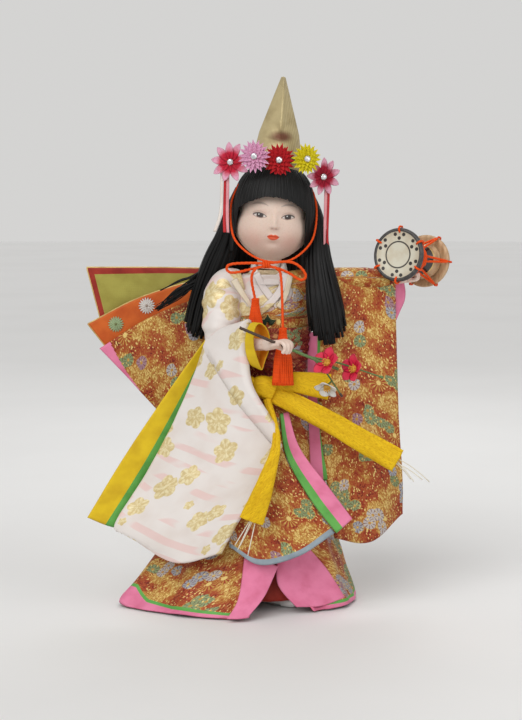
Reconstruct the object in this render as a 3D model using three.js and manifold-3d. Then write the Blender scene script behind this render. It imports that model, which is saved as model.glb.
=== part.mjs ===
// A Japanese dancer doll: a stuffed figure in layered silk robes, with a gold court cap on a
// wigged head, a lacquered hand drum in its left hand and a flowering branch in its right.
// Millimetres, +Z up. The doll faces -Y and stands on the soles of its socks at z = 0.
// The origin is the middle of the right sole, where such a doll is pinned to its stand.
import * as THREE from "three";
import { mergeVertices } from "three/addons/utils/BufferGeometryUtils.js";
import Module from "manifold-3d";

const wasm = await Module();
wasm.setup();

// Gaps between pieces
const CLEARANCE = 0.4; // between two pieces that lie on each other
const RUNNING_GAP = 0.6; // round a pin or a stem that turns or slides
const SEAT_GAP = 0.3; // between a piece and the face that it stands on

const FACET_TOLERANCE = 0.1; // how far a facet may stand off its surface

// Stuffed body: its middle line and the heights of its stations
const BODY_X = -6;
const BODY_Y = 4;
const BODY_BOTTOM = 22;
const HIP_HEIGHT = 105;
const WAIST_HEIGHT = 145;
const CHEST_HEIGHT = 186;
const SHOULDER_HEIGHT = 202;
const NECK_HEIGHT = 212;
const HIP_HALF_WIDTH = 26;
const HIP_HALF_DEPTH = 20;
const WAIST_HALF_WIDTH = 20;
const WAIST_HALF_DEPTH = 16;
const CHEST_HALF_WIDTH = 25;
const CHEST_HALF_DEPTH = 16;
const SHOULDER_HALF_WIDTH = 23;
const SHOULDER_HALF_DEPTH = 12;
const NECK_STUMP_RADIUS = 9;

// Legs with their moulded socks
const LEG_RADIUS = 7;
const LEG_TOP = 92;
const ANKLE_HEIGHT = 9;
const FOOT_LENGTH = 38;
const FOOT_HALF_WIDTH = 8;
const FOOT_HALF_HEIGHT = 7;
const RIGHT_FOOT_TURN = THREE.MathUtils.degToRad(-36);
const LEFT_FOOT_PLACE = [-33, 16];
const LEFT_FOOT_TURN = THREE.MathUtils.degToRad(-75);

// Arms: wrapped wire from the shoulder to the wrist pin
const ARM_RADIUS = 4.2;
const ARM_REFERENCE = [0.9, 0.9, 0.3]; // a direction that neither arm runs along
const WRIST_PIN_RADIUS = 1.2;
const WRIST_PIN_LENGTH = 7;
const RIGHT_SHOULDER = [-22, 1, 203];
const RIGHT_ELBOW = [-38, -16, 167];
const RIGHT_WRIST = [-5, -42, 169];
const LEFT_SHOULDER = [12, 2, 203];
const LEFT_ELBOW = [46, 4, 208];
const LEFT_WRIST = [73, 1, 206];
const PALM_LENGTH = 13;
const PALM_HALF_WIDTH = 5;
const PALM_HALF_DEPTH = 3;
const FINGER_RADIUS = 1.5;
const FINGER_LENGTH = 9;
const KNUCKLE_SHARE = 0.85; // how far along the palm the fingers start

// Head on its neck peg, in a frame of its own that leans to the doll's left
const HEAD_LEAN = THREE.MathUtils.degToRad(4.5);
const HEAD_TURN = THREE.MathUtils.degToRad(3);
const NECK_X = -4;
const NECK_Y = 2;
const NECK_RADIUS = 7.5;
const NECK_PEG_RADIUS = 3;
const NECK_PEG_DEPTH = 20; // down into the body
const NECK_PEG_RISE = 12; // up into the head
const HEAD_MIDDLE = 33; // height of the skull's middle over the neck's foot
const FACE_HALF_WIDTH = 21.5;
const HEAD_HALF_DEPTH = 25;
const HEAD_HALF_HEIGHT = 26;
const CHEEK_FULLNESS = 0.13;

// Wig: a cap with a cut fringe, and three falls of long hair that lie on the body
const HAIR_THICKNESS = 4.5;
const FRINGE_HEIGHT = 45; // lower edge of the fringe over the neck's foot
const FRINGE_HALF_WIDTH = 19.5;
const FRINGE_SIDE_DROP = 9; // how far the fringe's arch falls to its sides
const HAIR_CAP_BOTTOM = 10;

// Gold court cap, a tall pinched cone
const CAP_BASE = 56;
const CAP_TIP = 118.5;
const CAP_HALF_WIDTH = 17;
const CAP_HALF_DEPTH = 18;
const CAP_TIP_HALF_WIDTH = 1.6;
const CAP_TIP_HALF_DEPTH = 5;
const CAP_WALL = 1.2;

// Silk flowers on a wire band, with hanging ribbons at the two ends
const BAND_RADIUS = 1.1;
const FLOWER_THICKNESS = 1.6;
const RIBBON_WIDTH = 6.5;
const RIBBON_THICKNESS = 0.8;
const RIBBON_LENGTH = 36;

// Orange silk cord under the chin, its bow and its two tassels
const CORD_RADIUS = 0.75;
const CORD_KNOT_RADIUS = 1.7;
const TASSEL_HALF_WIDTH = 6.5;
const TASSEL_HALF_DEPTH = 2.2;
const TASSEL_LENGTH = 34;
const LEFT_TASSEL_TOP = [6.2, -8.8, -36.2]; // from the knot
const LEFT_TASSEL_LEAN = -4.5; // how far forward of its top the tassel's lower end lies
const RIGHT_TASSEL_TOP = [-11.3, 2.7, -19.2];
const RIGHT_TASSEL_LEAN = -2.5;
const KNOT_DROP = 1; // from the cord under the chin down to the knot

// Robes
const BODICE_THICKNESS = 1.2;
const COLLAR_THICKNESS = 1.8;
const CLOTH_THICKNESS = 1.6;
const SLEEVE_TOP_THICKNESS = 12;
const SLEEVE_HEM_THICKNESS = 3;
const CUFF_HALF_WIDTH = 7;
const CUFF_HALF_HEIGHT = 13.5;
const CUFF_LENGTH = 14;
const CUFF_START = 1; // how far behind the wrist the cuff's mouth lies
const LINING_THICKNESS = 1.6;
const OBI_BOTTOM = 146;
const OBI_TOP = 172;
const OBI_THICKNESS = 2;
const OBI_WIDENING = 6; // from the obi's bottom edge to its top
const SASH_BOTTOM = 137;
const SASH_TOP = 145.5;
const SASH_THICKNESS = 2;
const SKIRT_TOP = 145;
const SKIRT_FLARE = 2.2;
const SKIRT_EDGE_FLARE = 4.5; // at the front edges, which hang closed almost to the hem
const SKIRT_FOLD_COUNT = 7;
const SKIRT_FOLD_DEPTH = 2.2;
const SKIRT_STAND_OFF = 4;
const SKIRT_HIP_EASE = 6; // round the hips
const SKIRT_HIP_SHARE = 0.3; // how far down the skirt the hips lie
const UNDER_SKIRT_TOP = 120;
const UNDER_SKIRT_BOTTOM = 6;

// Hand drum: two skins on iron rings, laced across an hourglass body
const DRUM_LENGTH = 42;
const DRUM_HEAD_RADIUS = 16.5;
const DRUM_HEAD_THICKNESS = 3.2;
const DRUM_CUP_RADIUS = 11.5;
const DRUM_WAIST_RADIUS = 4.5;
const DRUM_LACE_COUNT = 6;
const DRUM_LACE_RADIUS = 0.7;
const DRUM_LACE_WAIST = 7.2;
const DRUM_FRONT = [1.5, -21, 16]; // the front skin's middle from the left wrist
const DRUM_AXIS = [0.5, 0.855, -0.14];

// Flowering branch that slides through the right hand
const STEM_RADIUS = 0.9;
const TWIG_RADIUS = 0.63;
const STEM_START = [-16.5, -8.5, 11]; // from the right wrist
const STEM_SLOPE = [0.92, 0, -0.39];
const STEM_LENGTH = 64;
const BLOSSOM_THICKNESS = 1.6;
const BLOSSOM_PETALS = 5;

const point = ([x, y, z]) => new THREE.Vector3(x, y, z);
const lerp = THREE.MathUtils.lerp;
/** A net of points, given from the point that it hangs from. */
const hungFrom = ([x, y, z], net) => net.map(
  (row) => row.map(([dx, dy, dz]) => [x + dx, y + dy, z + dz]));

// Geometry to solid and back

/** A closed geometry as a solid that can be joined and cut. */
function solidOf(geometry) {
  const bare = geometry.index ? geometry.toNonIndexed() : geometry.clone();
  const positions = new THREE.BufferGeometry();
  positions.setAttribute("position", bare.getAttribute("position"));
  const merged = mergeVertices(positions, 1e-4);
  const solid = new wasm.Manifold(
    new wasm.Mesh({
      numProp: 3,
      vertProperties: merged.attributes.position.array,
      triVerts: new Uint32Array(merged.index.array),
    }),
  );
  return solid;
}

/** A solid as a geometry for a mesh, without the slivers that cutting leaves. */
function geometryOf(solid) {
  const made = solid.simplify(FACET_TOLERANCE).getMesh();
  const geometry = new THREE.BufferGeometry();
  geometry.setAttribute("position", new THREE.BufferAttribute(made.vertProperties, 3));
  geometry.setIndex(new THREE.BufferAttribute(made.triVerts, 1));
  geometry.computeVertexNormals();
  return geometry;
}

/** A solid less its cutters, keeping the largest piece that is left. */
function trimmed(solid, ...cutters) {
  const left = cutters.reduce((rest, cutter) => rest.subtract(cutter), solid);
  return left.decompose().reduce((a, b) => (a.volume() > b.volume() ? a : b));
}

/** A solid moved by a matrix. */
function moved(solid, matrix) {
  return solid.transform(matrix.elements);
}

/** A closed geometry from points and triangles, turned so that its faces point out. */
function closedGeometry(points, triangles) {
  let volume = 0;
  const normal = new THREE.Vector3();
  for (const [a, b, c] of triangles) {
    volume += points[a].dot(normal.crossVectors(points[b], points[c]));
  }
  const order = volume < 0 ? ([a, b, c]) => [a, c, b] : (t) => t;
  const geometry = new THREE.BufferGeometry().setFromPoints(points);
  geometry.setIndex(triangles.flatMap(order));
  return geometry;
}

// Shapes

/** A box from its lowest to its highest corner. */
function block(low, high) {
  const size = point(high).sub(point(low));
  const geometry = new THREE.BoxGeometry(size.x, size.y, size.z);
  geometry.translate(...point(low).addScaledVector(size, 0.5).toArray());
  return solidOf(geometry);
}

/** Rings of equal count joined into a tube, with both ends closed. */
function tubeOfRings(rings) {
  const count = rings[0].length;
  const points = rings.flat();
  const triangles = [];
  for (let r = 0; r + 1 < rings.length; r++) {
    for (let i = 0; i < count; i++) {
      const j = (i + 1) % count;
      const [a, b] = [r * count + i, r * count + j];
      triangles.push([a, b, b + count], [a, b + count, a + count]);
    }
  }
  for (const first of [0, (rings.length - 1) * count]) {
    const middle = new THREE.Vector3();
    for (let i = 0; i < count; i++) {
      middle.addScaledVector(points[first + i], 1 / count);
    }
    const hub = points.push(middle) - 1;
    for (let i = 0; i < count; i++) {
      const [a, b] = [first + i, first + ((i + 1) % count)];
      triangles.push(first === 0 ? [hub, b, a] : [hub, a, b]);
    }
  }
  return solidOf(closedGeometry(points, triangles));
}

/** Level rings, each section a middle and two half sizes, smoothed and joined into a solid. */
function loft(sections, { sides = 20, rings = 12, grow = 0 } = {}) {
  const middles = new THREE.CatmullRomCurve3(sections.map((s) => point(s)), false, "catmullrom");
  const sizes = new THREE.CatmullRomCurve3(
    sections.map((s) => new THREE.Vector3(s[3], s[4], s[5] ?? 0)), false, "catmullrom");
  const made = [];
  for (let r = 0; r <= rings; r++) {
    const middle = middles.getPoint(r / rings);
    const size = sizes.getPoint(r / rings);
    if (r === 0 || r === rings) {
      const outward = Math.sign(middles.getPoint(r / rings).z - middles.getPoint(0.5).z);
      middle.z += grow * outward;
    }
    const ring = [];
    for (let i = 0; i < sides; i++) {
      const angle = (2 * Math.PI * i) / sides + size.z;
      ring.push(new THREE.Vector3(
        middle.x + (size.x + grow) * Math.cos(angle),
        middle.y + (size.y + grow) * Math.sin(angle), middle.z));
    }
    made.push(ring);
  }
  return tubeOfRings(made);
}

/** A bar along a smooth path, with half width across up and half height along it. */
function bar(path, sizes, { sides = 10, steps = 10, up = [0, 0, 1], grow = 0 } = {}) {
  const line = new THREE.CatmullRomCurve3(path.map(point), false, "catmullrom");
  const widths = new THREE.CatmullRomCurve3(
    sizes.map(([w, h]) => new THREE.Vector3(w, h, 0)), false, "catmullrom");
  const made = [];
  for (let s = 0; s <= steps; s++) {
    const t = s / steps;
    const middle = line.getPoint(t);
    const along = line.getTangent(t);
    const across = new THREE.Vector3().crossVectors(along, point(up)).normalize();
    const rise = new THREE.Vector3().crossVectors(across, along);
    const size = widths.getPoint(t);
    const end = s === 0 ? -1 : Number(s === steps);
    middle.addScaledVector(along, end * grow);
    const ring = [];
    for (let i = 0; i < sides; i++) {
      const angle = (2 * Math.PI * (i + 0.5)) / sides;
      ring.push(middle.clone()
        .addScaledVector(across, (size.x + grow) * Math.cos(angle))
        .addScaledVector(rise, (size.y + grow) * Math.sin(angle)));
    }
    made.push(ring);
  }
  return tubeOfRings(made);
}

/** A round cord along a smooth path. */
function cord(path, radius, { sides = 6, steps = 24 } = {}) {
  const line = new THREE.CatmullRomCurve3(path.map(point), false, "centripetal");
  const section = new THREE.Shape(
    Array.from({ length: sides }, (_, i) => {
      const angle = (2 * Math.PI * i) / sides;
      return new THREE.Vector2(radius * Math.cos(angle), radius * Math.sin(angle));
    }),
  );
  return solidOf(new THREE.ExtrudeGeometry(section, { steps, extrudePath: line }));
}

/**
 * A sheet of cloth. The net is a list of rows of points, smoothed both ways. Thickness runs from
 * the first row to the last, and fold gives waves of a depth that grows towards the last row.
 */
function cloth(net, { thickness, across = 8, along = 10, fold = null, grow = 0 }) {
  const rows = net.map((row) => new THREE.CatmullRomCurve3(row.map(point), false, "catmullrom"));
  const place = (u, v) => {
    const column = rows.map((row) => row.getPoint(u));
    return new THREE.CatmullRomCurve3(column, false, "catmullrom").getPoint(v);
  };
  return sheet(place, { thickness, across, along, fold, grow });
}

/** A closed sheet about the surface that place(u, v) gives, u and v from 0 to 1. */
function sheet(place, { thickness, across, along, fold = null, grow = 0 }) {
  const [thickFirst, thickLast] = [thickness].flat().length > 1 ? thickness : [thickness, thickness];
  const nudge = 0.01;
  const front = [];
  const back = [];
  for (let j = 0; j <= along; j++) {
    for (let i = 0; i <= across; i++) {
      const [u, v] = [i / across, j / along];
      const [u0, u1] = [Math.max(0, u - nudge), Math.min(1, u + nudge)];
      const [v0, v1] = [Math.max(0, v - nudge), Math.min(1, v + nudge)];
      const alongU = place(u1, v).sub(place(u0, v)).normalize();
      const alongV = place(u, v1).sub(place(u, v0)).normalize();
      const normal = new THREE.Vector3().crossVectors(alongU, alongV).normalize();
      const middle = place(u, v);
      if (fold) {
        const wave = Math.sin(2 * Math.PI * fold.count * u + (fold.phase ?? 0));
        middle.addScaledVector(normal, fold.depth * wave * v ** 1.5);
      }
      middle.addScaledVector(alongU, grow * (Number(i === across) - Number(i === 0)));
      middle.addScaledVector(alongV, grow * (Number(j === along) - Number(j === 0)));
      const half = lerp(thickFirst, thickLast, Math.sqrt(v)) / 2 + grow;
      front.push(middle.clone().addScaledVector(normal, half));
      back.push(middle.clone().addScaledVector(normal, -half));
    }
  }
  const width = across + 1;
  const count = front.length;
  const triangles = [];
  const quad = (a, b, c, d) => triangles.push([a, b, c], [a, c, d]);
  for (let j = 0; j < along; j++) {
    for (let i = 0; i < across; i++) {
      const a = j * width + i;
      quad(a, a + 1, a + 1 + width, a + width);
      quad(count + a, count + a + width, count + a + 1 + width, count + a + 1);
    }
  }
  for (let i = 0; i < across; i++) {
    const last = along * width + i;
    quad(i, count + i, count + i + 1, i + 1);
    quad(last, last + 1, count + last + 1, count + last);
  }
  for (let j = 0; j < along; j++) {
    const [first, last] = [j * width, j * width + across];
    quad(first, first + width, count + first + width, count + first);
    quad(last, count + last, count + last + width, last + width);
  }
  return solidOf(closedGeometry([...front, ...back], triangles));
}

/** A flat flower with pointed petals, its back at z = 0. */
function flower(petals, radius, heart, thickness) {
  const outline = new THREE.Shape();
  const stepsPerPetal = petals > 6 ? 4 : 8;
  for (let i = 0; i < petals * stepsPerPetal; i++) {
    const angle = (2 * Math.PI * i) / (petals * stepsPerPetal);
    const swell = Math.sqrt(Math.abs(Math.sin((petals * angle) / 2)));
    const reach = lerp(heart, radius, swell);
    const [x, y] = [reach * Math.cos(angle), reach * Math.sin(angle)];
    if (i === 0) {
      outline.moveTo(x, y);
    } else {
      outline.lineTo(x, y);
    }
  }
  return solidOf(new THREE.ExtrudeGeometry(outline, { depth: thickness, bevelEnabled: false }));
}

// Stuffed body and limbs

const bodySections = [
  [BODY_X, BODY_Y, BODY_BOTTOM, HIP_HALF_WIDTH, HIP_HALF_DEPTH],
  [BODY_X, BODY_Y, (BODY_BOTTOM + HIP_HEIGHT) / 2, HIP_HALF_WIDTH, HIP_HALF_DEPTH],
  [BODY_X, BODY_Y, HIP_HEIGHT, HIP_HALF_WIDTH, HIP_HALF_DEPTH],
  [BODY_X, BODY_Y, WAIST_HEIGHT, WAIST_HALF_WIDTH, WAIST_HALF_DEPTH],
  [BODY_X, BODY_Y, CHEST_HEIGHT, CHEST_HALF_WIDTH, CHEST_HALF_DEPTH],
  [BODY_X, BODY_Y, SHOULDER_HEIGHT, SHOULDER_HALF_WIDTH, SHOULDER_HALF_DEPTH],
  [NECK_X, NECK_Y, NECK_HEIGHT - SEAT_GAP, NECK_STUMP_RADIUS, NECK_STUMP_RADIUS],
];
const bodyShape = (grow = 0) => loft(bodySections, { sides: 14, rings: 8, grow });

/** A leg with its sock: the sole lies at z = 0, its middle at place. */
function leg([x, y], turn, top, grow = 0) {
  const [dx, dy] = [Math.cos(turn), Math.sin(turn)];
  const half = FOOT_LENGTH / 2;
  const along = (share, height) => [x + dx * half * share, y + dy * half * share, height];
  const foot = bar(
    [along(-1, ANKLE_HEIGHT - 2), along(-0.4, ANKLE_HEIGHT - 2), along(0.4, ANKLE_HEIGHT - 4),
      along(1, ANKLE_HEIGHT - 5)],
    [[FOOT_HALF_WIDTH * 0.6, FOOT_HALF_HEIGHT], [FOOT_HALF_WIDTH * 0.8, FOOT_HALF_HEIGHT * 1.2],
      [FOOT_HALF_WIDTH, FOOT_HALF_HEIGHT * 0.8], [FOOT_HALF_WIDTH * 0.6, FOOT_HALF_HEIGHT * 0.6]],
    { sides: 10, steps: 5, grow });
  const shin = bar(
    [along(-0.5, ANKLE_HEIGHT), along(-0.5, ANKLE_HEIGHT * 3), top],
    [[LEG_RADIUS - 1, LEG_RADIUS - 1], [LEG_RADIUS, LEG_RADIUS], [LEG_RADIUS, LEG_RADIUS]],
    { sides: 8, steps: 3, up: [0, 1, 0], grow });
  const floor = block([-200, -200, -50], [200, 200, 0]);
  return foot.add(shin).subtract(floor);
}
const rightLegTop = [BODY_X - 3, BODY_Y, LEG_TOP];
const leftLegTop = [BODY_X - 19, BODY_Y + 2, LEG_TOP];
const rightLeg = (grow) => leg([0, 0], RIGHT_FOOT_TURN, rightLegTop, grow);
const leftLeg = (grow) => leg(LEFT_FOOT_PLACE, LEFT_FOOT_TURN, leftLegTop, grow);

/** An arm of wrapped wire whose bare end is the pin that the hand turns on. */
function arm(shoulder, elbow, wrist, grow = 0) {
  const bend = new THREE.QuadraticBezierCurve3(
    point(elbow).lerp(point(shoulder), 0.45), point(elbow), point(elbow).lerp(point(wrist), 0.45));
  const path = [shoulder, ...bend.getPoints(4).map((p) => p.toArray()), wrist];
  const wristRadius = ARM_RADIUS * 0.8;
  const radii = path.map((_, i) => (i + 1 < path.length ? ARM_RADIUS : wristRadius));
  const sizes = radii.map((radius) => [radius, radius]);
  const wrapped = bar(path, sizes, { sides: 8, steps: 10, up: ARM_REFERENCE, grow });
  const pin = wristPin(elbow, wrist, WRIST_PIN_RADIUS + grow);
  return wrapped.add(pin);
}

/** The direction that a forearm points in. */
const forearm = (elbow, wrist) => point(wrist).sub(point(elbow)).normalize();

/** The bare wire at a wrist, from inside the wrapping to its end. */
function wristPin(elbow, wrist, radius) {
  const along = forearm(elbow, wrist);
  const inside = point(wrist).addScaledVector(along, -ARM_RADIUS);
  const end = point(wrist).addScaledVector(along, WRIST_PIN_LENGTH);
  return bar([inside.toArray(), end.toArray()], [[radius, radius], [radius, radius]],
    { sides: 8, steps: 1, up: [0, 0.3, 1] });
}

/** The room that a hand needs to turn on its pin. */
function wristRoom(elbow, wrist) {
  const along = forearm(elbow, wrist);
  const near = point(wrist).addScaledVector(along, -RUNNING_GAP);
  const far = point(wrist).addScaledVector(along, PALM_LENGTH + FINGER_LENGTH);
  const reach = Math.hypot(PALM_HALF_WIDTH, FINGER_LENGTH * 0.6 + FINGER_RADIUS) + RUNNING_GAP;
  return bar([near.toArray(), far.toArray()], [[reach, reach], [reach, reach]],
    { sides: 12, steps: 1, up: [0, 0.3, 1] });
}
const rightArm = (grow) => arm(RIGHT_SHOULDER, RIGHT_ELBOW, RIGHT_WRIST, grow);
const leftArm = (grow) => arm(LEFT_SHOULDER, LEFT_ELBOW, LEFT_WRIST, grow);

/** A hand past the wrist: a palm, four curled fingers and a thumb, bored for its pin. */
function hand(elbow, wrist, curl) {
  const along = forearm(elbow, wrist);
  const palmEnd = along.clone().multiplyScalar(PALM_LENGTH);
  const root = point(wrist).addScaledVector(along, SEAT_GAP);
  const at = (share, shift = new THREE.Vector3()) => root.clone()
    .addScaledVector(palmEnd, share).add(shift).toArray();
  const curlWay = point(curl).normalize();
  const side = new THREE.Vector3().crossVectors(along, curlWay).normalize();
  let made = bar([at(0), at(0.5), at(1)], [[3, 3], [PALM_HALF_WIDTH, PALM_HALF_DEPTH],
    [PALM_HALF_WIDTH, PALM_HALF_DEPTH * 0.8]], { sides: 8, steps: 2, up: curl });
  const digits = [-0.75, -0.25, 0.25, 0.75];
  for (const place of digits) {
    const shift = side.clone().multiplyScalar(place * PALM_HALF_WIDTH);
    const tip = shift.clone().addScaledVector(curlWay, FINGER_LENGTH * 0.6);
    const bend = shift.clone().addScaledVector(curlWay, FINGER_LENGTH * 0.12);
    const [rootRadius, tipRadius] = [FINGER_RADIUS, FINGER_RADIUS * 0.7];
    made = made.add(bar(
      [at(KNUCKLE_SHARE, shift), at(KNUCKLE_SHARE + FINGER_LENGTH / PALM_LENGTH / 2, bend),
        at(KNUCKLE_SHARE + FINGER_LENGTH / PALM_LENGTH / 3, tip)],
      [[rootRadius, rootRadius], [rootRadius, rootRadius], [tipRadius, tipRadius]],
      { sides: 5, steps: 2, up: side.toArray() }));
  }
  const thumbRoot = side.clone().multiplyScalar(PALM_HALF_WIDTH * 0.6);
  const thumbTip = side.clone().multiplyScalar(PALM_HALF_WIDTH * 0.7)
    .addScaledVector(curlWay, FINGER_LENGTH * 0.6);
  made = made.add(bar([at(0.3, thumbRoot), at(0.75, thumbTip)],
    [[FINGER_RADIUS, FINGER_RADIUS], [FINGER_RADIUS * 0.8, FINGER_RADIUS * 0.8]],
    { sides: 5, steps: 2, up: along.toArray() }));
  return made.subtract(wristPin(elbow, wrist, WRIST_PIN_RADIUS + RUNNING_GAP));
}

// Head, wig, cap and flowers, in the head's own frame

const headFrame = new THREE.Matrix4().compose(
  new THREE.Vector3(NECK_X, NECK_Y, NECK_HEIGHT),
  new THREE.Quaternion().setFromEuler(new THREE.Euler(0, HEAD_LEAN, HEAD_TURN, "YZX")),
  new THREE.Vector3(1, 1, 1));

/** An egg with a full jaw, about the skull's middle, with its half sizes grown. */
function skull(grow) {
  const ball = new THREE.SphereGeometry(1, 16, 10);
  ball.rotateX(Math.PI / 2);
  const place = ball.getAttribute("position");
  for (let i = 0; i < place.count; i++) {
    const [x, y, z] = [place.getX(i), place.getY(i), place.getZ(i)];
    const towardsFace = THREE.MathUtils.smoothstep(-y, -1, 0.4);
    const jaw = 1 + CHEEK_FULLNESS * Math.sin(Math.PI * Math.max(0, -z)) * towardsFace;
    place.setXYZ(i, x * (FACE_HALF_WIDTH + grow) * jaw, y * (HEAD_HALF_DEPTH + grow),
      HEAD_MIDDLE + z * (HEAD_HALF_HEIGHT + grow));
  }
  return solidOf(ball);
}

const neck = (grow = 0) => loft(
  [[0, 0, 0, NECK_RADIUS, NECK_RADIUS], [0, 0, HEAD_MIDDLE / 2, NECK_RADIUS, NECK_RADIUS]],
  { sides: 14, rings: 1, grow });
const neckPeg = (grow = 0) => loft(
  [[0, 0, -NECK_PEG_DEPTH, NECK_PEG_RADIUS, NECK_PEG_RADIUS],
    [0, 0, NECK_PEG_RISE, NECK_PEG_RADIUS, NECK_PEG_RADIUS]],
  { sides: 12, rings: 1, grow });
const headShape = () => skull(0).add(neck()).subtract(neckPeg(CLEARANCE));

/** The opening that the wig leaves round the face, arched under the fringe. */
function faceWindow() {
  const deep = HEAD_HALF_DEPTH * 2;
  const arch = new THREE.Shape();
  const side = FRINGE_HALF_WIDTH;
  const springing = FRINGE_HEIGHT - FRINGE_SIDE_DROP;
  arch.moveTo(-side, -FRINGE_HEIGHT);
  arch.lineTo(side, -FRINGE_HEIGHT);
  arch.lineTo(side, springing);
  arch.quadraticCurveTo(side * 0.7, FRINGE_HEIGHT, 0, FRINGE_HEIGHT);
  arch.quadraticCurveTo(-side * 0.7, FRINGE_HEIGHT, -side, springing);
  arch.closePath();
  const prism = new THREE.ExtrudeGeometry(arch, { depth: deep, bevelEnabled: false, curveSegments: 6 });
  prism.rotateX(Math.PI / 2);
  return solidOf(prism);
}

/** The wig's cap: the skull's outside, drawn straight down at the sides and behind. */
function hairCap() {
  const dome = skull(HAIR_THICKNESS);
  const width = FACE_HALF_WIDTH + HAIR_THICKNESS;
  const depth = HEAD_HALF_DEPTH + HAIR_THICKNESS;
  const curtain = loft(
    [[0, 2, HAIR_CAP_BOTTOM, width, depth - 3], [0, 1, HEAD_MIDDLE, width, depth - 1]],
    { sides: 20, rings: 2 });
  const inside = loft(
    [[0, 3, HAIR_CAP_BOTTOM - 5, width - HAIR_THICKNESS, depth - HAIR_THICKNESS - 3],
      [0, 3, HEAD_MIDDLE, width - HAIR_THICKNESS, depth - HAIR_THICKNESS - 2]],
    { sides: 20, rings: 2 });
  const below = block([-60, -60, -60], [60, 60, HAIR_CAP_BOTTOM]);
  const skin = skull(CLEARANCE);
  return trimmed(dome.add(curtain), inside, skin, faceWindow(), neck(CLEARANCE), below);
}

/** The court cap: a tall cone pinched from front to back, hollow from below. */
function courtCap(grow = 0) {
  const height = CAP_TIP - CAP_BASE;
  const at = (share, width, depth) => [0, 1 + 3 * share, CAP_BASE + height * share, width, depth];
  return loft(
    [at(0, CAP_HALF_WIDTH, CAP_HALF_DEPTH),
      at(0.45, lerp(CAP_TIP_HALF_WIDTH, CAP_HALF_WIDTH, 0.58),
        lerp(CAP_TIP_HALF_DEPTH, CAP_HALF_DEPTH, 0.6)),
      at(1, CAP_TIP_HALF_WIDTH, CAP_TIP_HALF_DEPTH)],
    { sides: 12, rings: 3, grow });
}
/** The cap's shell, open below, where it sits on the wig. */
function capShape() {
  const hollow = courtCap(-CAP_WALL);
  const mouth = hollow.translate([0, 0, -2 * CAP_WALL]);
  return trimmed(courtCap(), hollow, mouth, skull(HAIR_THICKNESS + CLEARANCE));
}

// Flowers from the doll's right to its left: place, petals, radius, heart, colour
const headFlowers = [
  { name: "flower_right_end", at: [-30, -8, 64], petals: 9, radius: 10.3, heart: 4, colour: 0xd4343f },
  { name: "flower_pink", at: [-15, -13.5, 68.5], petals: 12, radius: 9.3, heart: 6, colour: 0xe58cc8 },
  { name: "flower_red", at: [0.7, -15.2, 67.5], petals: 12, radius: 9, heart: 6, colour: 0xb0131f },
  { name: "flower_yellow", at: [16.5, -13.5, 69.5], petals: 12, radius: 8.6, heart: 6, colour: 0xe3d20c },
  { name: "flower_left_end", at: [28.5, -8, 59.5], petals: 9, radius: 10, heart: 4, colour: 0xa8182c },
];
// Neighbours stand on longer and shorter stalks, so that their petals overlap and don't touch.
const flowerStalks = [3, 7, 4, 7, 3];
const FLOWER_STALK_RADIUS = 1.6;

const bandPoints = headFlowers.map(({ at }) => at);
const bandLine = new THREE.CatmullRomCurve3(bandPoints.map(point), false, "catmullrom");
const headBand = () => cord(bandPoints, BAND_RADIUS, { sides: 8, steps: 14 });

/** A flower's place: in front of the band on its stalk, facing out from it. */
function flowerFrame(index) {
  const along = bandLine.getTangent(index / (headFlowers.length - 1)).setZ(0).normalize();
  const face = new THREE.Vector3(along.y, -along.x, 0);
  const reach = BAND_RADIUS + SEAT_GAP + flowerStalks[index];
  const turn = new THREE.Matrix4().makeBasis(along, new THREE.Vector3(0, 0, 1), face);
  return turn.setPosition(point(headFlowers[index].at).addScaledVector(face, reach));
}

/** A silk flower of the band with its stalk behind it. */
function bandFlower(index) {
  const { petals, radius, heart } = headFlowers[index];
  return flower(petals, radius, heart, FLOWER_THICKNESS).add(flowerStalk(index));
}

/** The stalk behind a flower, in the flower's frame. */
function flowerStalk(index, grow = 0) {
  return loft([[0, 0, -flowerStalks[index], FLOWER_STALK_RADIUS, FLOWER_STALK_RADIUS],
    [0, 0, FLOWER_THICKNESS / 2, FLOWER_STALK_RADIUS, FLOWER_STALK_RADIUS]], { sides: 8, rings: 1, grow });
}

/** The cord from the cap's sides, down the cheeks and under the chin. */
const chinPath = [
  [-19.5, -4, 56], [-24.4, -5, 47], [-26.6, -6, 36], [-24.4, -14, 20], [-16.5, -22.5, 9],
  [-4.5, -26.5, 3.8], [9, -26, 4.6], [18.5, -21.5, 11], [25, -13, 22], [26.6, -6, 36],
  [24.4, -5, 47], [19.5, -4, 56],
];
const chinCord = () => cord(chinPath, CORD_RADIUS, { steps: 28 });

/** A ribbon bunch that hangs plumb on an end flower's stalk, in the flower's frame. */
function ribbon(index) {
  const depth = -flowerStalks[index] / 2;
  const head = FLOWER_STALK_RADIUS + 1.5;
  const drift = RIBBON_LENGTH * Math.tan(HEAD_LEAN);
  const half = RIBBON_WIDTH / 2;
  const row = (x, y, bulge) => [[x - half, y, depth + bulge], [x + half, y, depth + bulge]];
  const strip = cloth(
    [row(0, head, 0), row(drift / 2, -RIBBON_LENGTH / 2, 0.5), row(drift, -RIBBON_LENGTH, 0)],
    { thickness: RIBBON_THICKNESS, across: 2, along: 5 });
  return trimmed(strip, flowerStalk(index, SEAT_GAP));
}

// Cord bow and tassels, hung under the chin

const chinLow = point(chinPath[5]).lerp(point(chinPath[6]), 0.4).applyMatrix4(headFrame);
const knot = [chinLow.x, chinLow.y, chinLow.z - CORD_RADIUS - KNOT_DROP - CORD_KNOT_RADIUS];
const fromKnot = (x, y, z) => [knot[0] + x, knot[1] + y, knot[2] + z];

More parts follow.
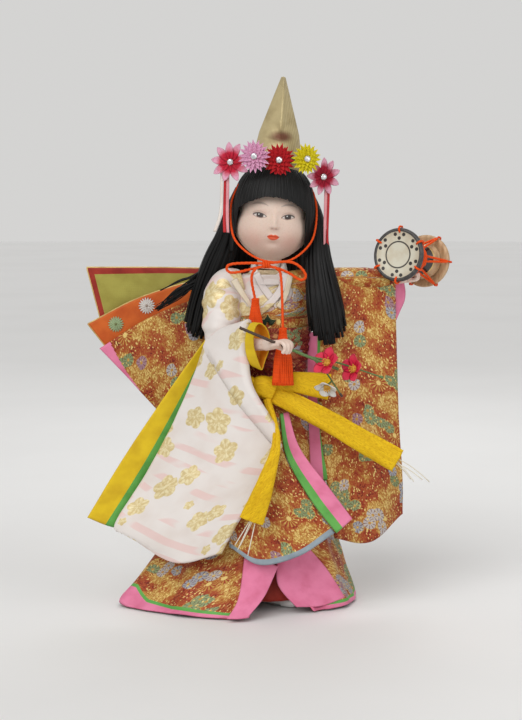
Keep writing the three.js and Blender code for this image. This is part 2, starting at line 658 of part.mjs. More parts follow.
/** The bow: two drooping loops and the knot between them. */
function cordBow() {
  const rightLoop = cord(
    [fromKnot(0, 0, 0.6), fromKnot(-10, -1, 2), fromKnot(-24, -1, 1), fromKnot(-25.5, 0, -1.6),
      fromKnot(-12, 1.2, -1.6), fromKnot(0, 0.6, -0.6)], CORD_RADIUS, { steps: 14 });
  const leftLoop = cord(
    [fromKnot(0, 0, 0.6), fromKnot(12, -1, 1.4), fromKnot(20, -1, -1.5), fromKnot(24, 0, -8),
      fromKnot(21, 1, -8.6), fromKnot(11, 1.2, -3), fromKnot(0, 0.6, -0.6)], CORD_RADIUS, { steps: 16 });
  const size = [CORD_KNOT_RADIUS, CORD_KNOT_RADIUS];
  const tie = bar([fromKnot(-2.4, 0, 0), fromKnot(2.4, 0, 0)], [size, size], { sides: 8, steps: 1 });
  return tie.add(rightLoop).add(leftLoop);
}

/** A tail of the cord from the knot with its tassel, which lies on the obi or on the sash's bow. */
function tassel(side, top, lean) {
  const [x, y, z] = fromKnot(...top);
  const start = fromKnot(side * 1.5, 0, -CORD_KNOT_RADIUS - SEAT_GAP);
  const halfway = [lerp(start[0], x, 0.6), lerp(start[1], y, 0.4), lerp(start[2], z, 0.5)];
  const tail = cord([start, halfway, [x, y, z]], CORD_RADIUS, { steps: 8 });
  const at = (share, width, depth) => [x, y + lean * share, z - TASSEL_LENGTH * share, width, depth];
  const skirt = loft(
    [at(-0.06, 1.4, 1.2), at(0.06, 2.6, 1.8),
      at(0.4, TASSEL_HALF_WIDTH * 0.75, TASSEL_HALF_DEPTH * 0.85),
      at(1, TASSEL_HALF_WIDTH, TASSEL_HALF_DEPTH)],
    { sides: 10, rings: 5 });
  return tail.add(skirt);
}

// Bodices, collar, obi and sash round the body

const above = (height) => block([-200, -200, height], [200, 200, 500]);
const under = (height) => block([-200, -200, -100], [200, 200, height]);
const neckHole = (grow) => moved(neck(grow), headFrame);

const whiteBodiceInner = CLEARANCE;
const brocadeBodiceInner = whiteBodiceInner + BODICE_THICKNESS + CLEARANCE;
const obiInner = brocadeBodiceInner + BODICE_THICKNESS + CLEARANCE;
const insideBodices = bodyShape(obiInner);
const bodiceTop = NECK_HEIGHT - 3;
const obiBack = BODY_Y + WAIST_HALF_DEPTH + obiInner + OBI_THICKNESS + OBI_WIDENING * 0.4;
const obiBackTop = [BODY_X, obiBack, OBI_TOP];
const neckFoot = [NECK_X, NECK_Y, NECK_HEIGHT];

/** A layer of cloth round the body between two heights. */
function layer(inner, thickness, low, high, cutters) {
  return trimmed(bodyShape(inner + thickness), bodyShape(inner), under(low), above(high), ...cutters);
}

/** Everything on the doll's right of the brocade's slanting front edge. */
function shedSide() {
  const edge = new THREE.Shape([
    new THREE.Vector2(12, 230), new THREE.Vector2(9, 207), new THREE.Vector2(-30, 156),
    new THREE.Vector2(-80, 150), new THREE.Vector2(-80, 230),
  ]);
  const prism = new THREE.ExtrudeGeometry(edge, { depth: 200, bevelEnabled: false });
  prism.rotateX(Math.PI / 2);
  prism.translate(0, 100, 0);
  return solidOf(prism);
}

/** A plug at the waist that stands off it by an offset, wider towards its top. */
function waistPlug(offset, low, high, widening) {
  const width = WAIST_HALF_WIDTH + offset;
  const depth = WAIST_HALF_DEPTH + offset;
  return loft(
    [[BODY_X, BODY_Y, low, width, depth],
      [BODY_X, BODY_Y, high, width + widening, depth + widening * 0.4]],
    { sides: 20, rings: 1 });
}

/** The collar's outside, round the neck. */
function neckCollarPlug(grow = 0, low = NECK_HEIGHT - 9, high = NECK_HEIGHT + 4) {
  const radius = NECK_RADIUS + CLEARANCE + 1 + COLLAR_THICKNESS + grow;
  return loft([[NECK_X, NECK_Y - 1, low - grow, radius + 3, radius + 1.5],
    [NECK_X, NECK_Y + 1, high + grow, radius, radius]], { sides: 14, rings: 1 });
}

/** A collar round the neck, low in front where the robes cross. */
function neckCollar() {
  const hollow = neckCollarPlug(-COLLAR_THICKNESS, NECK_HEIGHT - 12, NECK_HEIGHT + 8);
  const band = neckCollarPlug().subtract(hollow);
  const throat = bar([[NECK_X, -30, NECK_HEIGHT + 5], [NECK_X, 0, NECK_HEIGHT + 5]],
    [[9, 8], [5, 4]], { sides: 4, steps: 1 });
  const worn = insideBodices.subtract(above(bodiceTop + CLEARANCE));
  return trimmed(band, throat, neckHole(RUNNING_GAP), bodyShape(CLEARANCE), worn);
}

// Sleeves

const rightUpperSleeve = (grow = 0) => bar(
  hungFrom(RIGHT_SHOULDER, [[[2, -1, 0], [-9, -2, -3], [-11, -9, -19], [-11, -13, -35]]])[0],
  [[9, 9], [11.5, 11], [12, 12], [10.5, 12]], { sides: 12, steps: 6, up: [0, 1, 0.2], grow });

const rightSleeveNet = hungFrom(RIGHT_ELBOW, [
  [[-4, 5, 4], [8, -6, 11], [22, -19, 17]],
  [[-22, 2, -37], [1, -12, -30], [26, -25, -19]],
  [[-42, -2, -75], [-12, -17, -71], [38, -29, -54]],
  [[-53, -6, -110], [-24, -20, -121], [18, -31, -107]],
  [[-48, -7, -117], [-16, -22, -131], [8, -30, -127]],
]);
const rightSleeve = (grow = 0) => cloth(rightSleeveNet, {
  thickness: [SLEEVE_TOP_THICKNESS, SLEEVE_HEM_THICKNESS], across: 6, along: 9, grow,
  fold: { count: 1.1, depth: 1.6, phase: 0.8 },
});

/** The linings that show past the sleeve's open edge, green and then yellow. */
const rightSleeveLining = () => cloth(hungFrom(RIGHT_ELBOW, [
  [[-8.5, 8, 3], [-4.5, 8, 3], [-0.5, 7, 3]],
  [[-38, 4, -34], [-30, 3, -38], [-19, 1, -42]],
  [[-62, -2, -71], [-52, -3, -76], [-38, -5, -80]],
  [[-78, -8, -107], [-65, -9, -112], [-48, -10, -118]],
]), { thickness: LINING_THICKNESS, across: 3, along: 8 });

/** The outside of the sleeve's mouth, round the forearm. */
function rightCuffTube(grow = 0, overrun = 0) {
  const inward = forearm(RIGHT_WRIST, RIGHT_ELBOW);
  const at = (distance) => point(RIGHT_WRIST).addScaledVector(inward, distance).toArray();
  const size = [CUFF_HALF_WIDTH, CUFF_HALF_HEIGHT];
  return bar([at(CUFF_LENGTH + overrun), at(CUFF_START - overrun)], [size, size],
    { sides: 12, steps: 1, grow });
}

/** The sleeve's mouth: a lined tube open at both ends. */
const rightCuff = () => rightCuffTube().subtract(rightCuffTube(-LINING_THICKNESS / 2, 4));

const leftSleeve = (grow = 0) => cloth(hungFrom(LEFT_WRIST, [
  [[-43, -3, 2], [-17, 1, 7], [2, 0, 0]],
  [[-45, -9, -34], [-19, -3, -32], [3, 1, -34]],
  [[-46, -15, -81], [-19, -9, -86], [5, 1, -86]],
  [[-41, -19, -126], [-15, -11, -130], [8, 3, -126]],
  [[-36, -21, -160], [-15, -13, -164], [9, 5, -150]],
]), {
  thickness: [SLEEVE_TOP_THICKNESS, SLEEVE_HEM_THICKNESS], across: 6, along: 9, grow,
  fold: { count: 1.3, depth: 1.8 },
});

const leftSleeveLining = () => cloth(hungFrom(LEFT_WRIST, [
  [[-56, -16, -56], [-46.4, -14, -56]],
  [[-56, -18, -86], [-46.8, -16.5, -86]],
  [[-54, -20, -114], [-43.6, -18.5, -114]],
]), { thickness: LINING_THICKNESS, across: 2, along: 6 });

const shedSleeve = () => cloth(hungFrom(obiBackTop, [
  [[-106, -4, -12], [-74, -6, 4], [-32, -7, 18]],
  [[-89, -4, -30], [-66, -7, -20], [-32, -10, -12]],
  [[-70, -5, -51], [-54, -9, -46], [-34, -12, -42]],
]), { thickness: CLOTH_THICKNESS * 1.5, across: 8, along: 6, fold: { count: 1.2, depth: 1.5 } });

// Obi bow behind the back

const obiKnot = (grow = 0) => loft(
  [[BODY_X, obiBack + 3, OBI_TOP - 14, 9, 3.5], [BODY_X, obiBack + 4.5, OBI_TOP + 10, 7, 4.5],
    [BODY_X, obiBack + 4.5, OBI_TOP + 27, 9, 3.5]],
  { sides: 12, rings: 5, grow });
const bowLeftPanel = () => cloth(hungFrom(obiBackTop, [
  [[-115, 11, 39], [-64, 9, 39], [-6, 3, 28]],
  [[-106, 10, 4], [-60, 7, 10], [-6, 3, 14]],
]), { thickness: CLOTH_THICKNESS * 1.5, across: 8, along: 4 });
const bowLeftFold = (grow = 0) => cloth(hungFrom(obiBackTop, [
  [[-114, 4, 3], [-78, 3, 16], [-34, 0.5, 27], [-7, -0.2, 18]],
  [[-103, 3, -11], [-72, 2, 3], [-34, 0, 14], [-7, -0.5, 6]],
]), { thickness: CLOTH_THICKNESS * 1.5, across: 9, along: 4, grow });
const bowRightWing = () => cloth(hungFrom(obiBackTop, [
  [[6, 3, 26], [42, 8, 30], [73, 10, 25]],
  [[6, 2, 8], [42, 7, -1], [75, 9, -8]],
]), { thickness: CLOTH_THICKNESS * 2, across: 8, along: 4, fold: { count: 0.8, depth: 1.2 } });

// Skirts and front drape

// Where the robe's hem lies on the floor, from its front edge on the doll's right round the back
const hemLine = [
  [-16, -42], [-31, -43], [-64, -31], [-97, -7], [-80, 30], [-40, 50], [0, 54], [36, 43], [53, 14],
  [42, -12], [24, -25],
];
const SKIRT_OPENING_START = THREE.MathUtils.degToRad(-92);
const SKIRT_SWEEP = THREE.MathUtils.degToRad(-354);

/** The robe's skirt: wrapped at the waist, open in front, spread to the hem on the floor. */
function robeSkirt(grow = 0) {
  const onFloor = hemLine.map(([x, y]) => new THREE.Vector3(x, y, CLOTH_THICKNESS / 2));
  const hem = new THREE.CatmullRomCurve3(onFloor);
  const round = (angle, width, depth) => new THREE.Vector3(
    BODY_X + width * Math.cos(angle), BODY_Y + depth * Math.sin(angle), SKIRT_TOP);
  const place = (u, v) => {
    const angle = SKIRT_OPENING_START + SKIRT_SWEEP * u;
    const waist = round(angle, WAIST_HALF_WIDTH + SKIRT_STAND_OFF, WAIST_HALF_DEPTH + SKIRT_STAND_OFF);
    const hip = round(angle, HIP_HALF_WIDTH + SKIRT_HIP_EASE, HIP_HALF_DEPTH + SKIRT_HIP_EASE);
    const settled = waist.lerp(hip, Math.min(1, v / SKIRT_HIP_SHARE));
    const foot = hem.getPoint(u);
    const edge = Math.max(0, Math.abs(2 * u - 1) - 0.8) / 0.2;
    const flare = v ** lerp(SKIRT_FLARE, SKIRT_EDGE_FLARE, edge);
    return new THREE.Vector3(
      lerp(settled.x, foot.x, flare), lerp(settled.y, foot.y, flare), lerp(SKIRT_TOP, foot.z, v));
  };
  return trimmed(
    sheet(place, {
      thickness: CLOTH_THICKNESS, across: 28, along: 7, grow,
      fold: { count: SKIRT_FOLD_COUNT, depth: SKIRT_FOLD_DEPTH },
    }),
    under(0));
}

/** The red robe under it, a plain tube round the legs. */
const underSkirt = () => {
  const tube = (offset, low, high) => loft(
    [[BODY_X, BODY_Y, low, HIP_HALF_WIDTH + 3 + offset, HIP_HALF_DEPTH + 3 + offset],
      [BODY_X, BODY_Y, high, HIP_HALF_WIDTH + offset, HIP_HALF_DEPTH + offset]], { sides: 18, rings: 1 });
  return tube(BODICE_THICKNESS + CLEARANCE, UNDER_SKIRT_BOTTOM, UNDER_SKIRT_TOP)
    .subtract(tube(CLEARANCE, UNDER_SKIRT_BOTTOM - 5, UNDER_SKIRT_TOP + 5));
};

const frontDrapeNet = [
  [[-24, -24, 132], [-14, -25.5, 132], [-4, -26, 131], [4, -25.5, 126]],
  [[-28, -31, 95], [-12, -34, 92], [4, -36, 92], [16, -35, 98]],
  [[-30, -34, 62], [-12, -38, 58], [10, -41, 58], [31, -39, 74]],
  [[-28, -36, 44], [-10, -41, 34], [16, -43, 41], [43, -39, 50]],
];
const frontDrape = (grow = 0) => cloth(frontDrapeNet, {
  thickness: CLOTH_THICKNESS * 1.4, across: 7, along: 8, grow, fold: { count: 1.2, depth: 1.4 },
});
const frontDrapeLining = () => cloth([
  [[4.8, -25.5, 126], [9, -25, 127]],
  [[16.8, -35.2, 98], [25, -34, 103]],
  [[31.8, -39.2, 74], [41, -38, 80]],
  [[43.8, -39.2, 50], [53, -37, 60]],
], { thickness: LINING_THICKNESS, across: 2, along: 8 });

/** The pink lining turned back at the robe's two front corners. */
const hemFlapLeft = () => cloth([
  [[20, -19.5, 41], [11, -22.8, 42], [3, -25, 38]],
  [[33, -16, 25], [20, -22.2, 22], [9, -26, 20]],
  [[44, -13.5, 6], [30, -21, 3], [19.5, -27, 3]],
], { thickness: CLOTH_THICKNESS, across: 6, along: 6 });
const hemFlapRight = () => cloth([
  [[-1, -29, 36], [-11, -30, 36]],
  [[-7, -34.8, 17], [-22, -37.3, 15]],
  [[-15, -44.2, 2.5], [-32, -45, 2]],
], { thickness: CLOTH_THICKNESS, across: 4, along: 6 });

// Sash: band, bow and two stuffed tails

const sashInner = Math.max(obiInner + OBI_THICKNESS, SKIRT_STAND_OFF + 3) + CLEARANCE;
const sashFront = BODY_Y - WAIST_HALF_DEPTH - sashInner - SASH_THICKNESS - 1.5;
const sashKnot = [-8, sashFront - 5, (SASH_BOTTOM + SASH_TOP) / 2 + 2];
const bySash = (x, y, z) => [sashKnot[0] + x, sashKnot[1] + y, sashKnot[2] + z];

/** The sash's bow: the tie in front and a stuffed loop to each side of it. */
function sashBow(grow = 0) {
  const tie = bar([bySash(-6, 0, -4), bySash(0, -1, 0), bySash(6, 0, -4)], [[4, 5], [5, 6.5], [4, 5]],
    { sides: 10, steps: 6, grow });
  const rightLoop = bar([bySash(-3, -1, 0), bySash(-10, -1, 2), bySash(-14, 0, -6), bySash(-7, 0, -12)],
    [[3, 4], [3.6, 4], [3.6, 4], [2.5, 3]], { sides: 8, steps: 8, up: [0, 1, 0], grow });
  const leftLoop = bar([bySash(3, 0, 0), bySash(20, -1, 6), bySash(42, -1, 6)],
    [[3, 4], [3.4, 6], [3, 7.5]], { sides: 10, steps: 6, grow });
  return tie.add(rightLoop).add(leftLoop);
}
const sashTailLeft = () => bar(
  [bySash(7.5, -1, -5.5), bySash(35, -7, -19), bySash(82, -8, -46)],
  [[3, 5.5], [3.6, 6.5], [3.4, 7.5]], { sides: 10, steps: 7, up: [0.5, 0, 0.86] });
const sashTailRight = () => bar(
  [bySash(2, -5, -13), bySash(4, -22, -27), bySash(-2, -27, -52), bySash(-8, -27, -78)],
  [[3.5, 3], [4.5, 3], [6.5, 3], [8, 3]], { sides: 10, steps: 8, up: [0, 1, 0.2] });

// Long hair that lies on the body

const hairCut = () => moved(block([-90, -90, HAIR_CAP_BOTTOM - SEAT_GAP], [90, 90, 200]), headFrame);
const hairFallRight = () => bar(
  hungFrom(neckFoot, [[[-23, 2, 20], [-26, 6, 2], [-37, 10, -22], [-44, 11, -43]]])[0],
  [[6, 8], [7.5, 8], [8, 6], [7.5, 5]], { sides: 12, steps: 8, up: [0, 1, 0.3] });
const hairFallLeft = () => bar(
  hungFrom(neckFoot, [[[30, -6, 22], [30.5, -11, 4], [34, -19, -18], [38, -22, -44]]])[0],
  [[6, 8], [8, 6.5], [11, 5], [12, 4.5]], { sides: 12, steps: 8, up: [0, 1, -0.1] });
const hairFallBack = () => bar(
  hungFrom(neckFoot, [[[1, 20, 22], [0, 29, 2], [-2, 41.5, -16], [-3, 43, -52]]])[0],
  [[18, 5], [19, 4.5], [19, 3.5], [16, 3]], { sides: 14, steps: 10, up: [0, 1, 0.6] });

// Drum, in a frame with its axis along +Z and its front skin at z = 0

const drumAxis = point(DRUM_AXIS).normalize();
const drumFrame = new THREE.Matrix4().compose(
  point(DRUM_FRONT).add(point(LEFT_WRIST)),
  new THREE.Quaternion().setFromUnitVectors(new THREE.Vector3(0, 0, 1), drumAxis),
  new THREE.Vector3(1, 1, 1));

/** A turned solid about Z from its half outline. */
function turned(outline, segments = 18) {
  const lathe = new THREE.LatheGeometry(outline.map(([r, z]) => new THREE.Vector2(r, z)), segments);
  lathe.rotateX(Math.PI / 2);
  return solidOf(closedGeometryOf(lathe));
}

/** A lathe's geometry with its seam merged and its faces turned out. */
function closedGeometryOf(lathe) {
  const bare = new THREE.BufferGeometry();
  bare.setAttribute("position", lathe.getAttribute("position"));
  bare.setIndex(lathe.index);
  const merged = mergeVertices(bare, 1e-4);
  const place = merged.getAttribute("position");
  const points = Array.from(
    { length: place.count }, (_, i) => new THREE.Vector3().fromBufferAttribute(place, i));
  const corners = Array.from(merged.index.array);
  const triangles = [];
  for (let i = 0; i < corners.length; i += 3) {
    const [a, b, c] = corners.slice(i, i + 3);
    if (a !== b && b !== c && a !== c) {
      triangles.push([a, b, c]);
    }
  }
  return closedGeometry(points, triangles);
}

const drumCupStart = DRUM_HEAD_THICKNESS + SEAT_GAP;
const drumCupEnd = DRUM_LENGTH - drumCupStart;
const drumBody = () => turned([
  [0, drumCupStart], [DRUM_CUP_RADIUS, drumCupStart], [DRUM_CUP_RADIUS * 0.97, drumCupStart + 3],
  [DRUM_WAIST_RADIUS * 1.4, DRUM_LENGTH * 0.34], [DRUM_WAIST_RADIUS, DRUM_LENGTH * 0.42],
  [DRUM_WAIST_RADIUS, DRUM_LENGTH * 0.58], [DRUM_WAIST_RADIUS * 1.4, DRUM_LENGTH * 0.66],
  [DRUM_CUP_RADIUS * 0.97, drumCupEnd - 3], [DRUM_CUP_RADIUS, drumCupEnd], [0, drumCupEnd],
]);
const drumHead = (start) => turned([
  [0, start + 0.6], [DRUM_HEAD_RADIUS - 2.4, start + 0.6], [DRUM_HEAD_RADIUS - 1.6, start],
  [DRUM_HEAD_RADIUS - 0.4, start + 0.3], [DRUM_HEAD_RADIUS, start + DRUM_HEAD_THICKNESS / 2],
  [DRUM_HEAD_RADIUS - 0.4, start + DRUM_HEAD_THICKNESS - 0.3],
  [DRUM_HEAD_RADIUS - 1.6, start + DRUM_HEAD_THICKNESS],
  [DRUM_HEAD_RADIUS - 2.4, start + DRUM_HEAD_THICKNESS - 0.6], [0, start + DRUM_HEAD_THICKNESS - 0.6],
]);

/** The room that the laced drum takes up, with a clearance round it. */
const drumRoom = () => {
  const rim = DRUM_HEAD_RADIUS + 2 * DRUM_LACE_RADIUS + RUNNING_GAP + CLEARANCE;
  const waist = DRUM_LACE_WAIST + 2 * DRUM_LACE_RADIUS + RUNNING_GAP;
  return turned([
    [0, -CLEARANCE], [rim, -CLEARANCE], [rim, DRUM_LENGTH * 0.16], [waist, DRUM_LENGTH * 0.45],
    [waist, DRUM_LENGTH * 0.55], [rim, DRUM_LENGTH * 0.84], [rim, DRUM_LENGTH + CLEARANCE],
    [0, DRUM_LENGTH + CLEARANCE],
  ]);
};

/** One endless lace that zigzags between the rims and is drawn in at the waist. */
function drumLacing() {
  const rim = DRUM_HEAD_RADIUS + DRUM_LACE_RADIUS + RUNNING_GAP;
  const path = [];
  for (let i = 0; i < DRUM_LACE_COUNT; i++) {
    const turn = (2 * Math.PI) / DRUM_LACE_COUNT;
    const at = (radius, share, z) => {
      const angle = turn * (i + share);
      return [radius * Math.cos(angle), radius * Math.sin(angle), z];
    };
    path.push(at(rim, 0, DRUM_HEAD_THICKNESS / 2), at(DRUM_LACE_WAIST, 0.25, DRUM_LENGTH / 2),
      at(rim, 0.5, DRUM_LENGTH - DRUM_HEAD_THICKNESS / 2), at(DRUM_LACE_WAIST, 0.75, DRUM_LENGTH / 2));
  }
  const line = new THREE.CatmullRomCurve3(path.map(point), true, "catmullrom", 0.3);
  const sides = 5;
  const steps = DRUM_LACE_COUNT * 10;
  const frames = line.computeFrenetFrames(steps, true);
  const points = [];
  const triangles = [];
  for (let s = 0; s < steps; s++) {
    const middle = line.getPointAt(s / steps);
    for (let i = 0; i < sides; i++) {
      const angle = (2 * Math.PI * i) / sides;
      points.push(middle.clone()
        .addScaledVector(frames.normals[s], DRUM_LACE_RADIUS * Math.cos(angle))
        .addScaledVector(frames.binormals[s], DRUM_LACE_RADIUS * Math.sin(angle)));
      const [a, b] = [s * sides + i, s * sides + ((i + 1) % sides)];
      const ahead = (k) => (k + sides) % (steps * sides);
      triangles.push([a, b, ahead(b)], [a, ahead(b), ahead(a)]);
    }
  }
  return solidOf(closedGeometry(points, triangles));
}

// Branch: a straight stem with two twigs, and its blossoms

const stemWay = point(STEM_SLOPE).normalize();
const alongStem = (distance, x = 0, y = 0, z = 0) => point(RIGHT_WRIST).add(point(STEM_START))
  .addScaledVector(stemWay, distance)
  .add(new THREE.Vector3(x, y, z)).toArray();
const stemRod = (grow = 0) => cord(
  [alongStem(-grow), alongStem(STEM_LENGTH + grow)], STEM_RADIUS + grow, { sides: 8, steps: 1 });
const twig = (path, grow) => cord(path, TWIG_RADIUS + grow, { steps: 6 });
const branchStem = (grow = 0) => stemRod(grow)
  .add(twig([alongStem(44), alongStem(62, 2, 1, 3), alongStem(92, 0, 3, 6)], grow))
  .add(twig([alongStem(48), alongStem(56, 0, 0, -5), alongStem(68, -2, 1, -14)], grow));

// Blossoms: distance along the stem, offset from it, how each faces, size and colour
const [roseRed, ivory] = [0xd81b4a, 0xf2f0e6];
const blossoms = [
  { name: "inner", along: 55, offset: [2, -2.8, 0.5], face: [0.5, -0.86, 0.1], radius: 11, colour: roseRed },
  { name: "outer", along: 74, offset: [0.5, -1.2, 6], face: [0.7, -0.7, 0.1], radius: 10, colour: roseRed },
  { name: "white", along: 60, offset: [-1, -1.6, -12], face: [-0.2, -0.8, -0.5], radius: 7.5, colour: ivory },
];

// Assembly

const doll = new THREE.Group();
const headGroup = new THREE.Group();
headGroup.applyMatrix4(headFrame);
const drumGroup = new THREE.Group();
drumGroup.applyMatrix4(drumFrame);
doll.add(headGroup, drumGroup);

const finish = {
  wood: { color: 0xb08a5a, roughness: 0.7 },
  straw: { color: 0xc9b184, roughness: 0.95 },
  sock: { color: 0xf1efe8, roughness: 0.8 },
  skin: { color: 0xf0dccb, roughness: 0.45 },
  hair: { color: 0x111111, roughness: 0.4 },
  gold: { color: 0xc9a869, roughness: 0.35, metalness: 0.6 },
  wire: { color: 0x3b5a2c, roughness: 0.7 },
  orange: { color: 0xe8561a, roughness: 0.7 },
  satin: { color: 0xe9dfe0, roughness: 0.4 },
  brocade: { color: 0xb4592a, roughness: 0.55 },
  yellow: { color: 0xe5bd1a, roughness: 0.75 },
  pink: { color: 0xea6fae, roughness: 0.7 },
  olive: { color: 0x9c9a4a, roughness: 0.75 },
  red: { color: 0xa81e1e, roughness: 0.75 },
  cup: { color: 0xc79a6b, roughness: 0.5 },
  skinHead: { color: 0xe6e2d2, roughness: 0.6 },
};

/** Adds a named piece to a group. */
function add(group, name, solid, look) {
  const mesh = new THREE.Mesh(geometryOf(solid), new THREE.MeshStandardMaterial(look));
  mesh.name = name;
  group.add(mesh);
  return mesh;
}

const wornOnBody = [rightArm(CLEARANCE), leftArm(CLEARANCE)];
const pegInBody = moved(neckPeg(RUNNING_GAP), headFrame);
const legs = [rightLeg(CLEARANCE), leftLeg(CLEARANCE)];
add(doll, "torso_core", trimmed(bodyShape(), pegInBody, neckHole(RUNNING_GAP), ...legs, ...wornOnBody),
  finish.straw);
add(doll, "leg_right", rightLeg(), finish.sock);
add(doll, "leg_left", trimmed(leftLeg(), rightLeg(CLEARANCE)), finish.sock);
add(doll, "arm_right", rightArm(), finish.straw);
add(doll, "arm_left", leftArm(), finish.straw);

// Robes on the body, each cut clear of what it is worn over
add(doll, "neck_collar", neckCollar(), finish.satin);
add(doll, "white_bodice", layer(whiteBodiceInner, BODICE_THICKNESS, OBI_BOTTOM, bodiceTop,
  [neckHole(CLEARANCE), ...wornOnBody]), finish.satin);
add(doll, "brocade_bodice", layer(brocadeBodiceInner, BODICE_THICKNESS, OBI_BOTTOM, bodiceTop,
  [neckHole(CLEARANCE), shedSide(), ...wornOnBody]), finish.brocade);
const obiPlug = (grow = 0) => waistPlug(
  obiInner + OBI_THICKNESS + grow, OBI_BOTTOM - grow, OBI_TOP + grow, OBI_WIDENING);
add(doll, "obi", trimmed(obiPlug(), insideBodices, ...wornOnBody), finish.orange);
const sashPlug = (grow = 0) => waistPlug(
  sashInner + SASH_THICKNESS + grow, SASH_BOTTOM - grow, SASH_TOP + grow, 0);
const sashHole = waistPlug(sashInner, SASH_BOTTOM - 5, SASH_TOP + 5, 0);
add(doll, "sash_band", sashPlug().subtract(sashHole), finish.yellow);

add(doll, "under_skirt", trimmed(underSkirt(), ...legs), finish.red);
add(doll, "robe_skirt",
  trimmed(robeSkirt(), sashPlug(CLEARANCE).subtract(sashHole), ...legs), finish.brocade);

// Sleeves
add(doll, "right_cuff", trimmed(rightCuff(), rightArm(CLEARANCE)), finish.yellow);
add(doll, "right_upper_sleeve",
  trimmed(rightUpperSleeve(), insideBodices, obiPlug(CLEARANCE), ...wornOnBody), finish.satin);
add(doll, "right_sleeve", trimmed(rightSleeve(), rightUpperSleeve(CLEARANCE), rightCuffTube(CLEARANCE),
  obiPlug(CLEARANCE), sashPlug(CLEARANCE), sashBow(CLEARANCE), ...wornOnBody), finish.satin);
add(doll, "right_sleeve_lining",
  trimmed(rightSleeveLining(), rightSleeve(RUNNING_GAP), rightUpperSleeve(CLEARANCE)), finish.yellow);
add(doll, "left_sleeve", trimmed(leftSleeve(), wristRoom(LEFT_ELBOW, LEFT_WRIST), insideBodices,
  obiPlug(CLEARANCE), ...wornOnBody), finish.brocade);
add(doll, "left_sleeve_lining",
  trimmed(leftSleeveLining(), leftSleeve(CLEARANCE), obiPlug(CLEARANCE)), finish.pink);
add(doll, "shed_sleeve",
  trimmed(shedSleeve(), obiPlug(CLEARANCE), insideBodices, rightUpperSleeve(CLEARANCE)), finish.brocade);

add(doll, "obi_bow_knot", trimmed(obiKnot(), obiPlug(CLEARANCE), insideBodices), finish.orange);
add(doll, "obi_bow_left_panel",
  trimmed(bowLeftPanel(), obiKnot(CLEARANCE), bowLeftFold(CLEARANCE)), finish.olive);
add(doll, "obi_bow_left_fold",
  trimmed(bowLeftFold(), obiKnot(CLEARANCE), obiPlug(CLEARANCE), insideBodices), finish.orange);
add(doll, "obi_bow_right_wing", trimmed(bowRightWing(), obiKnot(CLEARANCE)), finish.orange);

add(doll, "front_drape",
  trimmed(frontDrape(), rightSleeve(CLEARANCE), sashPlug(CLEARANCE), sashBow(CLEARANCE)), finish.brocade);
add(doll, "front_drape_lining",
  trimmed(frontDrapeLining(), frontDrape(CLEARANCE), sashPlug(CLEARANCE)), finish.pink);
add(doll, "hem_flap_left", trimmed(hemFlapLeft(), robeSkirt(CLEARANCE), under(0)), finish.pink);
add(doll, "hem_flap_right", trimmed(hemFlapRight(), robeSkirt(CLEARANCE), under(0)), finish.pink);

add(doll, "sash_bow", trimmed(sashBow(), sashPlug(CLEARANCE)), finish.yellow);
add(doll, "sash_tail_left", trimmed(sashTailLeft(), sashBow(CLEARANCE)), finish.yellow);
add(doll, "sash_tail_right",
  trimmed(sashTailRight(), sashBow(CLEARANCE), frontDrape(CLEARANCE), rightSleeve(CLEARANCE)), finish.yellow);

// Hair on the body
const underHair = [hairCut(), neckCollarPlug(CLEARANCE), rightUpperSleeve(CLEARANCE),
  leftSleeve(CLEARANCE), insideBodices];
add(doll, "hair_fall_right", trimmed(hairFallRight(), ...underHair), finish.hair);
add(doll, "hair_fall_left", trimmed(hairFallLeft(), ...underHair), finish.hair);
add(doll, "hair_fall_back", trimmed(hairFallBack(), obiKnot(CLEARANCE), ...underHair), finish.hair);

// Head
add(headGroup, "head", headShape(), finish.skin);
add(headGroup, "neck_peg", neckPeg(), finish.wood);
add(headGroup, "hair_cap", hairCap(), finish.hair);
add(headGroup, "court_cap", capShape(), finish.gold);
add(headGroup, "flower_band",
  trimmed(headBand(), courtCap(CLEARANCE), skull(HAIR_THICKNESS + CLEARANCE)), finish.wire);
headFlowers.forEach(({ name, colour }, i) => {
  add(headGroup, name, bandFlower(i), { color: colour, roughness: 0.7 }).applyMatrix4(flowerFrame(i));
});
add(headGroup, "chin_cord",
  trimmed(chinCord(), courtCap(CLEARANCE), hairCap(), skull(CLEARANCE)), finish.orange);

// Ribbons and tassels
const lastFlower = headFlowers.length - 1;
add(headGroup, "ribbon_right", ribbon(0), finish.red).applyMatrix4(flowerFrame(0));
add(headGroup, "ribbon_left", ribbon(lastFlower), finish.red).applyMatrix4(flowerFrame(lastFlower));
add(doll, "cord_bow", cordBow(), finish.orange);
add(doll, "tassel_right", tassel(-1, RIGHT_TASSEL_TOP, RIGHT_TASSEL_LEAN), finish.orange);
add(doll, "tassel_left", tassel(1, LEFT_TASSEL_TOP, LEFT_TASSEL_LEAN), finish.orange);

// Hands and what they hold
const fingersUp = [0, 0, 1];
add(doll, "hand_right",
  trimmed(hand(RIGHT_ELBOW, RIGHT_WRIST, fingersUp), stemRod(RUNNING_GAP)), finish.skin);
add(doll, "branch_stem", branchStem(), finish.wire);
for (const { name, along, offset, face, radius, colour } of blossoms) {
  const turn = new THREE.Quaternion().setFromUnitVectors(new THREE.Vector3(0, 0, 1), point(face).normalize());
  const frame = new THREE.Matrix4().makeRotationFromQuaternion(turn);
  frame.setPosition(point(alongStem(along, ...offset)));
  const petals = moved(flower(BLOSSOM_PETALS, radius, radius * 0.45, BLOSSOM_THICKNESS), frame);
  add(doll, `blossom_${name}`, trimmed(petals, branchStem(CLEARANCE)), { color: colour, roughness: 0.7 });
}
add(doll, "hand_left",
  trimmed(hand(LEFT_ELBOW, LEFT_WRIST, fingersUp), moved(drumRoom(), drumFrame)), finish.skin);
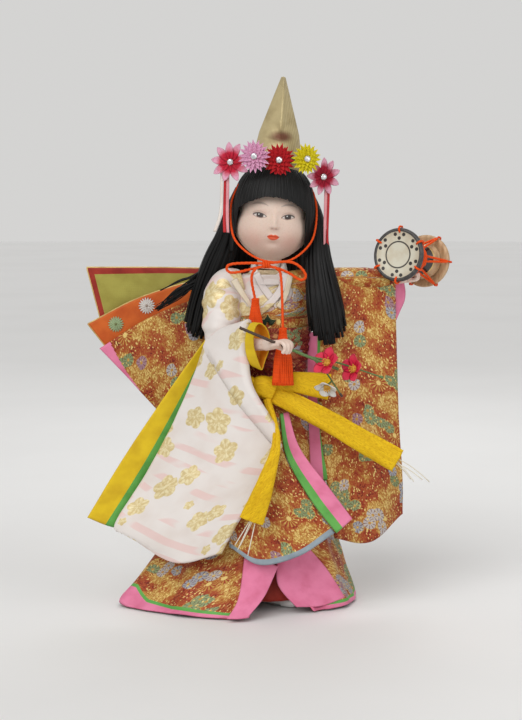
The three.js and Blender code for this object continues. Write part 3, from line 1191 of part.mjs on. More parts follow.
add(drumGroup, "drum_body", drumBody(), finish.cup);
add(drumGroup, "drum_head_front", drumHead(0), finish.skinHead);
add(drumGroup, "drum_head_back", drumHead(DRUM_LENGTH - DRUM_HEAD_THICKNESS), finish.skinHead);
add(drumGroup, "drum_lacing", drumLacing(), finish.orange);

export default doll;
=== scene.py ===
"""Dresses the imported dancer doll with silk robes, wig, cords, flowers, drum and branch."""

import logging
import math
from dataclasses import dataclass
from enum import Enum
from typing import Callable, Iterable, Sequence

import bpy
import numpy as np
from mathutils import Matrix, Vector


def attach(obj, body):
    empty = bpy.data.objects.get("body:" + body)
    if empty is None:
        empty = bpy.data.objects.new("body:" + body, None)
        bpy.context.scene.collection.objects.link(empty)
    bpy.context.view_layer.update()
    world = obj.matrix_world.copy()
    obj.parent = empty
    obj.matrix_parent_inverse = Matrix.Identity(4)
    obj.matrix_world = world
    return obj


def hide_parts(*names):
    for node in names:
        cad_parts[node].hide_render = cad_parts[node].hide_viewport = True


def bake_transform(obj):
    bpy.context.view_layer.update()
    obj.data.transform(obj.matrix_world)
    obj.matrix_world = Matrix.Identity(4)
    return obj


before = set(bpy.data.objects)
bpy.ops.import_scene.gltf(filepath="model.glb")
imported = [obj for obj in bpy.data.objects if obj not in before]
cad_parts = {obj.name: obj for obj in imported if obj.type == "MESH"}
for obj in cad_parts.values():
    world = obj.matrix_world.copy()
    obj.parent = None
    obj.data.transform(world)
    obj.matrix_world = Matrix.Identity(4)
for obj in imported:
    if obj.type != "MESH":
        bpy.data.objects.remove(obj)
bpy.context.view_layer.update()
LOG = logging.getLogger("dancer_doll")
MM = 0.001
LEAST_EDGE = 0.3
ODD_WAY = (0.3, 0.5, 0.81)
PHASES = 6.28
Pair = tuple[float, float]
Place = tuple[float, float, float]
Colour = tuple[float, float, float]
Points = Sequence[Sequence[float]]
Net = Sequence[Points]
Piece = bpy.types.Object
Socket = bpy.types.NodeSocket


def spline(points: Sequence, count: int) -> np.ndarray:
    """Runs a smooth curve through points, or through rows of points.

    Args:
        points: the points that the curve passes through.
        count: how many samples to take along it.

    Returns:
        The samples, evenly spaced by point number.
    """
    knots = np.asarray(points, float)
    around = np.concatenate([2 * knots[:1] - knots[1:2], knots, 2 * knots[-1:] - knots[-2:-1]])
    place = np.linspace(0, len(knots) - 1, count)
    start = np.minimum(place.astype(int), len(knots) - 2)
    share = (place - start).reshape(-1, *([1] * (knots.ndim - 1)))
    a, b, c, d = (around[start + step] for step in range(4))
    bend = (2 * a - 5 * b + 4 * c - d) * share**2 + (3 * b - a - 3 * c + d) * share**3
    return 0.5 * (2 * b + (c - a) * share + bend)


def surface(net: Net, across: int, along: int) -> np.ndarray:
    """Fills a net of points with a smooth grid.

    Args:
        net: rows of points, from the first edge of the cloth to the last.
        across: samples in a row.
        along: samples from the first row to the last.

    Returns:
        A grid of points, along by across by three.
    """
    rows = spline(net, along)
    return spline(rows.swapaxes(0, 1), across).swapaxes(0, 1)


def unit(vectors: Sequence) -> np.ndarray:
    """Gives vectors their unit length."""
    array = np.asarray(vectors, float)
    return array / np.maximum(np.linalg.norm(array, axis=-1, keepdims=True), 1e-9)


def normals(grid: np.ndarray) -> np.ndarray:
    """Gives the unit normals of a grid of points, across turned towards along."""
    return unit(np.cross(np.gradient(grid, axis=1), np.gradient(grid, axis=0)))


def smooth_step(values: np.ndarray, low: float, high: float) -> np.ndarray:
    """Eases values from 0 at low to 1 at high."""
    share = np.clip((np.asarray(values, float) - low) / (high - low), 0, 1)
    return share * share * (3 - 2 * share)


def lengths(grid: np.ndarray, axis: int) -> np.ndarray:
    """Measures a grid along one axis.

    Args:
        grid: points, along by across by three.
        axis: 0 to measure along, 1 to measure across.

    Returns:
        The length run so far at each point, in the grid's own unit.
    """
    steps = np.linalg.norm(np.diff(grid, axis=axis), axis=2)
    start = np.zeros_like(np.take(steps, [0], axis=axis))
    return np.concatenate([start, np.cumsum(steps, axis=axis)], axis=axis)


def crumple(grid: np.ndarray, seed: int, depth: float, wave: float) -> np.ndarray:
    """Makes small seeded waves for a surface.

    Args:
        grid: the points of the surface.
        seed: number that picks the waves.
        depth: height of the waves.
        wave: usual length of a wave.

    Returns:
        A height for each point.
    """
    draw = np.random.default_rng(seed)
    height = np.zeros(grid.shape[:2])
    for _ in range(6):
        way = unit(draw.normal(size=3)) * 2 * math.pi / (wave * draw.uniform(0.6, 1.7))
        height += np.sin(grid @ way + draw.uniform(0, PHASES))
    return depth * height / 3


def turn_to(position: Sequence[float], across: Sequence[float], up: Sequence[float]) -> np.ndarray:
    """Makes a frame from a place and two directions.

    Args:
        position: the frame's origin.
        across: its first axis.
        up: its second axis.

    Returns:
        A 4 by 4 matrix whose third axis is across turned to up.
    """
    matrix = np.eye(4)
    matrix[:3, 0] = unit(across)
    matrix[:3, 1] = unit(up)
    matrix[:3, 2] = np.cross(matrix[:3, 0], matrix[:3, 1])
    matrix[:3, 3] = position
    return matrix


def placed(points: Sequence, matrix: np.ndarray) -> np.ndarray:
    """Moves points by a 4 by 4 matrix."""
    return np.asarray(points, float) @ matrix[:3, :3].T + matrix[:3, 3]


def angles(count: int) -> np.ndarray:
    """Gives so many even angles of a full turn."""
    return np.linspace(0, math.tau, count, endpoint=False)


def mound(x: np.ndarray, z: np.ndarray, wide: float, tall: float) -> np.ndarray:
    """Gives a round mound of height 1 from places across and up from its middle."""
    return np.exp(-((x / wide) ** 2) - (z / tall) ** 2)


def oval(
    middle: Sequence, wide: np.ndarray, deep: np.ndarray, height: np.ndarray, turn: np.ndarray
) -> np.ndarray:
    """Gives level rings round a middle.

    Args:
        middle: place of the middle across and towards the back.
        wide: half width of each ring.
        deep: half depth of each ring.
        height: height of each ring.
        turn: angles round the rings.

    Returns:
        A grid of points, rings by angles.
    """
    x = middle[0] + wide * np.cos(turn)
    y = middle[1] + deep * np.sin(turn)
    return np.stack([x, y, np.broadcast_to(height, x.shape)], axis=-1)


def twisted(depth: float, twist: float) -> Callable:
    """Gives the relief of a three-strand cord.

    Args:
        depth: how far the strands swell, as a share of the radius.
        twist: how far they turn in a millimetre, in radians.

    Returns:
        A relief for a tube.
    """

    def relief(angle: np.ndarray, run: np.ndarray) -> np.ndarray:
        """Gives the swell of the strands."""
        return 1 + depth * np.cos(3 * angle - run * twist)

    return relief


class Form:
    """Gathers the points, faces, finish numbers and cloth coordinates of one mesh, in millimetres."""

    def __init__(self) -> None:
        """Starts with nothing in it."""
        self.points: list[np.ndarray] = []
        self.uvs: list[np.ndarray] = []
        self.faces: list[list[int]] = []
        self.slots: list[int] = []
        self.count = 0

    def add(self, points: np.ndarray, faces: Iterable, uvs: np.ndarray, slots: object = 0) -> None:
        """Adds points with their faces.

        Args:
            points: places of the new points.
            faces: point numbers of each face, counted from the first new point.
            uvs: cloth coordinates of each point, in metres.
            slots: finish number of all the faces, or one number for each.
        """
        rows = [[corner + self.count for corner in face] for face in faces]
        self.points.append(np.asarray(points, float).reshape(-1, 3))
        self.uvs.append(np.asarray(uvs, float).reshape(-1, 2))
        self.faces += rows
        self.slots += [int(slots)] * len(rows) if np.isscalar(slots) else [int(slot) for slot in slots]
        self.count += len(self.points[-1])

    @staticmethod
    def quads(numbers: np.ndarray) -> list[list[int]]:
        """Joins a grid of point numbers into four-sided faces."""
        corners = (numbers[:-1, :-1], numbers[:-1, 1:], numbers[1:, 1:], numbers[1:, :-1])
        return np.stack(corners, axis=-1).reshape(-1, 4).tolist()

    def add_grid(self, grid: np.ndarray, uvs: np.ndarray, slots: object = 0, ring: bool = False) -> None:
        """Adds one open grid.

        Args:
            grid: points, along by across by three.
            uvs: cloth coordinates, along by across by two.
            slots: finish number, or one for each face.
            ring: whether the last column joins the first.
        """
        numbers = np.arange(grid.shape[0] * grid.shape[1]).reshape(grid.shape[:2])
        if ring:
            numbers = np.concatenate([numbers, numbers[:, :1]], axis=1)
        self.add(grid, self.quads(numbers), uvs, slots)

    def add_cloth(
        self,
        grid: np.ndarray,
        thickness: object,
        slots: object = 0,
        inside: object = None,
        uvs: object = None,
    ) -> None:
        """Adds a closed piece of cloth with round edges.

        Args:
            grid: middle of the cloth, along by across by three.
            thickness: thickness of the whole, or at each point.
            slots: finish number of the front, or one for each face.
            inside: finish number of the back where it differs.
            uvs: cloth coordinates where they aren't the run of the cloth in metres.
        """
        run_u = lengths(grid, 1)
        run_v = lengths(grid, 0)
        half = np.broadcast_to(np.asarray(thickness, float) / 2, grid.shape[:2])
        edge = np.minimum(np.minimum(run_u, run_u[:, -1:] - run_u), np.minimum(run_v, run_v[-1:] - run_v))
        round_off = np.sqrt(1 - (1 - np.minimum(1, edge / np.maximum(half, LEAST_EDGE))) ** 2)
        lift = normals(grid) * (half * round_off)[..., None]
        if uvs is None:
            uvs = np.stack([run_u - run_u[:, -1:] / 2, run_v], axis=-1) * MM
        front = np.arange(half.size).reshape(half.shape)
        back = front.copy()
        back[1:-1, 1:-1] = half.size + np.arange((half.shape[0] - 2) * (half.shape[1] - 2)).reshape(
            half.shape[0] - 2, half.shape[1] - 2
        )
        points = np.concatenate([(grid + lift).reshape(-1, 3), (grid - lift)[1:-1, 1:-1].reshape(-1, 3)])
        both = np.concatenate([uvs.reshape(-1, 2), uvs[1:-1, 1:-1].reshape(-1, 2)])
        faces = self.quads(front)
        tags = [int(slots)] * len(faces) if np.isscalar(slots) else [int(slot) for slot in slots]
        others = tags if inside is None else [int(inside)] * len(faces)
        self.add(points, faces + [face[::-1] for face in self.quads(back)], both, tags + others)

    def add_shell(self, outer: np.ndarray, inner: np.ndarray, slots: object = 0) -> None:
        """Adds a closed band round a body.

        Args:
            outer: rows round its outer side, from the bottom up.
            inner: rows round its inner side, from the bottom up.
            slots: finish number, or one for each face.
        """
        grid = np.concatenate([inner[::-1], outer, inner[-1:]])
        run_u = lengths(np.concatenate([grid, grid[:, :1]], axis=1), 1)[:, :-1]
        uvs = np.stack([run_u, grid[..., 2]], axis=-1) * MM
        rows = np.arange(len(grid))[:, None] * grid.shape[1]
        numbers = rows + np.arange(grid.shape[1])
        numbers[-1] = numbers[0]
        numbers = np.concatenate([numbers, numbers[:, :1]], axis=1)
        self.add(grid[:-1], self.quads(numbers), uvs[:-1], slots)

    def add_tube(
        self,
        path: Sequence,
        sizes: object,
        up: object = None,
        sides: int = 12,
        slots: int = 0,
        relief: Callable | None = None,
    ) -> None:
        """Adds a closed tube along a path.

        Args:
            path: points along the middle.
            sizes: half width and half height at each point, or one radius.
            up: direction that fixes the half height, or None for a free round tube.
            sides: points round the tube.
            slots: finish number.
            relief: gives a share of the size from angle and length along the tube.
        """
        path = np.asarray(path, float)
        along = unit(np.gradient(path, axis=0))
        run = np.concatenate([[0], np.cumsum(np.linalg.norm(np.diff(path, axis=0), axis=1))])
        sizes = np.asarray(sizes, float)
        if sizes.ndim < 2:
            sizes = np.repeat(np.broadcast_to(sizes, len(path))[:, None], 2, axis=1)
        if up is None:
            across = [unit(np.cross(along[0], ODD_WAY))]
            for way in along[1:]:
                across.append(unit(across[-1] - way * np.dot(across[-1], way)))
            across = np.array(across)
        else:
            across = unit(np.cross(along, np.broadcast_to(np.asarray(up, float), along.shape)))
        rise = np.cross(across, along)
        angle = angles(sides)
        share = np.ones((len(path), sides)) if relief is None else relief(angle[None, :], run[:, None])
        ring = across[:, None] * (np.cos(angle) * sizes[:, :1] * share)[..., None]
        ring = ring + rise[:, None] * (np.sin(angle) * sizes[:, 1:] * share)[..., None] + path[:, None]
        size = sizes.max(axis=1, keepdims=True)
        uvs = np.stack([angle[None, :] * size, np.broadcast_to(run[:, None], ring.shape[:2])], axis=-1) * MM
        numbers = np.arange(len(path) * sides).reshape(len(path), sides)
        total = numbers.size
        ends = np.stack([path[0], path[-1]])
        end_uvs = np.array([[0, 0], [0, run[-1]]]) * MM
        loop = np.concatenate([numbers, numbers[:, :1]], axis=1)
        fans = [[total, loop[0, i], loop[0, i + 1]] for i in range(sides)]
        fans += [[total + 1, loop[-1, i + 1], loop[-1, i]] for i in range(sides)]
        points = np.concatenate([ring.reshape(-1, 3), ends])
        sides_out = [face[::-1] for face in self.quads(loop)]
        self.add(points, sides_out + fans, np.concatenate([uvs.reshape(-1, 2), end_uvs]), slots)

    def add_lathe(self, outline: Points, matrix: np.ndarray, sides: int = 48, slots: object = 0) -> None:
        """Adds a turned form.

        Args:
            outline: radius and height of each point of its profile.
            matrix: frame whose third axis it turns on.
            sides: points round it.
            slots: finish number, or one for each step of the profile.
        """
        profile = np.asarray(outline, float)
        angle = angles(sides)
        around = np.stack([np.cos(angle), np.sin(angle)], axis=-1)
        flat = profile[:, None, :1] * around[None]
        height = np.broadcast_to(profile[:, None, 1:], (*flat.shape[:2], 1))
        grid = placed(np.concatenate([flat, height], axis=-1), matrix)
        tags = slots if np.isscalar(slots) else np.repeat(slots, sides)
        self.add_grid(grid, flat * MM, tags, ring=True)

    def build(self, name: str, finishes: Sequence["Finish"], smooth: bool = True) -> Piece:
        """Makes the mesh object.

        Args:
            name: name of the piece.
            finishes: finishes in the order of the finish numbers.
            smooth: whether its faces shade smoothly.

        Returns:
            The new object, in metres.
        """
        mesh = bpy.data.meshes.new(name)
        mesh.from_pydata((np.concatenate(self.points) * MM).tolist(), [], self.faces)
        mesh.polygons.foreach_set("material_index", self.slots)
        mesh.polygons.foreach_set("use_smooth", [smooth] * len(self.faces))
        corners = np.zeros(len(mesh.loops), int)
        mesh.loops.foreach_get("vertex_index", corners)
        layer = mesh.uv_layers.new(name="cloth")
        layer.data.foreach_set("uv", np.concatenate(self.uvs)[corners].ravel())
        for finish in finishes:
            mesh.materials.append(finish.material())
        mesh.validate()
        piece = bpy.data.objects.new(name, mesh)
        bpy.context.scene.collection.objects.link(piece)
        return piece


def dress(piece: Piece, slot: str, *nodes: str) -> None:
    """Hides the solids that a piece stands for and logs its points."""
    if nodes:
        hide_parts(*nodes)
    LOG.info("%s: %d points", piece.name, len(piece.data.vertices))


def settle(piece: Piece, body: str, slot: str, *nodes: str) -> Piece:
    """Dresses a piece, lets it move with a body and gives it back."""
    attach(piece, body)
    dress(piece, slot, *nodes)
    return piece


def wrap_round(
    name: str, finish: "Finish", slot: str, node: str, outer: np.ndarray, inner: np.ndarray
) -> None:
    """Makes a closed band round the figure.

    Args:
        name: name of the piece.
        finish: its finish.
        slot: name of a finish; not used.
        node: the solid that it stands for.
        outer: rows round its outer side, from the bottom up.
        inner: rows round its inner side, from the bottom up.
    """
    form = Form()
    form.add_shell(outer, inner)
    settle(form.build(name, [finish]), "figure", slot, node)


class Graph:
    """Builds the nodes of one finish."""

    def __init__(self, name: str) -> None:
        """Starts a material with its shader and output."""
        self.material = bpy.data.materials.new(name)
        self.material.use_nodes = True
        self.nodes = self.material.node_tree.nodes
        self.links = self.material.node_tree.links
        self.shader = self.nodes["Principled BSDF"]

    def put(self, value: object, socket: Socket) -> None:
        """Links an output to a socket, or sets the socket's own value."""
        if isinstance(value, Socket):
            self.links.new(value, socket)
        elif isinstance(value, tuple) and len(value) == 3 and socket.type == "RGBA":
            socket.default_value = (*value, 1)
        else:
            socket.default_value = value

    def node(self, kind: str, inputs: dict, **settings: object) -> bpy.types.Node:
        """Adds one node.

        Args:
            kind: type of the node, without its family name.
            inputs: values or outputs, by the input's name or number.
            settings: the node's own properties.

        Returns:
            The new node.
        """
        node = self.nodes.new(f"ShaderNode{kind}")
        for name, value in settings.items():
            setattr(node, name, value)
        for name, value in inputs.items():
            self.put(value, node.inputs[name])
        return node

    def surface(self, **values: object) -> None:
        """Sets the shader's sockets by name, with _ for a space."""
        for name, value in values.items():
            self.put(value, self.shader.inputs[name.replace("_", " ").title().replace("Ior", "IOR")])

    def cloth(self) -> Socket:
        """Gives the cloth coordinates, in metres."""
        return self.node("UVMap", {}, uv_map="cloth").outputs["UV"]

    def place(self) -> Socket:
        """Gives the place on the piece, in metres."""
        return self.node("TexCoord", {}).outputs["Object"]

    def scaled(self, vector: Socket, scale: Place, turn: float = 0.0) -> Socket:
        """Scales coordinates by three factors and turns them about the third axis by degrees."""
        inputs = {"Vector": vector, "Scale": scale, "Rotation": (0, 0, math.radians(turn))}
        return self.node("Mapping", inputs).outputs["Vector"]

    def math(self, kind: str, first: object, second: object = 0.0, third: object = 0.0) -> Socket:
        """Works out one sum of up to three values."""
        return self.node("Math", {0: first, 1: second, 2: third}, operation=kind).outputs[0]

    def times(self, first: object, second: object) -> Socket:
        """Multiplies two values."""
        return self.math("MULTIPLY", first, second)

    def far(self, x: Socket, y: Socket) -> Socket:
        """Gives the distance of a place from the middle."""
        return self.math("SQRT", self.math("ADD", self.times(x, x), self.times(y, y)))

    def mix(self, share: object, first: object, second: object, kind: str = "MIX") -> Socket:
        """Mixes a share of the second colour into the first."""
        inputs = {"Factor": share, 6: first, 7: second}
        return self.node("Mix", inputs, data_type="RGBA", blend_type=kind).outputs[2]

    def ramp(self, value: object, stops: Sequence[tuple[float, Colour]], hard: bool = False) -> Socket:
        """Turns a value into colours.

        Args:
            value: the value.
            stops: places and colours.
            hard: whether the colours change without easing.

        Returns:
            The colour.
        """
        node = self.node("ValToRGB", {0: value})
        node.color_ramp.interpolation = "CONSTANT" if hard else "LINEAR"
        while len(node.color_ramp.elements) < len(stops):
            node.color_ramp.elements.new(1)
        for element, (place, colour) in zip(node.color_ramp.elements, stops):
            element.position = place
            element.color = (*colour, 1)
        return node.outputs[0]

    def between(self, value: object, low: float, high: float) -> Socket:
        """Eases a value from 0 at low to 1 at high, either way round."""
        first, last = (0, 1) if low < high else (1, 0)
        span = {"From Min": min(low, high), "From Max": max(low, high), "To Min": first, "To Max": last}
        return self.node("MapRange", {"Value": value, **span}, interpolation_type="SMOOTHSTEP").outputs[0]

    def noise(self, vector: Socket, scale: float, detail: float = 2.0) -> Socket:
        """Adds cloudy noise of so many clouds a metre."""
        return self.node("TexNoise", {"Vector": vector, "Scale": scale, "Detail": detail}).outputs[0]

    def wave(self, vector: Socket, scale: float, stray: float = 0.0) -> Socket:
        """Adds soft bands across the first axis, closer with scale and less straight with stray."""
        return self.node("TexWave", {"Vector": vector, "Scale": scale, "Distortion": stray}).outputs["Fac"]

    def split(self, vector: Socket) -> tuple[Socket, Socket]:
        """Gives the first two parts of a vector."""
        node = self.node("SeparateXYZ", {0: vector})
        return node.outputs[0], node.outputs[1]

    def bump(self, height: object, depth: float, strength: float = 1.0) -> None:
        """Adds relief of the given depth in metres to the shader's normal."""
        node = self.node("Bump", {"Strength": strength, "Distance": depth, "Height": height})
        normal = self.shader.inputs["Normal"]
        if normal.is_linked:
            self.links.new(normal.links[0].from_socket, node.inputs["Normal"])
        self.links.new(node.outputs[0], normal)

    def cells(self, vector: Socket, size: float, stray: float = 1.0) -> bpy.types.Node:
        """Parts the cloth into cells of a size in metres, which stray from rows."""
        inputs = {"Vector": vector, "Scale": 1 / size, "Randomness": stray}
        return self.node("TexVoronoi", inputs, voronoi_dimensions="2D")

    def in_cell(self, vector: Socket, cells: bpy.types.Node) -> tuple[Socket, Socket]:
        """Gives the place across and along from the middle of its cell."""
        away = self.node("VectorMath", {0: vector, 1: cells.outputs["Position"]}, operation="SUBTRACT")
        return self.split(away.outputs[0])

    def grains(self, vector: Socket, size: float) -> Socket:
        """Gives a chance number to each small grain of the cloth, size metres wide."""
        return self.split(self.cells(vector, size).outputs["Color"])[0]

    def motif(
        self, vector: Socket, spacing: float, radius: float, lobes: int, dent: float
    ) -> tuple[Socket, Socket, Socket]:
        """Strews lobed motifs over the cloth.

        Args:
            vector: cloth coordinates in metres.
            spacing: usual distance between motifs, in metres.
            radius: radius of a motif, in metres.
            lobes: petals of a motif.
            dent: how deep the petals part, as a share of the radius.

        Returns:
            The distance as a share of the lobed radius, the angle in petals, and a chance number.
        """
        cells = self.cells(vector, spacing)
        x, y = self.in_cell(vector, cells)
        chance, other = self.split(cells.outputs["Color"])
        angle = self.math("ADD", self.math("ARCTAN2", y, x), self.times(other, PHASES))
        petals = self.times(angle, float(lobes))
        round_lobe = self.math("ABSOLUTE", self.math("COSINE", self.times(petals, 0.5)))
        lobe = self.math("MULTIPLY_ADD", round_lobe, radius * dent, radius * (1 - dent))
        return self.math("DIVIDE", self.far(x, y), lobe), petals, chance

    def lobes(self, vector: Socket, size: float, ribs: int) -> tuple[Socket, Socket, Socket]:
        """Covers the cloth with round lobes that lie edge to edge.

        Args:
            vector: cloth coordinates in metres.
            size: usual distance between lobes, in metres.
            ribs: ribs that fan out in a lobe.

        Returns:
            The distance as a share of the lobe's radius, the angle in ribs, and the lobe's middle.
        """
        cells = self.cells(vector, size, 0.55)
        x, y = self.in_cell(vector, cells)
        fans = self.times(self.math("ARCTAN2", y, x), float(ribs))
        return self.math("DIVIDE", self.far(x, y), size * 0.62), fans, cells.outputs["Position"]


class Finish:
    """Keeps each finish's material once."""

    kept: dict[str, bpy.types.Material] = {}
    name: str

    def material(self) -> bpy.types.Material:
        """Gives the material, which is made on first use."""
        if self.name not in Finish.kept:
            graph = Graph(self.name)
            self.paint(graph)
            Finish.kept[self.name] = graph.material
        return Finish.kept[self.name]

    def paint(self, graph: Graph) -> None:
        """Adds the finish's nodes to its graph."""
        raise NotImplementedError


def weave(graph: Graph, threads: float, depth: float) -> Socket:
    """Adds crossed threads in relief.

    Args:
        graph: the finish's graph.
        threads: threads in a metre.
        depth: depth of the relief in metres.

    Returns:
        The height of the weave from 0 to 1.
    """
    cloth = graph.cloth()
    warp, weft = (graph.wave(graph.scaled(cloth, (1, 1, 1), turn), threads / PHASES) for turn in (0, 90))
    height = graph.times(warp, weft)
    graph.bump(height, depth, 0.6)
    return height


@dataclass(frozen=True)
class Brocade(Finish):
    """Rust-red brocade that glitters with gold thread, with scalloped clouds and chrysanthemums."""

    name: str = "brocade_weave"
    ground: Colour = (0.36, 0.045, 0.012)
    dark: Colour = (0.13, 0.012, 0.008)
    rust: Colour = (0.42, 0.11, 0.022)
    gold: Colour = (0.56, 0.31, 0.06)
    bright: Colour = (0.86, 0.66, 0.22)
    clouds: tuple[tuple[float, Colour], ...] = (
        (0.0, (0.22, 0.33, 0.15)),
        (0.42, (0.38, 0.42, 0.46)),
        (0.50, (0.40, 0.25, 0.29)),
        (0.56, (0.56, 0.53, 0.50)),
        (0.62, (0.25, 0.36, 0.17)),
    )
    cloud_size: float = 0.0072
    cloud_share: float = 0.555
    gold_share: float = 0.49

    def paint(self, graph: Graph) -> None:
        """Weaves the glittering ground, then the clouds and flowers over it, with painted shade in the
        weave's hollows.
        """
        cloth = graph.cloth()
        golden = graph.between(graph.noise(cloth, 55, 3), self.gold_share + 0.10, self.gold_share - 0.10)
        grain = graph.grains(graph.scaled(cloth, (1, 0.7, 1), 25), 0.00065)
        tone = graph.math("MULTIPLY_ADD", golden, 0.52, graph.times(grain, 0.48))
        tones = (self.dark, self.ground, self.rust, self.gold, self.bright)
        stops = list(zip((0.0, 0.16, 0.46, 0.72, 0.98), tones))
        colour = graph.ramp(tone, stops)
        near, rays, pick = graph.motif(graph.scaled(cloth, (1, 1, 1), 31), 0.021, 0.0056, 14, 0.10)
        flower = graph.mix(graph.between(graph.math("COSINE", rays), 0.3, -0.2), self.gold, self.ground)
        flower = graph.mix(graph.between(near, 0.30, 0.24), flower, self.bright)
        there = graph.times(graph.between(near, 1.0, 0.93), graph.math("GREATER_THAN", pick, 0.62))
        colour = graph.mix(there, colour, flower)
        far, fans, middle = graph.lobes(cloth, self.cloud_size, 9)
        shade = graph.ramp(graph.noise(graph.scaled(middle, (1, 1, 1), 77), 24, 0), self.clouds, hard=True)
        ribs = graph.between(graph.math("COSINE", fans), 0.45, 0.9)
        ribs = graph.times(ribs, graph.between(far, 0.25, 0.4))
        shade = graph.mix(graph.times(ribs, 0.75), shade, self.dark)
        shade = graph.mix(graph.between(far, 0.84, 0.90), shade, self.gold)
        shade = graph.mix(graph.between(far, 0.24, 0.18), shade, self.gold)
        clouded = graph.math("GREATER_THAN", graph.noise(middle, 40, 1), self.cloud_share)
        colour = graph.mix(graph.times(clouded, graph.between(far, 1.0, 0.95)), colour, shade)
        height = weave(graph, 2600, 0.00012)
        colour = graph.mix(graph.between(grain, 0.90, 0.96), colour, self.bright)
        # painted shade: the colour darkens where the weave dips, in the hollows between the threads
        colour = graph.mix(graph.between(height, 0.4, 0.0), colour, graph.mix(0.35, colour, self.dark))
        rough = graph.math("MULTIPLY_ADD", grain, -0.3, 0.66)
        graph.surface(base_color=colour, metallic=0.12, roughness=rough, specular_ior_level=0.3)


@dataclass(frozen=True)
class Satin(Finish):
    """White satin with gold plum blossoms and drifts of pale mist."""

    name: str = "white_satin"
    ground: Colour = (0.73, 0.68, 0.645)
    shade: Colour = (0.67, 0.595, 0.55)
    gold: Colour = (0.60, 0.47, 0.23)
    pale: Colour = (0.75, 0.66, 0.41)
    line: Colour = (0.52, 0.38, 0.17)
    mist: Colour = (0.72, 0.47, 0.44)
    spacing: float = 0.0245
    radius: float = 0.0076

    def paint(self, graph: Graph) -> None:
        """Draws the mist bars, then the gold blossoms, large and small."""
        cloth = graph.cloth()
        colour = graph.mix(graph.between(graph.noise(cloth, 35, 3), 0.4, 0.7), self.ground, self.shade)
        bars = graph.wave(graph.scaled(cloth, (1, 1, 1), -70), 30, 0.6)
        veil = graph.between(graph.noise(graph.scaled(cloth, (0.5, 1, 1), -70), 42), 0.50, 0.56)
        veil = graph.times(graph.between(bars, 0.55, 0.75), veil)
        colour = graph.mix(graph.times(veil, 0.62), colour, self.mist)
        mottle = graph.noise(cloth, 420, 3)
        gilt = graph.mix(graph.between(mottle, 0.36, 0.66), self.gold, self.pale)
        inked = 0.0
        for spacing, radius, turn, least in ((self.spacing, self.radius, 0, 0.10), (0.034, 0.0030, 40, 0.35)):
            far, petals, chance = graph.motif(graph.scaled(cloth, (1, 1, 1), turn), spacing, radius, 5, 0.27)
            far = graph.math("DIVIDE", far, graph.math("MULTIPLY_ADD", chance, 0.45, 0.78))
            spokes = graph.between(graph.math("COSINE", graph.times(petals, 2.0)), 0.4, 0.8)
            spokes = graph.times(spokes, graph.times(graph.between(far, 0.12, 0.2), 0.45))
            flower = graph.mix(spokes, gilt, self.line)
            shown = graph.times(graph.between(far, 1.0, 0.92), graph.math("GREATER_THAN", chance, least))
            colour = graph.mix(shown, colour, flower)
            inked = graph.math("MAXIMUM", inked, shown)
        weave(graph, 3600, 0.00005)
        graph.surface(base_color=colour, roughness=0.42, specular_ior_level=0.35)
        graph.surface(metallic=graph.times(inked, 0.25))


@dataclass(frozen=True)
class Crepe(Finish):
    """Crinkled crepe silk."""

    name: str
    colour: Colour
    # deep is the colour of the painted shade in the crinkle and fold hollows
    deep: Colour

    def paint(self, graph: Graph) -> None:
        """Adds the crinkle and the folds with painted shade in their hollows, and the fine grain."""
        cloth = graph.cloth()
        crinkle = graph.noise(graph.scaled(cloth, (1.0, 0.35, 1)), 1500, 3)
        folds = graph.noise(graph.scaled(cloth, (1, 0.25, 1)), 220, 2)
        # painted shade: the colour darkens where the crinkle and the folds dip
        colour = graph.mix(graph.between(crinkle, 0.60, 0.20), self.colour, self.deep)
        colour = graph.mix(graph.between(folds, 0.56, 0.40), colour, graph.mix(0.35, colour, self.deep))
        graph.bump(crinkle, 0.00012, 0.35)
        graph.bump(folds, 0.0004, 0.4)
        graph.surface(base_color=colour, roughness=0.68, specular_ior_level=0.15)


@dataclass(frozen=True)
class Silk(Finish):
    """Plain dyed silk with fine threads and a soft lustre."""

    name: str
    colour: Colour
    deep: Colour
    threads: float = 2800
    roughness: float = 0.5

    def paint(self, graph: Graph) -> None:
        """Adds uneven dye, slubs and the weave."""
        cloth = graph.cloth()
        slubs = graph.noise(graph.scaled(cloth, (0.12, 1, 1)), 1900, 2)
        dye = graph.noise(cloth, 70, 3)
        colour = graph.mix(graph.between(dye, 0.35, 0.75), self.colour, self.deep)
        colour = graph.mix(graph.between(slubs, 0.6, 0.8), colour, graph.mix(0.4, colour, self.deep))
        weave(graph, self.threads, 0.00008)
        graph.surface(base_color=colour, roughness=self.roughness, specular_ior_level=0.22)


@dataclass(frozen=True)
class Hair(Finish):
    """Straight black silk hair."""

    name: str = "black_hair"
    colour: Colour = (0.0025, 0.0025, 0.0025)
    # light is the colour of the painted sheen on the raised strands
    light: Colour = (0.009, 0.0085, 0.008)

    def paint(self, graph: Graph) -> None:
        """Adds strands that run along the lock, lighter on their raised tops as a painted sheen."""
        strands = graph.noise(graph.scaled(graph.cloth(), (1, 0.02, 1)), 2600, 3)
        # painted sheen: the raised strands take the lighter colour
        colour = graph.mix(graph.between(strands, 0.45, 0.72), self.colour, self.light)
        graph.bump(strands, 0.00025, 0.5)
        rough = graph.math("MULTIPLY_ADD", strands, 0.2, 0.36)
        graph.surface(base_color=colour, roughness=rough, specular_ior_level=0.2)


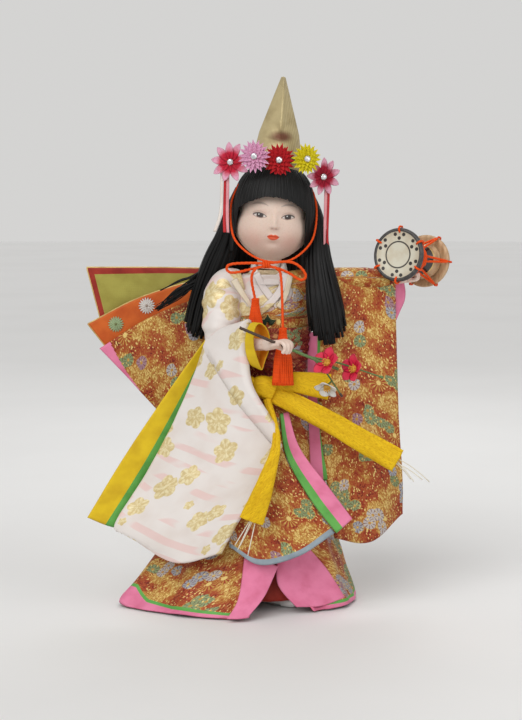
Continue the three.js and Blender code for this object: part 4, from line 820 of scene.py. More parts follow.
@dataclass(frozen=True)
class Foil(Finish):
    """Crinkled metal foil over paper."""

    name: str
    colour: Colour
    deep: Colour
    roughness: float = 0.36
    # place and stretch of a dark brown patch of painted shade, set at the cap's dent
    dark_patch: Place = (0.0, 0.0, -9.0)
    dark_patch_scale: Place = (0.7, 0.7, 1.6)

    def paint(self, graph: Graph) -> None:
        """Adds fine diagonal lines lightened as a painted sheen, dull patches, dents and a dark brown patch
        of painted shade at the cap's dent.
        """
        place = graph.place()
        lines = graph.wave(graph.scaled(place, (1, 0.4, 1), 35), 420, 1.5)
        patches = graph.noise(place, 70, 4)
        colour = graph.mix(graph.between(patches, 0.42, 0.66), self.colour, self.deep)
        # painted sheen: the raised diagonal lines are lightened
        colour = graph.mix(graph.times(lines, 0.22), colour, (0.72, 0.62, 0.38))
        # painted shade: a dark brown patch round the dent place, with a ragged edge
        middle = tuple(part * scale for part, scale in zip(self.dark_patch, self.dark_patch_scale))
        inputs = {0: graph.scaled(place, self.dark_patch_scale), 1: middle}
        away = graph.node("VectorMath", inputs, operation="DISTANCE").outputs["Value"]
        near = graph.math("MULTIPLY_ADD", patches, 0.004, away)
        colour = graph.mix(graph.between(near, 0.0100, 0.0040), colour, (0.13, 0.045, 0.018))
        graph.bump(graph.noise(place, 160, 3), 0.0007, 0.5)
        graph.bump(lines, 0.00012, 0.5)
        rough = graph.math("MULTIPLY_ADD", patches, 0.22, self.roughness - 0.08)
        graph.surface(base_color=colour, metallic=0.35, roughness=rough)


@dataclass(frozen=True)
class Skin(Finish):
    """Matte shell-white face paint with painted features."""

    name: str = "painted_face"

    def paint(self, graph: Graph) -> None:
        """Reads the painted colours and adds a fine powdery grain."""
        painted = graph.node("VertexColor", {}, layer_name="paint").outputs[0]
        grain = graph.noise(graph.place(), 1400, 3)
        colour = graph.mix(graph.between(grain, 0.4, 0.8), painted, (0.93, 0.90, 0.87), "MULTIPLY")
        graph.bump(grain, 0.00006, 0.6)
        graph.surface(base_color=colour, roughness=graph.math("MULTIPLY_ADD", grain, 0.2, 0.42))
        graph.surface(subsurface_weight=0.08, subsurface_scale=0.002)


@dataclass(frozen=True)
class Petal(Finish):
    """Dyed silk petal that changes colour from its root to its tip."""

    name: str
    root: Colour
    middle: Colour
    tip: Colour

    def paint(self, graph: Graph) -> None:
        """Shades along the petal and adds its veins and a few flecks."""
        across, along = graph.split(graph.cloth())
        stray = graph.math("MULTIPLY_ADD", graph.noise(graph.place(), 420, 2), 0.3, -0.15)
        share = graph.math("ADD", along, stray)
        colour = graph.ramp(share, [(0.05, self.root), (0.45, self.middle), (0.78, self.tip)])
        veins = graph.math("SINE", graph.times(across, 42.0))
        colour = graph.mix(graph.between(veins, 0.5, 1.0), colour, graph.mix(0.3, colour, self.root))
        graph.bump(veins, 0.00012, 0.5)
        graph.surface(base_color=colour, roughness=0.55, specular_ior_level=0.2)


@dataclass(frozen=True)
class Braid(Finish):
    """Twisted silk cord or thread."""

    name: str
    colour: Colour
    # deep is the colour of the painted shade between the raised fibres
    deep: Colour

    def paint(self, graph: Graph) -> None:
        """Adds fibres along the cord, darker between the raised fibres as painted shade."""
        fibres = graph.noise(graph.scaled(graph.cloth(), (1, 0.3, 1), 25), 4200, 2)
        # painted shade: the deep colour lies where the fibres dip
        colour = graph.mix(graph.between(fibres, 0.36, 0.66), self.deep, self.colour)
        graph.bump(fibres, 0.00015, 0.7)
        graph.surface(base_color=colour, roughness=0.55, specular_ior_level=0.2)


@dataclass(frozen=True)
class Solid(Finish):
    """Hard or wrapped stuff with a grain along one way: lacquer, wood, wire, bead or straw."""

    name: str
    colour: Colour
    deep: Colour
    grain: Place = (1, 1, 1)
    scale: float = 300
    roughness: float = 0.4
    metallic: float = 0.0
    coat: float = 0.0
    depth: float = 0.0002

    def paint(self, graph: Graph) -> None:
        """Adds the grain in colour, roughness and relief."""
        grain = graph.noise(graph.scaled(graph.place(), self.grain), self.scale, 4)
        colour = graph.mix(graph.between(grain, 0.38, 0.68), self.colour, self.deep)
        graph.bump(grain, self.depth, 0.5)
        rough = graph.math("MULTIPLY_ADD", grain, 0.2, self.roughness - 0.1)
        graph.surface(base_color=colour, roughness=rough, metallic=self.metallic)
        graph.surface(coat_weight=self.coat, coat_roughness=0.08)


@dataclass(frozen=True)
class DrumSkin(Finish):
    """Hide drum head with an inked ring and dots round the lace holes."""

    name: str = "drum_hide"
    colour: Colour = (0.60, 0.57, 0.46)
    ink: Colour = (0.022, 0.017, 0.014)
    radius: float = 0.0143
    holes: int = 6

    def paint(self, graph: Graph) -> None:
        """Inks the ring and the dots, mottles the hide with darker patches and darkens it towards the rim."""
        x, y = graph.split(graph.cloth())
        far = graph.math("DIVIDE", graph.far(x, y), self.radius)
        turn = graph.times(graph.math("ARCTAN2", y, x), self.holes / math.tau)
        turn = graph.times(graph.math("SUBTRACT", turn, graph.math("ROUND", turn)), math.tau / self.holes)
        dark_patch = graph.noise(graph.place(), 160, 4)
        colour = graph.mix(graph.between(dark_patch, 0.4, 0.75), self.colour, (0.54, 0.48, 0.36))
        colour = graph.mix(graph.between(far, 0.7, 1.0), colour, (0.50, 0.44, 0.33))
        ring = graph.times(graph.between(far, 0.52, 0.535), graph.between(far, 0.60, 0.585))
        inked = graph.times(ring, 0.95)
        for reach, side in ((0.87, 0.20), (0.87, -0.20), (0.71, 0.0)):
            down = graph.math("SUBTRACT", graph.times(far, graph.math("COSINE", turn)), reach)
            over = graph.math("SUBTRACT", graph.times(far, graph.math("SINE", turn)), side)
            square = graph.math("ADD", graph.times(down, down), graph.times(over, over))
            inked = graph.math("MAXIMUM", inked, graph.between(square, 0.0078, 0.0050))
        colour = graph.mix(inked, colour, self.ink)
        graph.bump(dark_patch, 0.0002, 0.4)
        graph.surface(base_color=colour, roughness=0.5)


BROCADE = Brocade()
RED_BROCADE = Brocade(
    name="waist_brocade",
    ground=(0.20, 0.014, 0.011),
    dark=(0.09, 0.008, 0.008),
    rust=(0.28, 0.034, 0.017),
    gold=(0.36, 0.10, 0.04),
    bright=(0.54, 0.26, 0.09),
    gold_share=0.36,
    cloud_size=0.0052,
    cloud_share=0.63,
)
SATIN = Satin()
SASH_CREPE = Crepe("yellow_crepe", (0.76, 0.49, 0.012), (0.52, 0.28, 0.006))
YELLOW_SILK = Silk("yellow_silk", (0.72, 0.50, 0.015), (0.57, 0.36, 0.010))
GREEN_SILK = Silk("green_silk", (0.13, 0.40, 0.085), (0.085, 0.29, 0.055))
PINK_SILK = Silk("pink_silk", (0.76, 0.22, 0.37), (0.62, 0.14, 0.25))
RED_SILK = Silk("red_silk", (0.36, 0.035, 0.020), (0.22, 0.014, 0.010))
AMBER_SILK = Silk("amber_silk", (0.76, 0.32, 0.018), (0.56, 0.19, 0.010))
ORANGE_SILK = Silk("orange_silk", (0.60, 0.125, 0.018), (0.46, 0.075, 0.010), 1900, 0.45)
OLIVE_SILK = Silk("olive_gauze", (0.37, 0.33, 0.068), (0.29, 0.25, 0.045), 1700)
GREY_SILK = Silk("blue_grey_silk", (0.30, 0.36, 0.40), (0.20, 0.25, 0.29))
CREAM_SILK = Silk("cream_silk", (0.76, 0.68, 0.53), (0.62, 0.50, 0.34))
WHITE_SILK = Silk("white_silk", (0.74, 0.70, 0.665), (0.66, 0.60, 0.55))
SOCK_COTTON = Silk("sock_cotton", (0.80, 0.79, 0.77), (0.70, 0.68, 0.64), 1500, 0.7)
BLACK_HAIR = Hair()
# the last place is the cap's dent, where the foil takes a dark brown patch of painted shade
GOLD_FOIL = Foil("pale_gold_foil", (0.47, 0.38, 0.19), (0.34, 0.26, 0.115), 0.46, (0.0045, -0.0088, 0.2935))
GOLD_PIPING = Foil("gold_piping", (0.66, 0.46, 0.15), (0.42, 0.25, 0.06), 0.4)
FACE_PAINT = Skin()
ORANGE_BRAID = Braid("orange_braid", (0.86, 0.095, 0.004), (0.64, 0.050, 0.003))
SASH_THREAD = Braid("pale_thread", (0.82, 0.79, 0.70), (0.68, 0.62, 0.48))
BLACK_LACQUER = Solid("black_lacquer", (0.016, 0.011, 0.010), (0.035, 0.022, 0.016), roughness=0.3, coat=0.6)
RIM_LACQUER = Solid("rim_lacquer", (0.035, 0.032, 0.031), (0.065, 0.060, 0.056), scale=500, roughness=0.5)
PALE_WOOD = Solid("pale_wood", (0.55, 0.36, 0.20), (0.40, 0.24, 0.12), (1, 1, 0.1), 500, 0.5)
CORE_WRAP = Solid("straw_wrap", (0.55, 0.44, 0.28), (0.40, 0.30, 0.17), (1, 1, 6), 350, 0.8, depth=0.0008)
GREEN_WRAP = Solid("green_wrapped_wire", (0.115, 0.20, 0.060), (0.065, 0.115, 0.032), (1, 1, 3), 900, 0.65)
BROWN_WRAP = Solid("brown_wrapped_wire", (0.070, 0.036, 0.022), (0.038, 0.020, 0.013), (1, 1, 3), 900, 0.6)
RHINESTONE = Solid("rhinestone", (0.78, 0.78, 0.80), (0.55, 0.56, 0.60), (1, 1, 1), 900, 0.16, 0.85)
PALE_FLOOR = Solid("pale_floor", (0.84, 0.835, 0.825), (0.82, 0.815, 0.805), (1, 1, 1), 4, 0.8, depth=0.0001)
HIDE = DrumSkin()


@dataclass
class Studio:
    """Camera, pale floor, soft lamps and plain surroundings."""

    eye: Place = (-8.75, -1056.8, 270.0)
    downward: float = 6.2
    lens: float = 85.0
    sensor: float = 36.0
    floor_radius: float = 6000.0
    floor_level: float = -0.4
    lamps: tuple = (((760, -640, 520), 800.0, 2.4), ((120, 700, 900), 700.0, 2.2))
    sun: Place = (-420, -800, 900)
    sun_strength: float = 1.85
    sun_spread: float = 50.0
    aim: Place = (-10.0, 0.0, 160.0)
    surround: Colour = (0.84, 0.835, 0.825)
    surround_light: float = 0.42
    backdrop: Colour = (0.66, 0.655, 0.645)

    def camera(self) -> None:
        """Stands the camera at the photograph's viewing angle."""
        data = bpy.data.cameras.new("studio_camera")
        data.lens = self.lens
        data.sensor_fit = "VERTICAL"
        data.sensor_height = self.sensor
        data.clip_end = 50
        camera = bpy.data.objects.new("studio_camera", data)
        camera.location = Vector(self.eye) * MM
        camera.rotation_euler = (math.radians(90 - self.downward), 0, 0)
        bpy.context.scene.collection.objects.link(camera)
        bpy.context.scene.camera = camera

    def floor(self) -> None:
        """Lays the round floor under the doll."""
        form = Form()
        shares = (1, 0.5, 0.2, 0.05, 0.00001)
        outline = [(self.floor_radius * share, self.floor_level) for share in shares]
        form.add_lathe(outline, np.eye(4), 64)
        floor = form.build("pale_floor", [PALE_FLOOR])

    def hang(self, data: bpy.types.Light, place: Sequence[float]) -> None:
        """Hangs one lamp at a place, turned to the doll."""
        lamp = bpy.data.objects.new(data.name, data)
        lamp.location = Vector(place) * MM
        lamp.rotation_euler = (Vector(self.aim) - Vector(place)).to_track_quat("-Z", "Y").to_euler()
        bpy.context.scene.collection.objects.link(lamp)

    def light(self) -> None:
        """Hangs the lamps and the soft daylight."""
        for number, (place, size, power) in enumerate(self.lamps):
            data = bpy.data.lights.new(f"soft_lamp_{number}", "AREA")
            data.shape = "DISK"
            data.size = size * MM
            data.energy = power
            self.hang(data, place)
        data = bpy.data.lights.new("soft_daylight", "SUN")
        data.energy = self.sun_strength
        data.angle = math.radians(self.sun_spread)
        self.hang(data, self.sun)

    def surroundings(self) -> None:
        """Lights the doll with one pale tone and shows another behind it."""
        world = bpy.data.worlds.new("studio")
        bpy.context.scene.world = world
        world.use_nodes = True
        nodes, links = world.node_tree.nodes, world.node_tree.links
        sky = nodes["Background"]
        sky.inputs["Color"].default_value = (*self.surround, 1)
        sky.inputs["Strength"].default_value = self.surround_light
        shown = nodes.new("ShaderNodeBackground")
        shown.inputs["Color"].default_value = (*self.backdrop, 1)
        rays = nodes.new("ShaderNodeLightPath").outputs
        seen = rays["Is Camera Ray"]
        for kind in ("Is Glossy Ray", "Is Transmission Ray"):
            either = nodes.new("ShaderNodeMath")
            either.operation = "MAXIMUM"
            links.new(seen, either.inputs[0])
            links.new(rays[kind], either.inputs[1])
            seen = either.outputs[0]
        blend = nodes.new("ShaderNodeMixShader")
        for socket, way in zip(blend.inputs, (seen, sky.outputs[0], shown.outputs[0])):
            links.new(way, socket)
        links.new(blend.outputs[0], nodes["World Output"].inputs["Surface"])
        bpy.context.scene.view_settings.view_transform = "Standard"

    def build(self) -> None:
        """Sets up the whole studio."""
        self.camera()
        self.floor()
        self.light()
        self.surroundings()


HEAD_LEAN = 4.5
HEAD_TURN = 3.0
NECK = np.array((-4.0, 2.0, 212.0))
KNOT = np.array((-5.5, -24.2, 216.0))


def head_frame() -> np.ndarray:
    """Gives the frame of the head, which leans and turns a little to the doll's left."""
    lean, turn = math.radians(HEAD_LEAN), math.radians(HEAD_TURN)
    matrix = np.eye(4)
    matrix[:3, :3] = np.array(Matrix.Rotation(lean, 3, "Y") @ Matrix.Rotation(turn, 3, "Z"))
    matrix[:3, 3] = NECK
    return matrix


HEAD = head_frame()


@dataclass
class CordWork:
    """Orange silk cord round the face, with its bow, tails and tassels."""

    radius: float = 0.65
    tail_radius: float = 0.8
    twist: float = 2.3
    swell: float = 0.11
    still: Place = (-0.004, 0.002, 0.216)
    turned: Place = (-0.004, 0.002, 0.236)
    route: Points = (
        (-19.5, -4, 56), (-24.4, -5, 47), (-26.6, -6, 36), (-24.4, -14, 20), (-16.5, -22.5, 11.2),
        (-4.5, -26.5, 6.2), (9, -26, 7.0), (18.5, -21.5, 13), (25, -13, 22), (26.6, -6, 36), (24.4, -5, 47),
        (19.5, -4, 56),
    )
    right_loop: Points = (
        (-1.4, 0, 0.7), (-6, -0.7, 1.0), (-10.6, -1, 1.1), (-14.8, -1.1, 1.0), (-18.6, -1, 0.8),
        (-21.4, -0.8, 0.35), (-23.3, -0.5, -0.5), (-24.1, -0.2, -2.2), (-23.3, 0, -3.9), (-21.4, 0.3, -4.75),
        (-18.6, 0.6, -4.7), (-14.8, 0.8, -4.0), (-10.6, 1, -3.0), (-6, 0.9, -1.9), (-1.4, 0.6, -0.9),
    )
    left_loop: Points = (
        (1.4, 0, 0.9), (6, -0.7, 1.5), (10.6, -1, 1.9), (15.2, -1, 1.6), (19.0, -0.9, -0.1),
        (21.8, -0.7, -2.7), (23.5, -0.4, -5.2), (23.9, -0.2, -7.3), (22.7, 0.1, -8.9), (20.7, 0.4, -9.2),
        (18.2, 0.7, -8.0), (14.6, 0.9, -5.6), (10.4, 1, -3.5), (6, 0.9, -2), (1.4, 0.6, -0.9),
    )
    knot_half: Place = (2.1, 1.5, 1.7)
    knot_turns: int = 3
    knot_cord: float = 0.7
    knot_core: Pair = (2.3, 1.3)
    right_top: Place = (-6.7, 2.7, -22.6)
    left_top: Place = (10.0, -8.8, -39.6)
    right_lean: float = -2.5
    left_lean: float = -4.5
    tassel_length: float = 34.0
    tassel_start: float = -0.06
    tassel_width: Points = (
        (-0.06, 1.3, 1.1), (0.06, 2.2, 1.6), (0.2, 3.0, 1.8), (0.5, 5.3, 1.9), (1, 6.6, 2.2),
    )
    strands: int = 130
    strand_radius: float = 0.33
    binding: Pair = (2.1, 1.7)
    binding_turns: int = 5
    binding_radius: float = 0.42

    def cord(self, name: str, path: np.ndarray, radius: float) -> Piece:
        """Makes one three-strand cord along a path."""
        form = Form()
        form.add_tube(path, radius, sides=15, relief=twisted(self.swell, self.twist))
        return form.build(name, [ORANGE_BRAID])

    def chin_cord(self) -> None:
        """Ties the cord from the cap round the face to the chin."""
        path = spline(placed(self.route, HEAD), 420)
        piece = self.cord("chin_cord_braid", path, self.radius)
        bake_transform(piece)
        dress(piece, "cord_orange", "chin_cord")

    def bow(self) -> None:
        """Ties the knot under the chin with its two loops."""
        form = Form()
        wide, deep, tall = self.knot_half
        turns = np.linspace(0, self.knot_turns * math.tau, 120)
        wrap = [np.linspace(-wide, wide, 120), deep * np.cos(turns), tall * np.sin(turns)]
        relief = twisted(self.swell, self.twist)
        form.add_tube(KNOT + np.stack(wrap, axis=-1), self.knot_cord, sides=15, relief=relief)
        reach, radius = self.knot_core
        form.add_tube(KNOT + np.array([(-reach, 0, 0), (0, 0, 0), (reach, 0, 0)]), radius, sides=12)
        settle(form.build("chin_cord_knot", [ORANGE_BRAID]), "figure", "cord_orange", "cord_bow")
        for name, loop in (("right", self.right_loop), ("left", self.left_loop)):
            path = spline(KNOT + np.array(loop), 240)
            piece = settle(self.cord(f"bow_loop_{name}", path, self.tail_radius), "figure", "cord_orange")

    def tassel(self, name: str, side: int, top: Sequence[float], lean: float, seed: int) -> None:
        """Hangs one tail with its tassel.

        Args:
            name: the doll's side.
            side: -1 for the right tail, 1 for the left.
            top: top of the tassel, from the knot.
            lean: how far forward of its top the lower end lies.
            seed: number that picks how the strands fall.
        """
        draw = np.random.default_rng(seed)
        top = np.array(top)
        over = [(1.5 * side, 0, -1.0), (6.4 * side, -1.0, -2.4), (9.0 * side, -0.4, -8.5)]
        bound = top + np.array((0, lean * 0.3, -0.3 * self.tassel_length))
        path = KNOT + spline([*over, top, bound], 150)
        tail = self.cord(f"tassel_tail_{name}", path, self.tail_radius)
        settle(tail, f"tassel_{name}", "cord_orange")
        widths = np.array(self.tassel_width)
        share = np.linspace(self.tassel_start, 1, 26)
        half = np.stack([np.interp(share, widths[:, 0], widths[:, part]) for part in (1, 2)], axis=-1)
        line = KNOT + top + np.stack([0 * share, lean * share, -self.tassel_length * share], axis=-1)
        form = Form()
        form.add_tube(line[:-1], half[:-1] * 0.82, up=(0, 1, 0), sides=20)
        for number in range(self.strands):
            angle = math.tau * number / self.strands + draw.normal() * 0.05
            out = 0.97 if number % 3 else draw.uniform(0.3, 0.9)
            end = draw.uniform(0.94, 1.0)
            keep = share <= end
            stray = 0.14 * np.sin(share[keep] * draw.uniform(4, 9) + draw.uniform(0, 6))
            over = np.cos(angle) * out * half[keep, 0] + stray
            deep = np.sin(angle) * out * half[keep, 1]
            form.add_tube(line[keep] + np.stack([over, deep, 0 * over], axis=-1), self.strand_radius, sides=6)
        wide, deep = self.binding
        turns = np.linspace(0, self.binding_turns * math.tau, 130)
        rise = np.linspace(-0.05, 0.07, 130)
        ring = [wide * np.cos(turns), deep * np.sin(turns) + lean * rise, -self.tassel_length * rise]
        form.add_tube(KNOT + top + np.stack(ring, axis=-1), self.binding_radius, sides=8)
        brush = form.build(f"tassel_brush_{name}", [ORANGE_BRAID])
        settle(brush, f"tassel_{name}", "cord_orange", f"tassel_{name}")

    def build(self) -> None:
        """Makes the cord, the bow and both tassels."""
        self.chin_cord()
        self.bow()
        self.tassel("right", -1, self.right_top, self.right_lean, 3)
        self.tassel("left", 1, self.left_top, self.left_lean, 4)


@dataclass
class Face:
    """Head of moulded shell paste on its neck, with relief and painted features."""

    half: Place = (21.5, 25.0, 26.0)
    middle: float = 33.0
    chin_drop: float = 2.2
    neck_radius: float = 7.5
    neck_top: float = 16.5
    features: float = -0.7
    fine_turn: float = 1.75
    eye: Pair = (8.6, 33.2)
    eye_half: Pair = (4.1, 1.6)
    brow_height: float = 40.9
    nose: Pair = (-0.2, 27.2)
    mouth: Pair = (-0.2, 20.8)
    mouth_half: float = 3.7
    skin: Colour = (0.70, 0.54, 0.45)
    blush: Colour = (0.72, 0.36, 0.29)
    lip: Colour = (0.72, 0.085, 0.018)
    dark: Colour = (0.022, 0.013, 0.011)

    def relief(self, x: np.ndarray, z: np.ndarray) -> np.ndarray:
        """Gives how far the face stands forward of the plain skull.

        Args:
            x: places across the face.
            z: heights on the face.

        Returns:
            The relief at each place.
        """
        nose, rise = x - self.nose[0], z - self.nose[1]
        mouth, lip = x - self.mouth[0], z - self.mouth[1]
        total = 1.9 * mound(nose, np.where(rise > 0, rise / 4.4, rise / 1.5), 2.1, 1.0)
        total = total + 0.8 * mound(nose, z - 33.5, 1.9, 4.5)
        paired = (
            (0.6, nose, 2.1, rise + 0.3, 1.0, 1.1),
            (-0.8, x - self.features, self.eye[0], z - 34.6, 5.2, 3.0),
            (0.45, x - self.features, self.eye[0], z - self.eye[1], 3.6, 1.9),
            (0.9, x - self.features, 11, z - 22, 6.0, 6.0),
        )
        for height, over, apart, up, wide, tall in paired:
            total = total + sum(height * mound(over - side * apart, up, wide, tall) for side in (-1, 1))
        single = (
            (0.75, lip + 0.9, 3.0, 1.1),
            (0.6, lip - 0.9, 3.0, 0.9),
            (-0.35, lip, 3.0, 0.35),
            (0.9, z - 11.8, 5.0, 3.2),
            (-0.5, z - 16.6, 4.0, 1.5),
        )
        for height, up, wide, tall in single:
            total = total + height * mound(mouth, up, wide, tall)
        return total

    def colours(self, x: np.ndarray, z: np.ndarray, front: np.ndarray) -> np.ndarray:
        """Paints the features.

        Args:
            x: places across the face.
            z: heights on the face.
            front: 1 on the face and 0 elsewhere.

        Returns:
            The colour at each place.
        """
        paint = np.broadcast_to(np.array(self.skin), (*x.shape, 3)).copy()

        def lay(colour: Colour, share: np.ndarray) -> None:
            """Lays a colour over the paint by a share at each place."""
            cover = (np.clip(share, 0, 1) * front)[..., None]
            paint[:] = paint * (1 - cover) + np.array(colour) * cover

        for side in (-1, 1):
            self.paint_eye(lay, x, z, side)
        self.paint_mouth(lay, x, z)
        return paint

    def paint_eye(self, lay: Callable, x: np.ndarray, z: np.ndarray, side: int) -> None:
        """Paints the cheek, brow, eye and nostril of one side, with painted shade over the upper lid and a
        painted highlight in the iris.

        Args:
            lay: lays a colour over the paint.
            x: places across the face.
            z: heights on the face.
            side: -1 for the doll's right, 1 for its left.
        """
        t = (x - self.features - side * self.eye[0]) * side
        rise = z - self.eye[1]
        lay(self.blush, 0.34 * mound(t - 2.6, z - 19.0, 6.0, 5.6))
        # painted shade: a soft brown shadow over the upper lid
        lay((0.42, 0.27, 0.21), 0.34 * mound(t, rise - 2.0, 5.2, 1.5))
        arch = self.brow_height - 0.055 * (t - 0.4) ** 2
        thick = 0.62 * np.clip(1 - ((t - 0.2) / 5.4) ** 2, 0, 1) + 0.01
        brow = smooth_step(np.abs(z - arch) / thick, 1.5, 0.4) * (np.abs(t - 0.2) < 5.4)
        lay((0.22, 0.17, 0.15), 0.62 * brow)
        share = np.clip(1 - (t / self.eye_half[0]) ** 2, 0, 1)
        top = self.eye_half[1] * share**0.8 + 0.10 * t
        bottom = -0.72 * self.eye_half[1] * share + 0.08 * t
        inside = (np.abs(t) < self.eye_half[0]) * smooth_step(rise, bottom.min(), bottom.min() + 0.01)
        opened = smooth_step(top - rise, -0.1, 0.15) * smooth_step(rise - bottom, -0.1, 0.15) * inside
        lay((0.66, 0.60, 0.56), opened)
        iris = np.hypot(t + 0.1, rise - 0.25)
        lay((0.045, 0.020, 0.012), opened * smooth_step(iris, 2.3, 1.9))
        lay(self.dark, opened * smooth_step(iris, 1.6, 1.2))
        # painted highlight: a small pale catchlight in the iris
        lay((0.80, 0.78, 0.76), opened * smooth_step(np.hypot(t * side + 0.6, rise - 0.75), 0.45, 0.25))
        lash = 0.30 + 0.16 * smooth_step(t, -2, 3.5)
        lay(self.dark, 0.9 * smooth_step(np.abs(rise - top) / lash, 1.6, 0.7) * (np.abs(t) < 4.2))
        under = smooth_step(np.abs(rise - bottom), 0.42, 0.16) * (np.abs(t) < 4.1)
        lay((0.20, 0.09, 0.06), 0.6 * under)
        crease = smooth_step(np.abs(rise - top - 1.15), 0.4, 0.15) * (np.abs(t) < 4.0)
        lay((0.36, 0.20, 0.15), 0.5 * crease)
        nostril = np.hypot((x - self.nose[0] - side * 1.25) / 1.2, (z - self.nose[1] + 1.35) / 0.6)
        lay((0.32, 0.14, 0.10), 0.6 * smooth_step(nostril, 0.8, 0.3))

    def paint_mouth(self, lay: Callable, x: np.ndarray, z: np.ndarray) -> None:
        """Paints the lips, their parting, a gleam and the shade under them."""
        t = x - self.mouth[0]
        rise = z - self.mouth[1]
        share = np.clip(1 - (t / self.mouth_half) ** 2, 0, 1)
        upper = 1.65 * share**0.75 * (1 - 0.32 * np.exp(-((t / 0.75) ** 2)))
        lower = -2.0 * share**0.8
        lips = smooth_step(upper - rise, -0.15, 0.2) * smooth_step(rise - lower, -0.15, 0.2) * (share > 0)
        lay(self.lip, lips)
        parting = smooth_step(np.abs(rise - 0.05 - 0.012 * t * t), 0.32, 0.1) * (share > 0.02)
        lay((0.34, 0.025, 0.012), 0.75 * parting)
        lay((0.62, 0.20, 0.13), 0.6 * lips * mound(t - 0.3, rise + 1.1, 1.3, 0.45))
        lay((0.50, 0.30, 0.23), 0.4 * mound(t, rise + 3.0, 3.0, 0.8))

    def build(self) -> None:
        """Makes the head with its neck."""
        front = np.linspace(-1, 1, 250)
        behind = np.linspace(self.fine_turn, math.tau - self.fine_turn, 44)[1:-1]
        turn = np.concatenate([front * self.fine_turn, behind])
        polar = np.linspace(0.004, math.pi - 0.004, 250)
        x = np.sin(polar)[:, None] * np.sin(turn)
        y = -np.sin(polar)[:, None] * np.cos(turn)
        z = np.broadcast_to(np.cos(polar)[:, None], x.shape)
        face = smooth_step(-y, -1, 0.4)
        jaw = 1 + 0.19 * np.sin(math.pi * np.maximum(0, -z) ** 0.9) * face
        drop = np.where(z < 0, self.chin_drop * face, 0)
        height = self.middle + z * (self.half[2] + drop)
        grid = np.stack([x * self.half[0] * jaw, y * self.half[1], height], axis=-1)
        shown = smooth_step(-y, 0.15, 0.45)
        grid[..., 1] -= self.relief(grid[..., 0], grid[..., 2]) * shown
        paint = self.colours(grid[..., 0], grid[..., 2], shown)
        form = Form()
        form.add_grid(placed(grid[::-1], HEAD), np.stack([x, z], axis=-1), ring=True)
        throat = np.array([(0, 0, 0.3), (0, 0, 2), (0, 0, 9), (0, -0.6, self.neck_top)])
        form.add_tube(spline(placed(throat, HEAD), 20), self.neck_radius, sides=40)
        piece = form.build("painted_head", [FACE_PAINT])
        layer = piece.data.color_attributes.new("paint", "FLOAT_COLOR", "POINT")
        colours = np.ones((len(piece.data.vertices), 4))
        colours[:, :3] = self.skin
        colours[: x.size, :3] = paint[::-1].reshape(-1, 3)
        layer.data.foreach_set("color", colours.ravel())
        settle(piece, "head", "skin", "head")


